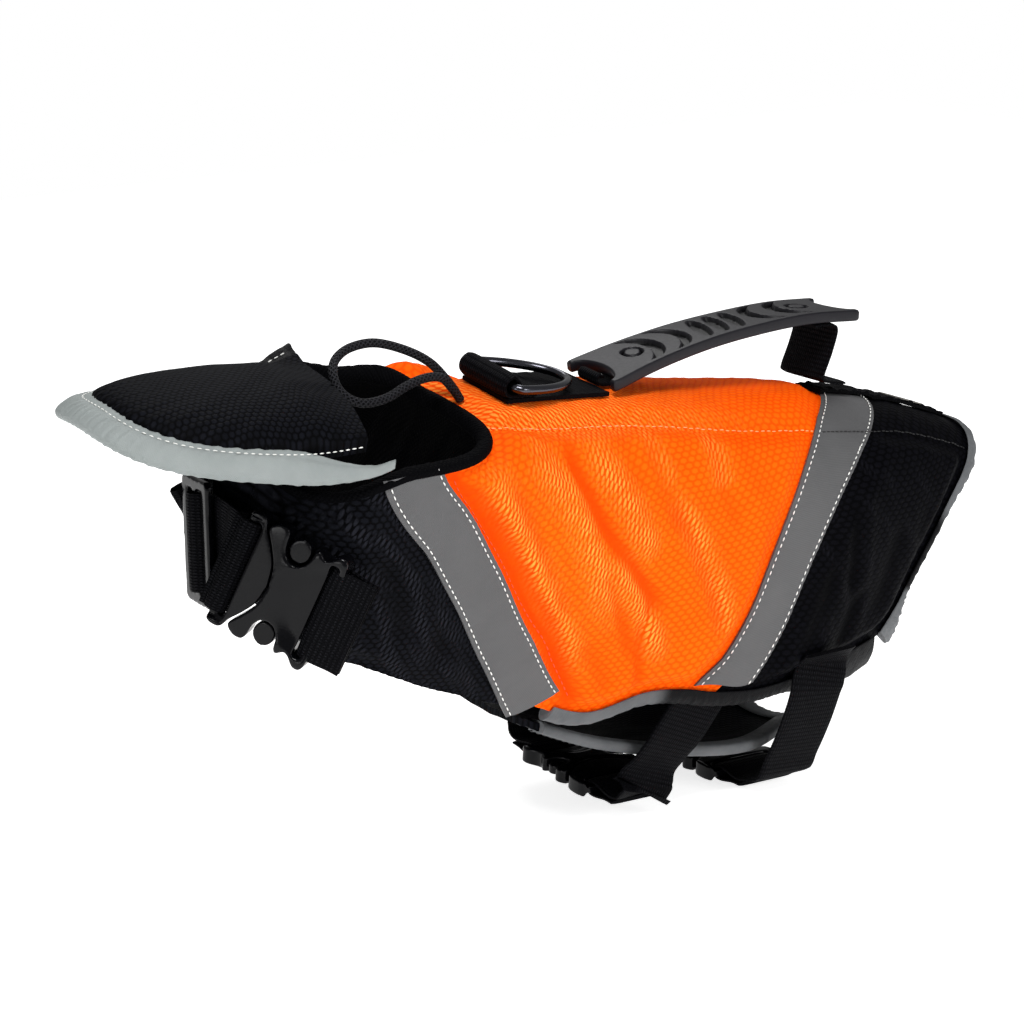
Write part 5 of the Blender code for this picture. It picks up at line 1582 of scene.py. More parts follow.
@dataclass
class EdgeBinding:
    """A tape folded round a cloth edge, crumpled a little between its stitches."""

    name: str
    line: Callable
    count: int
    side: int
    legs: tuple[float, float]
    drop: Callable
    outward: int
    finish: Finish
    slot: Slot
    crumple: float = 0.4
    seed: float = 0.0
    # Share of painted shade along the tape, 0 to 1, darkening it to near black
    painted_shade: Callable = np.zeros_like

    def build(self) -> None:
        """The finished binding."""
        share = np.linspace(0, 1, self.count + 1)
        reach = self.drop(share)[:, None]
        top, low = SEAM_WALL + 1.0, -1.6
        outer_leg, inner_leg = self.legs
        zero = 0 * reach
        profile = ((-outer_leg, top), (-outer_leg, top + BINDING), (GAP + reach * 0.4, top + BINDING),
                   (GAP + reach + BINDING, blend(low, top, 0.62)),
                   (GAP + reach + BINDING, blend(low, top, 0.2)), (GAP + reach * 0.4, low - BINDING),
                   (-inner_leg, low - BINDING), (-inner_leg, low), (GAP, low), (GAP, top))
        out = np.concatenate([p[0] + zero for p in profile], 1)
        high = np.concatenate([p[1] + zero for p in profile], 1)
        knots = np.stack((out, high), -1)
        knots = np.concatenate((knots, knots[:, :1]), 1).transpose(1, 0, 2)
        parts = 4
        fine = blend(knots[:-1][:, None], knots[1:][:, None],
                     (np.arange(parts) / parts)[None, :, None, None]).reshape(-1, len(share), 2)
        for _ in range(3):
            fine = (np.roll(fine, 1, 0) + 2 * fine + np.roll(fine, -1, 0)) / 4
        fine = fine.transpose(1, 0, 2)
        mark, _, aside = FORM.frame_on(self.line, share)
        point, normal = FORM.point(mark), FORM.slopes(mark)[2]
        length = float(np.linalg.norm(np.diff(point, axis=0), axis=-1).sum())
        run, turn = share[:, None] * length, np.arange(fine.shape[1])[None] * 1.4
        shake = self.crumple * ripple(run, turn, 6.5, 84, self.seed)
        bulge = ease((fine[..., 0] - GAP + 1) / 3.0)
        rings = (point[:, None] + aside[:, None] * self.outward
                 * (fine[..., :1] + (shake * bulge)[..., None]) + normal[:, None]
                 * (fine[..., 1:] + (0.5 * shake * (0.3 + bulge))[..., None]))
        if self.side < 0:
            rings = rings * (1, -1, 1)
        painted_shade = self.painted_shade(share)[:, None] + np.zeros((1, rings.shape[1]))
        made = loft(self.name + "_tape", FORM.roll(rings), self.finish, values={"painted_shade": painted_shade}, sharp=70)
        fit(made, self.slot, self.name)


def build_bindings() -> None:
    """The grey bindings of the hems and the rear, and the black one of the neck rim."""
    for side, word in ((1, "left"), (-1, "right")):
        # The hem tapes carry painted shade along most of their length
        EdgeBinding("hem_binding_" + word, lambda t: WHOLE_HEM.at(blend(0.035, 0.985, t)), 220, side,
                    (3.0, 8.0), lambda t: blend(4.5, 16.0, ease((t - 0.65) / 0.33)), -1, HEM_BINDING,
                    Slot.TAPE, 0.2, 1.3, lambda t: ease((t - 0.22) / 0.06)).build()

    def rear_line(share: Array) -> Array:
        """The rear edge that the grey binding follows."""
        aside = 2 * share - 1
        return REAR_EDGE.at(np.abs(aside) * 0.985) * np.stack((0 * aside + 1, np.sign(aside)), -1)

    def rear_drop(share: Array) -> Array:
        """How far the rear binding reaches out past the cloth's edge, in mm."""
        aside = np.abs(2 * share - 1)
        return 1.5 + 2.5 * ease((0.45 - aside) / 0.3) + 14.5 * ease((aside - 0.7) / 0.3)

    def rear_painted_shade(share: Array) -> Array:
        """How much painted shade darkens the rear binding."""
        aside = np.abs(2 * share - 1)
        return ease((aside - 0.4) / 0.06) * ease((0.74 - aside) / 0.06)

    EdgeBinding("rear_binding", rear_line, 340, 1, (3.0, 8.0), rear_drop, 1, HEM_BINDING, Slot.TAPE, 0.45,
                2.1, rear_painted_shade).build()
    EdgeBinding("neck_binding", lambda t: np.stack((0 * t, blend(-176.0, 176.0, t)), -1), 300, 1,
                (2.4, 4.5), lambda t: 1.0 + 0 * t, -1, BLACK_BINDING, Slot.BLACK, 0.35, 0.6).build()


@dataclass
class StitchRows:
    """Rows of sewing-machine stitches: short rounded threads laid along lines by Geometry Nodes."""

    name: str
    lines: list[Array]
    finish: Finish
    pitch: float = 3.2
    length: float = 2.3
    width: float = 0.62

    def tree(self) -> Tree:
        """The node tree: lines become curves, are shared into steps, and carry a stitch at each.

        Returns:
            The node tree.
        """
        tree = bpy.data.node_groups.new(self.name + "_sewing", "GeometryNodeTree")
        face = tree.interface
        face.new_socket("Geometry", in_out="INPUT", socket_type="NodeSocketGeometry")
        for label in ("Pitch", "Length", "Width"):
            face.new_socket(label, in_out="INPUT", socket_type="NodeSocketFloat")
        face.new_socket("Thread", in_out="INPUT", socket_type="NodeSocketMaterial")
        face.new_socket("Geometry", in_out="OUTPUT", socket_type="NodeSocketGeometry")
        given = add_node(tree, "NodeGroupInput").outputs
        curve = add_node(tree, "GeometryNodeMeshToCurve", {0: given["Geometry"]})
        steps = add_node(tree, "GeometryNodeResampleCurve",
                         {"Curve": curve.outputs[0], "Length": given["Pitch"]}, mode="LENGTH")
        ball = add_node(tree, "GeometryNodeMeshUVSphere", {"Segments": 6, "Rings": 4, "Radius": 0.5})
        size = add_node(tree, "ShaderNodeCombineXYZ",
                        {0: given["Length"], 1: given["Width"], 2: given["Width"]})
        thread = add_node(tree, "GeometryNodeTransform",
                          {"Geometry": ball.outputs[0], "Scale": size.outputs[0]})
        heading = add_node(tree, "GeometryNodeInputTangent")
        turn = add_node(tree, "FunctionNodeAlignRotationToVector", {"Vector": heading.outputs[0]}, axis="X")
        laid = add_node(tree, "GeometryNodeInstanceOnPoints", {
            "Points": steps.outputs[0], "Instance": thread.outputs[0], "Rotation": turn.outputs[0]})
        real = add_node(tree, "GeometryNodeRealizeInstances", {0: laid.outputs[0]})
        smooth = add_node(tree, "GeometryNodeSetShadeSmooth", {0: real.outputs[0]})
        dyed = add_node(tree, "GeometryNodeSetMaterial",
                        {0: smooth.outputs[0], "Material": given["Thread"]})
        add_node(tree, "NodeGroupOutput", {0: dyed.outputs[0]})
        return tree

    def build(self) -> None:
        """The finished rows as one mesh."""
        verts, edges = [], []
        for line in self.lines:
            first = len(verts)
            verts += (line * MM).tolist()
            edges += [(first + k, first + k + 1) for k in range(len(line) - 1)]
        mesh = bpy.data.meshes.new(self.name + "_lines")
        mesh.from_pydata(verts, edges, [])
        source = put(self.name + "_lines", mesh)
        sewing = source.modifiers.new("sewing", "NODES")
        sewing.node_group = self.tree()
        given = {"Pitch": self.pitch * MM, "Length": self.length * MM, "Width": self.width * MM,
                 "Thread": self.finish.material()}
        for item in sewing.node_group.interface.items_tree:
            if item.in_out == "INPUT" and item.name in given:
                sewing[item.identifier] = given[item.name]
        made = put(self.name, baked(source))
        fit(made, None)


# Chin float


@dataclass
class ChinFloat:
    """The chin float: a domed pad of mesh over foam, and the wide tape folded round its edge."""

    base: tuple[float, float, float] = (-196.5, 2.0, 26.2)
    length: float = 121.0
    half_width: float = 56.0
    pitch: float = 5.5
    squareness: float = 2.9
    skew: float = 0.22
    yaw: float = 0.05
    curl: float = 14.5
    flatten: float = 0.3
    twist: float = -4.0
    base_lifts: tuple[float, float] = (5.5, 10.0)
    lift_reach: float = 40.0
    tape_width: float = 15.0
    edge: float = 5.0
    dome: float = 15.0
    rays: int = 200
    near_end: float = -0.075

    def outline(self, angle: Array) -> Array:
        """Forward and side reach of the edge at an angle from the left base corner.

        Args:
            angle: angles round the pad, in radians.

        Returns:
            Forward and side reach, in mm.
        """
        along, across, power = np.sin(angle), np.cos(angle), self.squareness
        size = (np.abs(along) ** power + np.abs(across) ** power) ** (-1 / power)
        return np.stack((self.length * along * size, self.half_width * across * size), -1)

    def point(self, reach: Array, height: Array) -> Array:
        """Places from forward and side reach and height, before the front's roll.

        Args:
            reach: forward and side reach, in mm.
            height: heights in mm.

        Returns:
            Points in mm.
        """
        x, y = reach[..., 0], reach[..., 1]
        share = y / self.half_width
        flat = 1 - self.flatten * np.sin(math.pi * np.clip(x / self.length, 0, 1))
        drop = self.curl * flat * share ** 2 + self.twist * share * (x / self.length) ** 2
        lift = np.where(y > 0, self.base_lifts[0], self.base_lifts[1])
        drop = drop - lift * np.maximum(0.0, 1 - x / self.lift_reach) ** 2 * share ** 2
        skewed = x + y * blend(self.skew, self.yaw, x / self.length)
        pitch = math.radians(self.pitch)
        forward = np.array((-math.cos(pitch), 0.0, math.sin(pitch)))
        aside = np.array((0.0, -1.0, 0.0))
        up = np.cross(forward, aside)
        return (np.array(self.base) + forward * skewed[..., None] + aside * y[..., None]
                + up * (height - drop)[..., None])

    def top(self, share: Array) -> Array:
        """Height of the pad's top at a share of the way from the middle to its edge."""
        return self.edge + (self.dome - self.edge) * np.sqrt(np.maximum(0.0, 1 - share ** 3.2))

    def pad(self) -> None:
        """The domed pad, closed below, with gathers where the tape holds it."""
        angle = np.linspace(0, math.pi, self.rays + 1)
        share = np.concatenate((np.linspace(0.02, 0.8, 40), 1 - 0.2 * np.linspace(1, 0, 26)[1:] ** 1.6))
        full = self.outline(angle)
        size = np.linalg.norm(full, axis=-1)
        reach = full[None] * ((size - self.tape_width + 1) / size)[None, :, None] * share[:, None, None]
        fade = ease(reach[..., 0] / 30.0)
        height = blend(self.edge + 1, self.top(share)[:, None], 0.35 + 0.65 * fade)
        rim = np.exp(-(1 - share) * 9)[:, None]
        height = height + 0.4 * rim * np.sin(angle * 46 + 1.2 * np.sin(angle * 7))[None] * fade
        height = height + 0.35 * ripple(reach[..., 0], reach[..., 1], 24.0, 30, 0.9) * (1 - rim)
        low = np.zeros_like(height) + 0.2
        tops = self.point(reach, height)
        lows = self.point(reach, low)
        # The fold value paints shade in the gathers at the rim
        fold = np.clip(rim * (0.4 + 0.4 * np.sin(angle * 46)[None]), 0, 1) + 0 * height
        made = grid_shell("chin_float_mesh", FORM.roll(tops), FORM.roll(lows), FINE_BLACK_MESH, reach,
                          {"fold": fold})
        fit(made, Slot.BLACK, "chin_float_pad")

    def tape(self) -> None:
        """The wide tape round the edge, drawn in by its stitches."""
        angle = np.linspace(self.near_end, math.pi, self.rays * 2 + 1)
        full = self.outline(angle)
        out = unit(full)
        inner = self.tape_width + 0.6
        narrow = blend(0.05, 1.0, ease((angle - self.near_end) / 0.55))[:, None, None]
        profile = ((-inner, 4.0), (-inner, 5.2), (-13.0, 5.5), (-10.3, 4.9), (-7.5, 5.3), (-4.5, 4.4),
                   (-1.8, 2.6), (-0.1, 0.6), (0.0, -0.9), (-1.0, -2.6), (-4.0, -3.1), (-9.0, -2.6),
                   (-inner, -1.9), (-inner, -0.4))
        knots = np.array(profile)
        count = len(knots)
        fine = spline(np.concatenate((knots, knots[:1])), np.arange(count * 3) / 3)
        across = np.arange(len(fine))
        size = float(np.linalg.norm(np.diff(full, axis=0), axis=-1).sum())
        run = np.linspace(0, size, len(angle))[:, None]
        shake = 0.3 * ripple(run, fine[None, :, 0] * 0.6, 7.0, 86, 0.5) + 0.15 * np.sin(run / 1.5) * np.exp(
            -(((fine[None, :, 0] + 13.5) / 2.5) ** 2))
        lit = (fine[:, 0] > -inner + 0.5) & (across > 0)
        shake = shake * lit[None]
        reach = full[:, None] + out[:, None] * fine[None, :, :1] * narrow
        rings = self.point(reach, (fine[None, :, 1] + shake) * blend(0.45, 1.0, narrow[..., 0]))
        # Painted shade near the end of the tape
        painted_shade = ease((angle - 2.72) / 0.1)[:, None] + np.zeros((1, rings.shape[1]))
        made = loft("chin_float_tape", FORM.roll(rings), GREY_BINDING, values={"painted_shade": painted_shade}, sharp=70)
        fit(made, Slot.TAPE, "chin_float_binding")

    def stitch_line(self, inset: float, height: float) -> Array:
        """A stitch row round the tape, an inset in mm from its outer edge.

        Args:
            inset: how far inside the tape's outer edge, in mm.
            height: the row's height in mm.

        Returns:
            Points in mm.
        """
        angle = np.linspace(0.05, math.pi - 0.05, 300)
        full = self.outline(angle)
        return FORM.roll(self.point(full - unit(full) * inset, np.full(len(angle), height)))


# Belly


@dataclass
class Belly:
    """The belly panel, slung between the front corners and carried by the straps, and its binding."""

    start: float = -117.0
    end: float = 49.0
    wall: float = 3.6
    line: tuple = (-102.7, -123.7, -142.7, -153.7, -159.7, -159.7)
    half: tuple = (44.0, 38.0, 36.0, 38.0, 38.0, 20.0)
    lift: float = 4.0

    def half_width(self, x: Array) -> Array:
        """Half width of the panel along its length."""
        return spline([(v,) for v in self.half], (x + 150.0) / 40.0)[..., 0]

    def point(self, x: Array, y: Array, height: Array | float) -> Array:
        """Places on the panel at a height from its upper face, before the roll.

        Args:
            x: places along the body, in mm.
            y: places across it, in mm.
            height: heights from the upper face, in mm.

        Returns:
            Points in mm.
        """
        share = y / self.half_width(x)
        sag = spline([(v,) for v in self.line], (x + 150.0) / 40.0)[..., 0]
        return np.stack((x + 0 * y, y + 0 * x, sag + self.lift * share ** 2 + height), -1)

    def build(self) -> None:
        """The panel and its binding."""
        x = np.linspace(self.start, self.end, 121)[:, None] + np.zeros((1, 61))
        aside = np.linspace(-1, 1, 61)[None] + 0 * x
        y = self.half_width(x) * aside
        edge = self.half_width(x) * (1 - np.abs(aside))
        gather = 0.35 * np.sin(x / 1.1 + 1.5 * np.sin(x / 9)) * np.exp(-edge / 5.0)
        wave = 0.4 * ripple(x, y, 20.0, 15, 1.1) * ease(edge / 8)
        outer = FORM.roll(self.point(x, y, -self.wall + wave * 0.7 + gather))
        inner = FORM.roll(self.point(x, y, np.minimum(wave, 0.2) + gather * 0.6 - 0.1))
        uv = np.stack((x, y), -1)
        # The fold value paints shade in the dips of the panel's wave
        made = grid_shell("belly_panel_cloth", outer, inner, FINE_BLACK_MESH, uv,
                          {"fold": np.clip(wave, -1, 1)})
        fit(made, Slot.BLACK, "belly_panel")
        self.binding()

    def edge_line(self, count: int = 90) -> Array:
        """The panel's free edge: back along the right, across the end, forward along the left.

        Args:
            count: how many points each side has.

        Returns:
            Places along and across the panel, in mm.
        """
        x = np.linspace(self.start + 14, self.end, count)
        right = np.stack((x, -self.half_width(x)), -1)
        last = float(self.half_width(np.array(self.end)))
        across = np.stack((np.full(25, self.end), np.linspace(-last, last, 27)[1:-1]), -1)
        left = right[::-1] * (1, -1)
        return np.concatenate((right, across, left))

    def binding(self) -> None:
        """The grey tape folded round the free edge."""
        line = self.edge_line()
        run = unit(np.gradient(line, axis=0))
        for _ in range(4):
            run[1:-1] = unit(run[:-2] + 2 * run[1:-1] + run[2:])
        out = np.stack((run[:, 1], -run[:, 0]), -1)
        under = -self.wall - GAP
        knots = np.array(((-6, 0.3), (-6, 1.2), (-2, 1.25), (1.2, 1.0), (2.8, 0.2), (3.4, -1.8),
                          (2.8, -3.9), (1.2, -4.7), (-2, under - 0.95), (-6, under - 0.9), (-6, under),
                          (-2, under), (0.4, under), (0.4, 0.3), (-2, 0.3)))
        count = len(knots)
        fine = spline(np.concatenate((knots, knots[:1])), np.arange(count * 2) / 2)
        length = np.linalg.norm(np.diff(line, axis=0), axis=-1).cumsum()
        along = np.concatenate(([0.0], length))[:, None]
        shake = 0.3 * ripple(along, fine[None, :, 0], 6.0, 86, 0.2) * ease((fine[:, 0] + 2) / 3)[None]
        reach = line[:, None] + out[:, None] * (fine[None, :, :1] + shake[..., None])
        rings = self.point(reach[..., 0], reach[..., 1], fine[None, :, 1] + 0.4 * shake)
        made = loft("belly_binding_tape", FORM.roll(rings), HEM_BINDING, sharp=70)
        fit(made, Slot.TAPE, "belly_binding")

    def stitch_line(self) -> Array:
        """The stitch row on the binding's underside.

        Returns:
            Points in mm.
        """
        line = self.edge_line()
        run = unit(np.gradient(line, axis=0))
        out = np.stack((run[:, 1], -run[:, 0]), -1)
        spot = line - out * 4.0
        return FORM.roll(self.point(spot[:, 0], spot[:, 1], np.full(len(spot), -self.wall - GAP - 1.0)))


# Webbing


def axes_at(origin: Sequence[float], along: Sequence[float],
            outward: Sequence[float]) -> tuple[Array, Array]:
    """A place whose X runs along a strap and whose Z points out: its origin and its three axes as rows.

    Args:
        origin: the place, in mm.
        along: the direction along the strap.
        outward: the direction away from the wearer.

    Returns:
        The origin, and the axes as rows.
    """
    x_axis = unit(np.array(along, float))
    z_axis = np.array(outward, float)
    z_axis = unit(z_axis - x_axis * float(z_axis @ x_axis))
    return np.array(origin, float), np.stack((x_axis, np.cross(z_axis, x_axis), z_axis))


@dataclass
class Webbing:
    """One length of webbing along a path: flat, with rounded edges and its ribs across it."""

    name: str
    path: Array
    across: Array
    width: float
    roll: bool = True
    fine: int = 5
    thick: float = WEBBING
    finish: Finish = NYLON_WEBBING
    slot: Slot = Slot.WEBBING

    def build(self) -> None:
        """The finished length, in its solid's place."""
        path = np.asarray(self.path, float)
        wide = np.asarray(self.across, float) * np.ones((len(path), 1))
        count = (len(path) - 1) * self.fine
        path, wide = smooth_path(path, count), smooth_path(wide, count)
        heading = unit(np.gradient(path, axis=0))
        thick = unit(np.cross(heading, unit(wide)))
        wide = unit(np.cross(thick, heading))
        half, high = self.width / 2, self.thick / 2
        steps = np.linspace(-1, 1, 17)
        crown = high * (1 - 0.55 * np.abs(steps) ** 10)
        outline = [(-half * s, -c) for s, c in zip(-steps, crown)]
        outline += [(-half * s, c) for s, c in zip(steps, crown)]
        outline = np.array(outline)
        rings = (path[:, None] + wide[:, None] * outline[None, :, :1] + thick[:, None]
                 * outline[None, :, 1:])
        rings = FORM.roll(rings) if self.roll else rings
        made = loft(self.name + "_band", rings, self.finish, sharp=75)
        fit(made, self.slot, self.name)


def bar_loop(place: tuple[Array, Array], end: float, sign: int, tail: float = 15.0) -> Array:
    """Points of webbing round a buckle's bar: the sewn-down tail first, then the length that leads away.

    Args:
        place: the buckle's origin and axes.
        end: where the buckle ends, in mm from its origin.
        sign: the way out of that end, 1 or -1.
        tail: how far the sewn-down end reaches, in mm.

    Returns:
        Points in mm.
    """
    centre = end - sign * 1.5
    local = ((tail, 1.45), (tail * 0.66, 1.6), (3, 3.0), (-1, 3.1), (-3.6, 1.8), (-4.1, 0), (-3.6, -1.8),
             (-1, -3.1), (3, -3.0), (10, -1.3), (15, -1.2))
    spots = np.array([(centre + sign * x, 0.0, z) for x, z in local])
    return place[0] + spots @ place[1]


@dataclass(frozen=True)
class Route:
    """Where one belly strap runs, in mm: sewn on at top_x, buckled under the belly at low_x and low_z.

    Both its lengths turn up at corner_y and stand at side_y, and inside says if it is sewn to the inside.
    """

    name: str
    top_x: float
    low_x: float
    low_z: float
    side_y: float
    corner_y: float
    buckle_y: float
    inside: bool

    def buckle_place(self) -> tuple[Array, Array]:
        """The buckle's origin and axes."""
        return axes_at((self.low_x, self.buckle_y, self.low_z), (0, 1, 0), (0, 0, -1))


@dataclass
class BellyStraps:
    """The two belly straps, each from the left hem down, under the belly and up to the right hem."""

    width: float = 30.0
    reach: tuple[float, float] = (0.97, 0.66)
    routes: tuple[Route, ...] = (Route("front", -25.0, -49.0, -168.0, 50.0, 41.0, -8.0, True),
                                 Route("rear", 34.0, 26.0, -178.0, 57.5, 47.0, 1.0, False))

    def top(self, top_x: float, inside: bool) -> Array:
        """Where a strap is sewn to the left side, lowest first.

        Args:
            top_x: where it is sewn on, in mm.
            inside: True if it is sewn inside.

        Returns:
            Points in mm.
        """
        points = []
        for turn in (111.0, 104.0, 98.0) if inside else (107.5, 102.5):
            mark = np.array((FORM.station_at(top_x, turn), turn))
            if inside:
                height = -1.6 - BINDING - 2 * GAP - WEBBING / 2
            else:
                height = float(RearSides().wall(FORM.point(mark)[None])[0][0]) + 6 * GAP + BINDING + WEBBING
            points.append(FORM.out(mark, height))
        return np.array(points)

    def build(self) -> None:
        """Four lengths of webbing."""
        for route in self.routes:
            place, low_x, top_x = route.buckle_place(), route.low_x, route.top_x
            top = self.top(top_x, route.inside)
            ends = (("left", -self.width * self.reach[1], -1), ("right", self.width * self.reach[0], 1))
            for word, end, sign in ends:
                loop = bar_loop(place, end, sign)
                last = loop[-1]
                rise = top[0][2] - last[2]
                corner, side = sign * route.corner_y, sign * route.side_y
                ways = ((0.08, blend(last[1], corner, 0.75), 0.06), (0.2, corner, 0.2),
                        (0.5, blend(corner, side, 0.6), 0.5))
                points = [(blend(low_x, top_x, s), y, last[2] + rise * t) for s, y, t in ways]
                if not route.inside:
                    points.append((blend(low_x, top_x, 0.8), side, last[2] + rise * 0.8))
                points += [tuple(p) for p in top * (1, -sign, 1)]
                path = np.concatenate((loop, smooth_path([tuple(last)] + points, 12)[1:]))
                name = "belly_strap_%s_%s" % (route.name, word)
                Webbing(name, path, np.array((1.0, 0.0, 0.0)), self.width).build()


@dataclass
class ChestStrap:
    """The chest strap: a loop on the socket's bar, and the long side through the slider."""

    width: float = 42.0
    reach: tuple[float, float] = (0.74, 0.36)
    near_end: tuple = (-221.5, -60.5, -53.0)
    front_end: tuple = (-259.5, -10.5, -24.5)
    outward: tuple = (-0.75, -0.66, 0.0)
    slider: tuple = (-252.5, 9.0, -26.5)
    slider_along: tuple = (-0.14, -0.99, 0.04)

    def buckle_place(self) -> tuple[Array, Array]:
        """The buckle's origin and axes."""
        run = unit(np.array(self.near_end) - np.array(self.front_end))
        return axes_at(np.array(self.near_end) - run * (self.width * self.reach[0] + 12.0), run,
                       self.outward)

    def build(self) -> None:
        """Both lengths."""
        place = self.buckle_place()
        across = place[1][1]
        Webbing("chest_strap_left", bar_loop(place, self.width * self.reach[0], 1), across, self.width,
                roll=False).build()
        along = self.slider_along
        slider = axes_at(self.slider, along, (along[1], -along[0], 0.0))
        weave = ((16.5, -3.4), (7.6, -3.3), (2.5, 3.2), (-2.5, 3.2), (-7.6, -3.3), (-14, -3.4), (-22, -4.6))
        path = list(bar_loop(place, -self.width * self.reach[1], -1, 7.0)[:-2])
        up = slider[1][1]
        wide = [across] * len(path) + [unit(across + up * 1.3)] + [up] * len(weave)
        woven = [slider[0] + np.array((x, 0.0, z)) @ slider[1] for x, z in weave]
        path += [blend(path[-1], woven[0], 0.4)] + woven
        for turn in (-147, -137, -127, -117, -109):
            path.append(FORM.place(np.array((0.75, turn)), FRONT_WALL + 3.0))
            ahead, behind = (FORM.roll(FORM.point((0.75 + s, turn))) for s in (-0.3, 0.3))
            wide.append(unit(ahead - behind))
        Webbing("chest_strap_right", np.array(path), np.array(wide), self.width, roll=False).build()


@dataclass
class SpineStrips:
    """The webbing sewn along the back, the narrow strip over the rear, and the blank label on it."""

    def height(self, point: Array) -> Array:
        """Height of the padding under a strip at places on the spine.

        Args:
            point: places on the spine, in mm.

        Returns:
            Heights in mm.
        """
        seam, _ = near(point, FORM.trace(back_seam))
        full = np.where(point[..., 0] < FORM.point((BACK_SEAM_STATION, 0.0))[0], BACK_WALL, REAR_BACK_WALL)
        rim, _ = near(point, FORM.trace(rim_line))
        edge, _ = near(point, FORM.trace(REAR_EDGE.at))
        rise = pad_rise(seam) * edge_rise(rim) * edge_rise(edge)
        padded = SEAM_WALL + rise * (full - SEAM_WALL)
        return np.where(seam < SEAM_FLAT + 1, np.maximum(padded, TAPE_HIGH), padded) + GAP

    def strip(self, name: str, x0: float, x1: float, half: float, finish: Finish, slot: Slot, lift: float,
              thick: float, crinkle: float) -> None:
        """One strip from x0 to x1 with its crinkles.

        Args:
            name: the piece's name.
            x0: its front end, in mm.
            x1: its rear end, in mm.
            half: half its width, in mm.
            finish: what it is made of.
            slot: its slot.
            lift: how far it stands off the padding, in mm.
            thick: its thickness, in mm.
            crinkle: how high its crinkles are, in mm.
        """
        stations = np.array([FORM.station_at(x) for x in np.linspace(x0, x1, 25)])
        stations = spline([(s,) for s in stations], np.linspace(0, 24, 145))[:, 0]
        mark = np.stack((stations, 0 * stations), -1)
        point, normal = FORM.point(mark), FORM.slopes(mark)[2]
        smooth = self.height(point)
        for _ in range(12):
            smooth[1:-1] = (smooth[:-2] + 2 * smooth[1:-1] + smooth[2:]) / 4
        y = np.linspace(-half, half, 19)[None]
        run = np.linspace(0, x1 - x0, 145)[:, None]
        shake = crinkle * ripple(run, y, 7.0, 88, 1.4) * ease(run / 3) * ease((x1 - x0 - run) / 3)
        high = smooth[:, None] + lift + thick + np.maximum(shake, -0.4)
        rows = point[:, None] + np.stack((0 * y, y, 0 * y), -1)
        outer = FORM.roll(rows + normal[:, None] * high[..., None])
        inner = FORM.roll(rows + normal[:, None] * (smooth[:, None, None] + lift))
        made = grid_shell(name + "_band", outer, inner, finish, np.stack((run + 0 * y, y + 0 * run), -1))
        fit(made, slot, name)

    def build(self) -> None:
        """All three."""
        self.strip("spine_webbing", -119.0, -63.0, 17.0, NYLON_WEBBING, Slot.WEBBING, 0.0, WEBBING, 0.15)
        self.strip("spine_strip_rear", 71.0, 149.0, 9.0, NYLON_WEBBING, Slot.WEBBING, 0.0, WEBBING, 0.9)
        self.strip("spine_label", 122.0, 136.0, 8.0, LABEL_CLOTH, Slot.LABEL, WEBBING + GAP, 0.6, 0.1)


@dataclass
class RingAndLoop:
    """The D-ring lying to the rear, and the webbing folded round its bar."""

    x: float = -116.0
    wire: float = 4.0
    length: float = 39.0
    half_width: float = 20.5
    pitch: float = 8.0
    play: float = 1.4
    bar_half: float = 16.5
    loop_width: float = 34.0

    def axis(self) -> Array:
        """The middle of the ring's bar."""
        seat = FORM.out(np.array((FORM.station_at(self.x), 0.0)), BACK_WALL + 2 * GAP + WEBBING)
        return np.array((self.x, 0.0, seat[2] + self.wire / 2 + self.play + WEBBING))

    def build(self) -> None:
        """Ring and loop."""
        axis, pitch = self.axis(), math.radians(self.pitch)
        back = np.array((math.cos(pitch), 0.0, -math.sin(pitch)))
        upward = np.array((math.sin(pitch), 0.0, math.cos(pitch)))
        path = [(0.0, y) for y in (-self.bar_half, -8.0, 0.0, 8.0, self.bar_half)]
        path += [(1.3, self.half_width - 1.0)]
        for k in range(13):
            angle = math.pi * k / 12
            path.append((blend(4.0, self.length, math.sin(angle)), self.half_width * math.cos(angle)))
        path += [(1.3, -self.half_width + 1.0)]
        knots = np.array(path[-2:] + path + path[:3])
        flat = spline(knots, np.linspace(2, 2 + len(path), len(path) * 8 + 1)[:-1])
        centre = back * flat[:, :1] + np.array((0.0, 1.0, 0.0)) * flat[:, 1:]
        heading = unit(np.roll(centre, -1, 0) - np.roll(centre, 1, 0))
        side = unit(np.cross(upward, heading))
        turn = np.linspace(0, 2 * math.pi, 25)[:-1]
        rings = centre[:, None] + (side[:, None] * np.cos(turn)[None, :, None]
                                   + upward * np.sin(turn)[None, :, None]) * self.wire / 2
        left, right = (FORM.roll(axis + np.array((0.0, y * 0.65, 0.0)))
                       for y in (-self.bar_half, self.bar_half))
        lean = math.atan2(right[2] - left[2], right[1] - left[1])
        c, s = math.cos(lean), math.sin(lean)
        rings = rings @ np.array(((1, 0, 0), (0, c, s), (0, -s, c))) + (left + right) / 2
        made = loft("d_ring_wire", rings, STEEL, closed=True)
        fit(made, Slot.STEEL, "d_ring", body=Body.RING)

        reach = self.wire / 2 + self.play + WEBBING / 2
        bottom = axis[2] - reach
        local = [(13.0, 0.0), (8.0, 0.0)]
        local += [(reach * math.cos(math.radians(a)), reach + reach * math.sin(math.radians(a)))
                  for a in (-90, -130, -170, -210, -250, -285)]
        local += [(6.0, 3.2), (9.5, WEBBING + GAP + 0.3), (13.0, WEBBING + GAP)]
        ends = [FORM.point((FORM.station_at(self.x + d), 0.0))[2] for d in (0, 20)]
        slope = (ends[1] - ends[0]) / 20.0
        way = np.array([(axis[0] + x, 0.0, bottom + z + slope * max(x, 0.0)) for x, z in local])
        Webbing("d_ring_loop", way, np.array((0.0, 1.0, 0.0)), self.loop_width, thick=2.6).build()


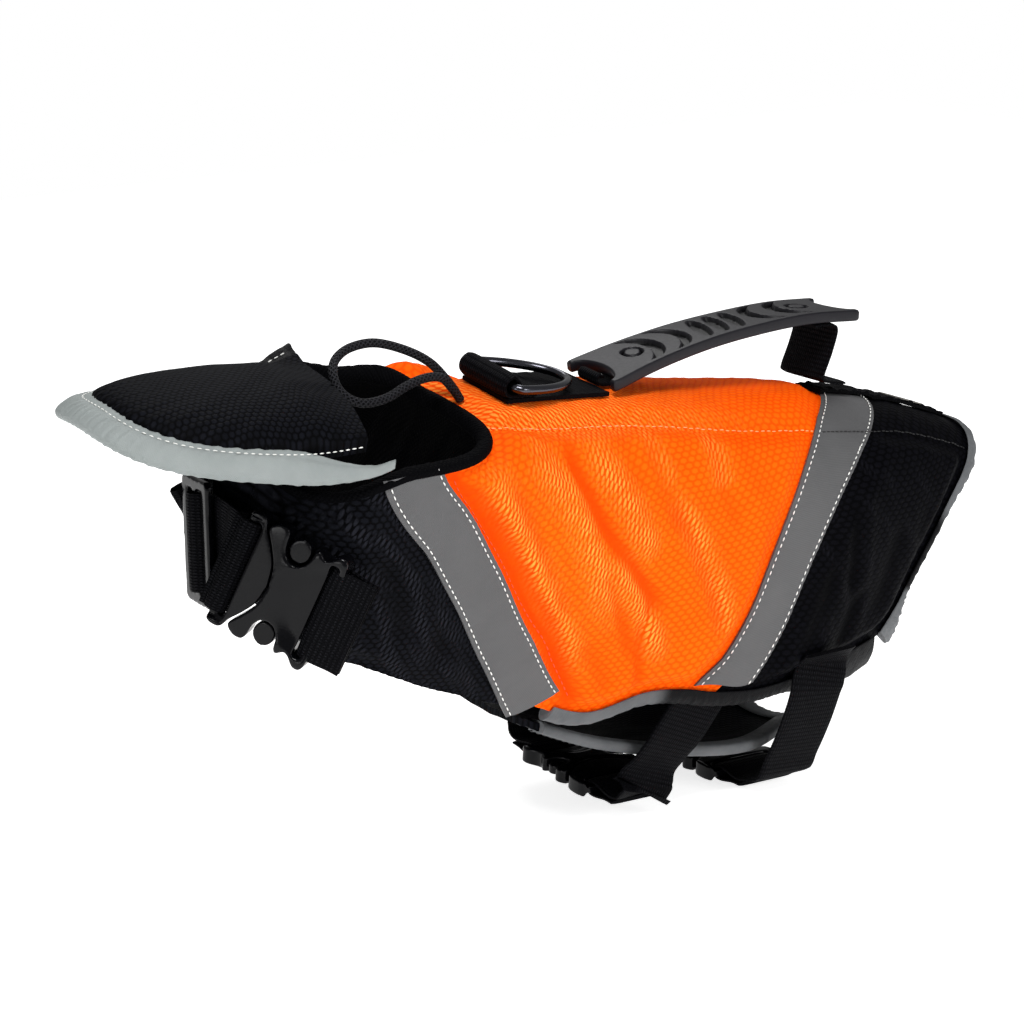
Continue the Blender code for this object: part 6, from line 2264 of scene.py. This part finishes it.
@dataclass
class HandleWebbing:
    """The webbing that carries the grip: a curl in its front notch and a post at its rear."""

    head: float = 30.2

    def build(self) -> None:
        """Both lengths."""
        lift = BACK_WALL + 2 * GAP + WEBBING * 1.5
        seat = float(FORM.out(np.array((FORM.station_at(-46.0), 0.0)), lift)[2])
        front = ((-41.0, seat - 0.9), (-49.0, seat - 0.1), (-55.0, seat + 0.3), (-60.0, seat + 1.5),
                 (-61.1, seat + 3.6), (-59.6, seat + 5.2), (-57.6, seat + 4.3))
        foot = float(FORM.out(np.array((FORM.station_at(76.0), 0.0)), lift)[2])
        rear = ((62.0, self.head - 1.6), (72.0, self.head - 2.2), (76.0, self.head - 5.0), (73.0, 15.0),
                (68.5, foot + 5.0), (69.0, foot + 2.2), (76.0, foot + 0.2), (82.0, foot - 0.8))
        for name, way, count, width in (("handle_webbing_front", front, 14, 14.0),
                                        ("handle_webbing_rear", rear, 20, 30.0)):
            path = smooth_path([(x, 0.0, z) for x, z in way], count)
            Webbing(name, path, np.array((0.0, 1.0, 0.0)), width).build()


@dataclass
class Grip:
    """The moulded grip: an arched bar with fish-tail ends, and recesses cut in its top."""

    length: float = 146.0
    width: float = 36.0
    thick: float = 5.5
    round_edge: float = 1.1
    depth: float = 2.3
    wall: float = 0.45
    line: tuple = ((-59.0, 17.2), (-33.0, 22.8), (-3.0, 27.2), (28.0, 29.5), (58.0, 30.2), (87.0, 28.4))
    # Shares of the length: small rings, crescents with the way they bow, and slanting ovals
    rings: tuple = (0.185, 0.835)
    crescents: tuple = ((0.265, 15.0, 6.2, 1), (0.37, 14.5, 5.2, 1), (0.645, 14.5, 5.2, -1),
                        (0.75, 15.0, 6.2, -1))
    ovals: tuple = (0.448, 0.51, 0.572)
    # In mm: the rings' radius and half their line, how far the crescents reach and their inner arc's
    # extra radius, and the ovals' half sizes
    ring_radius: float = 4.6
    ring_half: float = 0.55
    crescent_reach: float = 13.4
    crescent_extra: float = 1.5
    oval_size: tuple[float, float] = (11.5, 3.1)
    oval_turn: float = 76.0

    def end(self, y: Array) -> Array:
        """How far the fish-tail end is cut in, across the grip."""
        return 8.5 * np.sqrt(np.clip(1 - (y / (self.width * 0.42)) ** 2, 0, 1))

    def recess(self, u: Array, y: Array) -> Array:
        """0 on the top face and 1 at the bottom of a recess.

        Args:
            u: places along the grip, in mm.
            y: places across it, in mm.

        Returns:
            The share of full depth.
        """
        gaps = []
        for share in self.rings:
            away = np.hypot(u - share * self.length, y)
            gaps.append(np.abs(away - self.ring_radius) - self.ring_half)
        for share, radius, width, bow in self.crescents:
            tip = share * self.length + bow * width / 2
            outer = np.hypot(u - (tip - bow * radius), y) - radius
            wider = radius + self.crescent_extra
            inner = wider - np.hypot(u - (tip - bow * (wider + width)), y)
            gaps.append(np.maximum(np.maximum(outer, inner), np.abs(y) - self.crescent_reach))
        turn = math.radians(self.oval_turn)
        for share in self.ovals:
            a = (u - share * self.length) * math.cos(turn) + y * math.sin(turn)
            b = y * math.cos(turn) - (u - share * self.length) * math.sin(turn)
            size = np.hypot(a / self.oval_size[0], b / self.oval_size[1])
            gaps.append((size - 1) * self.oval_size[1])
        return ease(0.5 - np.minimum.reduce(gaps) / self.wall / 2)

    def bend(self, points: Array) -> Array:
        """Carries the straight bar onto its arched line.

        Args:
            points: points on the straight bar, in mm.

        Returns:
            Points in mm.
        """
        place = points[..., 0] / self.length * (len(self.line) - 1)
        on = spline(self.line, place)
        run = unit(spline(self.line, place + 0.05) - spline(self.line, place - 0.05))
        x = on[..., 0] - run[..., 1] * points[..., 2]
        z = on[..., 1] + run[..., 0] * points[..., 2]
        return FORM.roll(np.stack((x, points[..., 1], z), -1))

    def build(self) -> None:
        """The finished grip."""
        rows, cols = 240, 72
        share = np.linspace(0, 1, rows + 1)
        share = 0.5 - 0.5 * np.sign(0.5 - share) * np.abs(1 - 2 * share) ** 0.97
        across = np.sin(np.linspace(-1, 1, cols + 1) * math.pi / 2 * 0.9) / math.sin(math.pi / 2 * 0.9)
        share, across = np.meshgrid(share, across, indexing="ij")
        half = self.width / 2 - 2.2 * (1 - (2 * share - 1) ** 2)
        half = half - 0.8 * np.exp(-np.minimum(share, 1 - share) * 60)
        y = across * half
        cut = self.end(across * self.width / 2)
        u = cut + share * (self.length - 2 * cut)
        edge = np.minimum(half * (1 - np.abs(across)), np.minimum(u - cut, self.length - cut - u))
        outside = 1 - np.clip(edge / self.round_edge, 0, 1)
        soft = self.round_edge * (1 - np.sqrt(np.clip(1 - outside ** 2, 0, 1)))
        hollow = self.recess(u, y)
        top = self.thick - soft - self.depth * hollow - 0.25 * (y / half) ** 2
        low = soft + 1.2 * ease((edge - 3.0) / 1.0)
        outer = self.bend(np.stack((u, y, top), -1))
        inner = self.bend(np.stack((u, y, low), -1))
        # The recess share also sets the painted shade in the recesses
        made = grid_shell("handle_grip_moulding", outer, inner, GRIP_PLASTIC, np.stack((u, y), -1),
                          {"recess": hollow})
        fit(made, Slot.PLASTIC, "handle_grip")


@dataclass
class Buckle:
    """A side-release buckle, fastened: a waisted socket with a curved mouth, and the plug in it."""

    name: str
    web: float
    thick: float
    reach: tuple[float, float]
    place: tuple[Array, Array]
    rolled: bool
    voxel: float
    # Half outlines from the middle of one end to the middle of the other: shares of the webbing's
    # width along, and of the half width across
    socket: tuple = ((0.74, 0.0), (0.74, 0.5), (0.735, 0.86), (0.70, 0.98), (0.645, 1.0), (0.60, 0.95),
                     (0.55, 0.86), (0.50, 0.83), (0.455, 0.88), (0.415, 0.93), (0.385, 0.86), (0.37, 0.70),
                     (0.315, 0.56), (0.235, 0.51), (0.15, 0.56), (0.10, 0.70), (0.085, 0.88), (0.05, 0.985),
                     (-0.03, 1.0), (-0.105, 0.93), (-0.125, 0.83), (-0.03, 0.60), (0.06, 0.34), (0.10, 0.0))
    plug: tuple = ((0.085, 0.0), (0.045, 0.33), (-0.045, 0.59), (-0.145, 0.81), (-0.165, 0.90),
                   (-0.20, 0.98), (-0.27, 1.0), (-0.335, 0.97), (-0.36, 0.88), (-0.36, 0.5), (-0.36, 0.0))
    # The side button's middle and half sizes in the same shares, and its share of the full depth
    button: tuple[float, float, float, float] = (0.235, 0.74, 0.115, 0.20)
    button_depth: float = 0.72
    passes: int = 11
    # In mm: how far the plate stands out past the webbing, and where the slot starts and stops
    margin: float = 5.5
    slot_place: tuple[float, float] = (7.0, 3.0)

    @property
    def half(self) -> float:
        """Half the buckle's width."""
        return self.web / 2 + self.margin

    def along(self, x: float) -> float:
        """A share along, stretched to this buckle's reach, in mm.

        Args:
            x: the share.

        Returns:
            The place in mm.
        """
        socket_end, plug_end = self.reach
        if x > 0.4:
            x = 0.4 + (x - 0.4) * (socket_end - 0.4) / 0.34
        elif x < -0.13:
            x = -0.13 + (x + 0.13) * (plug_end - 0.13) / 0.23
        return x * self.web

    def loop(self, half_outline: tuple) -> list[tuple[float, float]]:
        """The whole outline, smoothed, in mm.

        Args:
            half_outline: one half of the outline, as shares.

        Returns:
            The outline's points, in mm.
        """
        knots = [(self.along(x), y * self.half) for x, y in half_outline]
        points = smooth_path(knots, len(knots) * 5)
        mirrored = points[-2:0:-1] * (1, -1)
        return [tuple(p) for p in np.concatenate((points, mirrored))]

    def slot(self, end: float, sign: int) -> list[tuple[float, float]]:
        """The slot for the webbing beside an end bar."""
        near_x, far_x = (end - sign * inward for inward in self.slot_place)
        wide = self.web / 2 + 0.8
        return [(near_x, -wide), (far_x, -wide), (far_x, wide), (near_x, wide)]

    def blank(self, name: str, loops: list, deep: float) -> Piece:
        """A flat plate cut from loops by the curve's even-odd fill.

        Args:
            name: the object's name.
            loops: its outer and inner outlines, in mm.
            deep: half its thickness, in mm.

        Returns:
            The object.
        """
        curve = bpy.data.curves.new(name, "CURVE")
        curve.dimensions, curve.fill_mode = "2D", "BOTH"
        curve.extrude = deep * MM
        for loop in loops:
            line = curve.splines.new("POLY")
            line.points.add(len(loop) - 1)
            for spot, (x, y) in zip(line.points, loop):
                spot.co = (x * MM, y * MM, 0.0, 1.0)
            line.use_cyclic_u = True
        return put(name, curve)

    def mould(self, name: str, loops: list, height: Callable[[Array, Array], Array], extra: list,
              node: str) -> None:
        """Makes a fitting from flat loops: rounded, then given its uneven thickness.

        Args:
            name: the piece's name.
            loops: the plate's outlines.
            height: share of the full height that is kept at a place.
            extra: more plates in the same piece, as loops.
            node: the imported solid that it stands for.
        """
        deep = self.thick / 2
        parts = [self.blank(name + "_plate", loops, deep)]
        parts += [self.blank(name + "_part", [loop], deep * self.button_depth) for loop in extra]
        mesh = bpy.data.meshes.new(name)
        shape = bmesh.new()
        for part in parts:
            shape.from_mesh(baked(part))
        bmesh.ops.remove_doubles(shape, verts=shape.verts, dist=0.00001)
        shape.to_mesh(mesh)
        shape.free()
        solid = put(name + "_solid", mesh)
        mesh = rounded(solid, self.voxel, self.passes)
        count = len(mesh.vertices)
        points = np.empty(count * 3, np.float32)
        mesh.vertices.foreach_get("co", points)
        points = points.reshape(-1, 3).astype(float) / MM
        points[:, 2] *= height(points[:, 0], points[:, 1])
        spots = self.place[0] + points @ self.place[1]
        spots = FORM.roll(spots) if self.rolled else spots
        mesh.vertices.foreach_set("co", (spots * MM).astype(np.float32).ravel())
        fit(dressed(name, mesh, ACETAL), Slot.PLASTIC, node)

    def build(self) -> None:
        """Socket and plug."""
        socket_end, plug_end = self.web * self.reach[0], -self.web * self.reach[1]

        def socket_height(x: Array, y: Array) -> Array:
            """The socket's thickness at places on it, as a share of the plate's."""
            scoop = np.hypot((x - socket_end + 3) / (0.48 * self.web), y / (0.82 * self.half))
            bowed = x - self.along(0.1) + 0.16 * self.web * (y / self.half) ** 2 * 2.0
            mouth = np.exp(-((bowed / 3.0) ** 2))
            dome = 0.26 * (np.abs(y) / self.half) ** 2 * ease((scoop - 1.0) / 0.4)
            return 0.98 - 0.46 * ease((1.15 - scoop) / 0.5) + 0.02 * mouth - dome

        def plug_height(x: Array, y: Array) -> Array:
            """The plug's thickness at places on it, as a share of the plate's."""
            bar = ease((x - plug_end - 2) / 6.0)
            knob = ease((np.abs(y) / self.half - 0.84) / 0.1)
            return np.maximum(0.42 + 0.42 * bar - 0.12 * (y / self.half) ** 2, 0.8 * knob)

        cx, cy, rx, ry = self.button
        turn = np.linspace(0, 2 * math.pi, 25)[:-1]
        buttons = [[(self.along(cx) + rx * self.web * math.cos(a),
                     sign * cy * self.half + ry * self.half * math.sin(a))
                    for a in turn] for sign in (-1, 1)]
        self.mould(self.name + "_socket_moulding", [self.loop(self.socket), self.slot(socket_end, 1)],
                   socket_height, [], self.name + "_socket")
        self.mould(self.name + "_plug_moulding", [self.loop(self.plug), self.slot(plug_end, -1)],
                   plug_height, buttons, self.name + "_plug")


def build_fittings(chest: ChestStrap, belly: BellyStraps) -> None:
    """The grip, the three buckles and the slider.

    Args:
        chest: the chest strap.
        belly: the belly straps.
    """
    Grip().build()
    Buckle("chest_buckle", chest.width, 11.0, chest.reach, chest.buckle_place(), False, 0.65).build()
    for route in belly.routes:
        Buckle("belly_buckle_" + route.name, belly.width, 9.0, belly.reach, route.buckle_place(), True,
               0.7).build()
    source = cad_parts["chest_slider"]
    raw = put("chest_slider_raw", source.data.copy())
    raw.matrix_world = source.matrix_world
    slider = dressed("chest_slider_moulding", rounded(raw, 0.65, 5), ACETAL)
    fit(slider, Slot.PLASTIC, "chest_slider")


@dataclass
class NeckCord:
    """The braided cord loop at the back of the neck, both ends sewn into the rim."""

    diameter: float = 4.0
    line: tuple = (
        (-129.5, -1.0, 21.6), (-133.5, 0.5, 27.5), (-140.5, 3.0, 35.5), (-151.0, 6.0, 41.7),
        (-165.0, 8.0, 46.2), (-177.0, 9.0, 45.4), (-185.5, 7.0, 41.8), (-190.0, 2.0, 37.2),
        (-190.5, -3.0, 31.6), (-187.0, -7.0, 27.4), (-180.5, -9.0, 25.5), (-170.5, -9.5, 26.5),
        (-160.5, -9.0, 30.0), (-151.0, -8.5, 32.0), (-142.0, -8.0, 31.0), (-135.5, -7.5, 25.0),
        (-131.5, -7.0, 19.7))

    def build(self) -> None:
        """The cord."""
        path = smooth_path(self.line, 240)
        heading = unit(np.gradient(path, axis=0))
        side = unit(np.cross(heading, (0.0, 0.0, 1.0)))
        for k in range(1, len(side)):
            side[k] = unit(side[k - 1] - heading[k] * float(side[k - 1] @ heading[k]))
        other = np.cross(heading, side)
        turn = np.linspace(0, 2 * math.pi, 17)[:-1]
        rings = path[:, None] + (side[:, None] * np.cos(turn)[None, :, None]
                                 + other[:, None] * np.sin(turn)[None, :, None]) * self.diameter / 2
        made = loft("neck_cord_braid", rings, CORD_BRAID)
        fit(made, Slot.CORD, "neck_cord")


# Sewing


def shoulder_stitches(start: float, end: float, side: int, aside: float, lift: float = 0.0) -> Array:
    """Points of the stitch row beside a shoulder seam, from one station to another.

    Args:
        start, end: stations.
        side: 1 for the left, -1 for the right.
        aside: how far in degrees of round it lies towards the spine.
        lift: extra height in mm.

    Returns:
        The points in mm.
    """
    station = np.linspace(start, end, 200)
    mark = np.stack((station, shoulder_round(station) - aside), -1)
    base = FORM.point(mark)
    height = Back().height(base, BACK_WALL)[0]
    return FORM.place(mark, height + 0.1 + lift, side)


def build_stitches(chin: ChinFloat, belly: Belly) -> None:
    """All rows of stitches, one mesh for each thread.

    Args:
        chin: the chin float.
        belly: the belly panel.
    """
    white = Tapes().stitch_lines() + [chin.stitch_line(10.4, 5.1)]
    StitchRows("white_stitches", white, WHITE_THREAD).build()
    StitchRows("grey_stitches", [belly.stitch_line()], BLACK_THREAD, 4.0, 2.8, 0.8).build()
    pale, deep, dark = [], [], []
    for side in (1, -1):
        pale.append(shoulder_stitches(0.25, 6.75, side, 1.1))
        share = np.linspace(0.02, 0.99, 200)
        mark = SECOND_STITCH.at(share)
        height = OrangeSides().wall(FORM.point(mark))[0]
        deep.append(FORM.place(mark, height + 0.15, side))
        station = np.linspace(6.85, 7.5, 40)
        mark = np.stack((station, shoulder_round(station)), -1)
        dark.append(FORM.place(mark, TAPE_HIGH + 0.45, side))
        dark.append(shoulder_stitches(7.6, 8.9, side, 1.1))
    StitchRows("orange_stitches", pale, ORANGE_THREAD, 3.4, 2.5, 0.55).build()
    StitchRows("red_stitches", deep, RED_THREAD, 3.4, 2.6, 0.6).build()
    StitchRows("black_stitches", dark, BLACK_THREAD, 2.6, 2.5, 0.6).build()


# Studio


@dataclass
class Studio:
    """The photograph's view: a long lens, a pale floor and large soft lights."""

    target: tuple[float, float, float] = (-0.099, 0.0, -0.037)
    back: tuple[float, float, float] = (-0.5664, -0.7796, 0.2672)
    distance: float = 1.4
    lens: float = 111.9
    ambient: float = 0.3
    floor_half: float = 1.6
    floor_glow: float = 0.78
    # Name, place, size in metres and power in watts
    lights: tuple = (("key", (-0.5, -0.5, 1.0), 0.4, 11.0), ("fill", (0.45, -1.25, 0.4), 0.5, 6.5),
                     ("front", (-1.2, -0.35, 0.1), 0.35, 2.0), ("rim", (0.4, 0.8, 0.9), 0.6, 4.0))

    def light(self, name: str, at: tuple[float, float, float], size: float, power: float) -> None:
        """One square soft light that points at the jacket.

        Args:
            name: its name.
            at: its place in metres.
            size: its side in metres.
            power: its power in watts.
        """
        lamp = bpy.data.lights.new(name, "AREA")
        lamp.shape, lamp.size, lamp.energy = "SQUARE", size, power
        made = put(name, lamp)
        made.location = at
        made.rotation_euler = (Vector(self.target) - Vector(at)).to_track_quat("-Z", "Y").to_euler()

    def build(self) -> None:
        """Camera, lights, world and floor."""
        scene = bpy.context.scene
        scene.view_settings.view_transform = "Standard"
        lens = bpy.data.cameras.new("photo_view")
        lens.lens, lens.sensor_width = self.lens, 36.0
        camera = put("photo_view", lens)
        back = Vector(self.back).normalized()
        camera.location = Vector(self.target) + back * self.distance
        camera.rotation_euler = back.to_track_quat("Z", "Y").to_euler()
        scene.camera = camera
        for name, at, size, power in self.lights:
            self.light(name, at, size, power)
        world = bpy.data.worlds.new("studio")
        scene.world = world
        world.use_nodes = True
        sky = world.node_tree.nodes["Background"]
        sky.inputs["Color"].default_value = (1.0, 1.0, 1.0, 1.0)
        # The backdrop is seen as white, while less of it lights the jacket
        ray = add_node(world.node_tree, "ShaderNodeLightPath").outputs["Is Camera Ray"]
        seen = add_node(world.node_tree, SPAN, {0: ray, 3: self.ambient, 4: 1.0}).outputs[0]
        world.node_tree.links.new(seen, sky.inputs["Strength"])
        low = CAD_BOX[0][2] - 0.0004
        mesh = bpy.data.meshes.new("floor")
        far = self.floor_half
        corners = [(-far, -far, low), (far, -far, low), (far, far, low), (-far, far, low)]
        mesh.from_pydata(corners, [], [(0, 1, 2, 3)])
        paper = Finish("pale_studio_floor", "#fafafa", 0.9).material()
        shader = paper.node_tree.nodes["Principled BSDF"]
        shader.inputs["Emission Color"].default_value = (1.0, 1.0, 1.0, 1.0)
        shader.inputs["Emission Strength"].default_value = self.floor_glow
        mesh.materials.append(paper)
        floor = put("floor", mesh)


def main() -> None:
    """Builds every piece in order."""
    logging.basicConfig(level=logging.INFO, format="%(name)s %(message)s")
    Studio().build()
    NeckCord().build()
    Lining().build()
    OrangeSides().build()
    Back().build()
    RearSides().build()
    Front().build()
    Tapes().build()
    build_bindings()
    chin = ChinFloat()
    chin.pad()
    chin.tape()
    belly = Belly()
    belly.build()
    straps, chest = BellyStraps(), ChestStrap()
    straps.build()
    chest.build()
    SpineStrips().build()
    RingAndLoop().build()
    HandleWebbing().build()
    build_fittings(chest, straps)
    build_stitches(chin, belly)


if __name__ == "__main__":
    main()
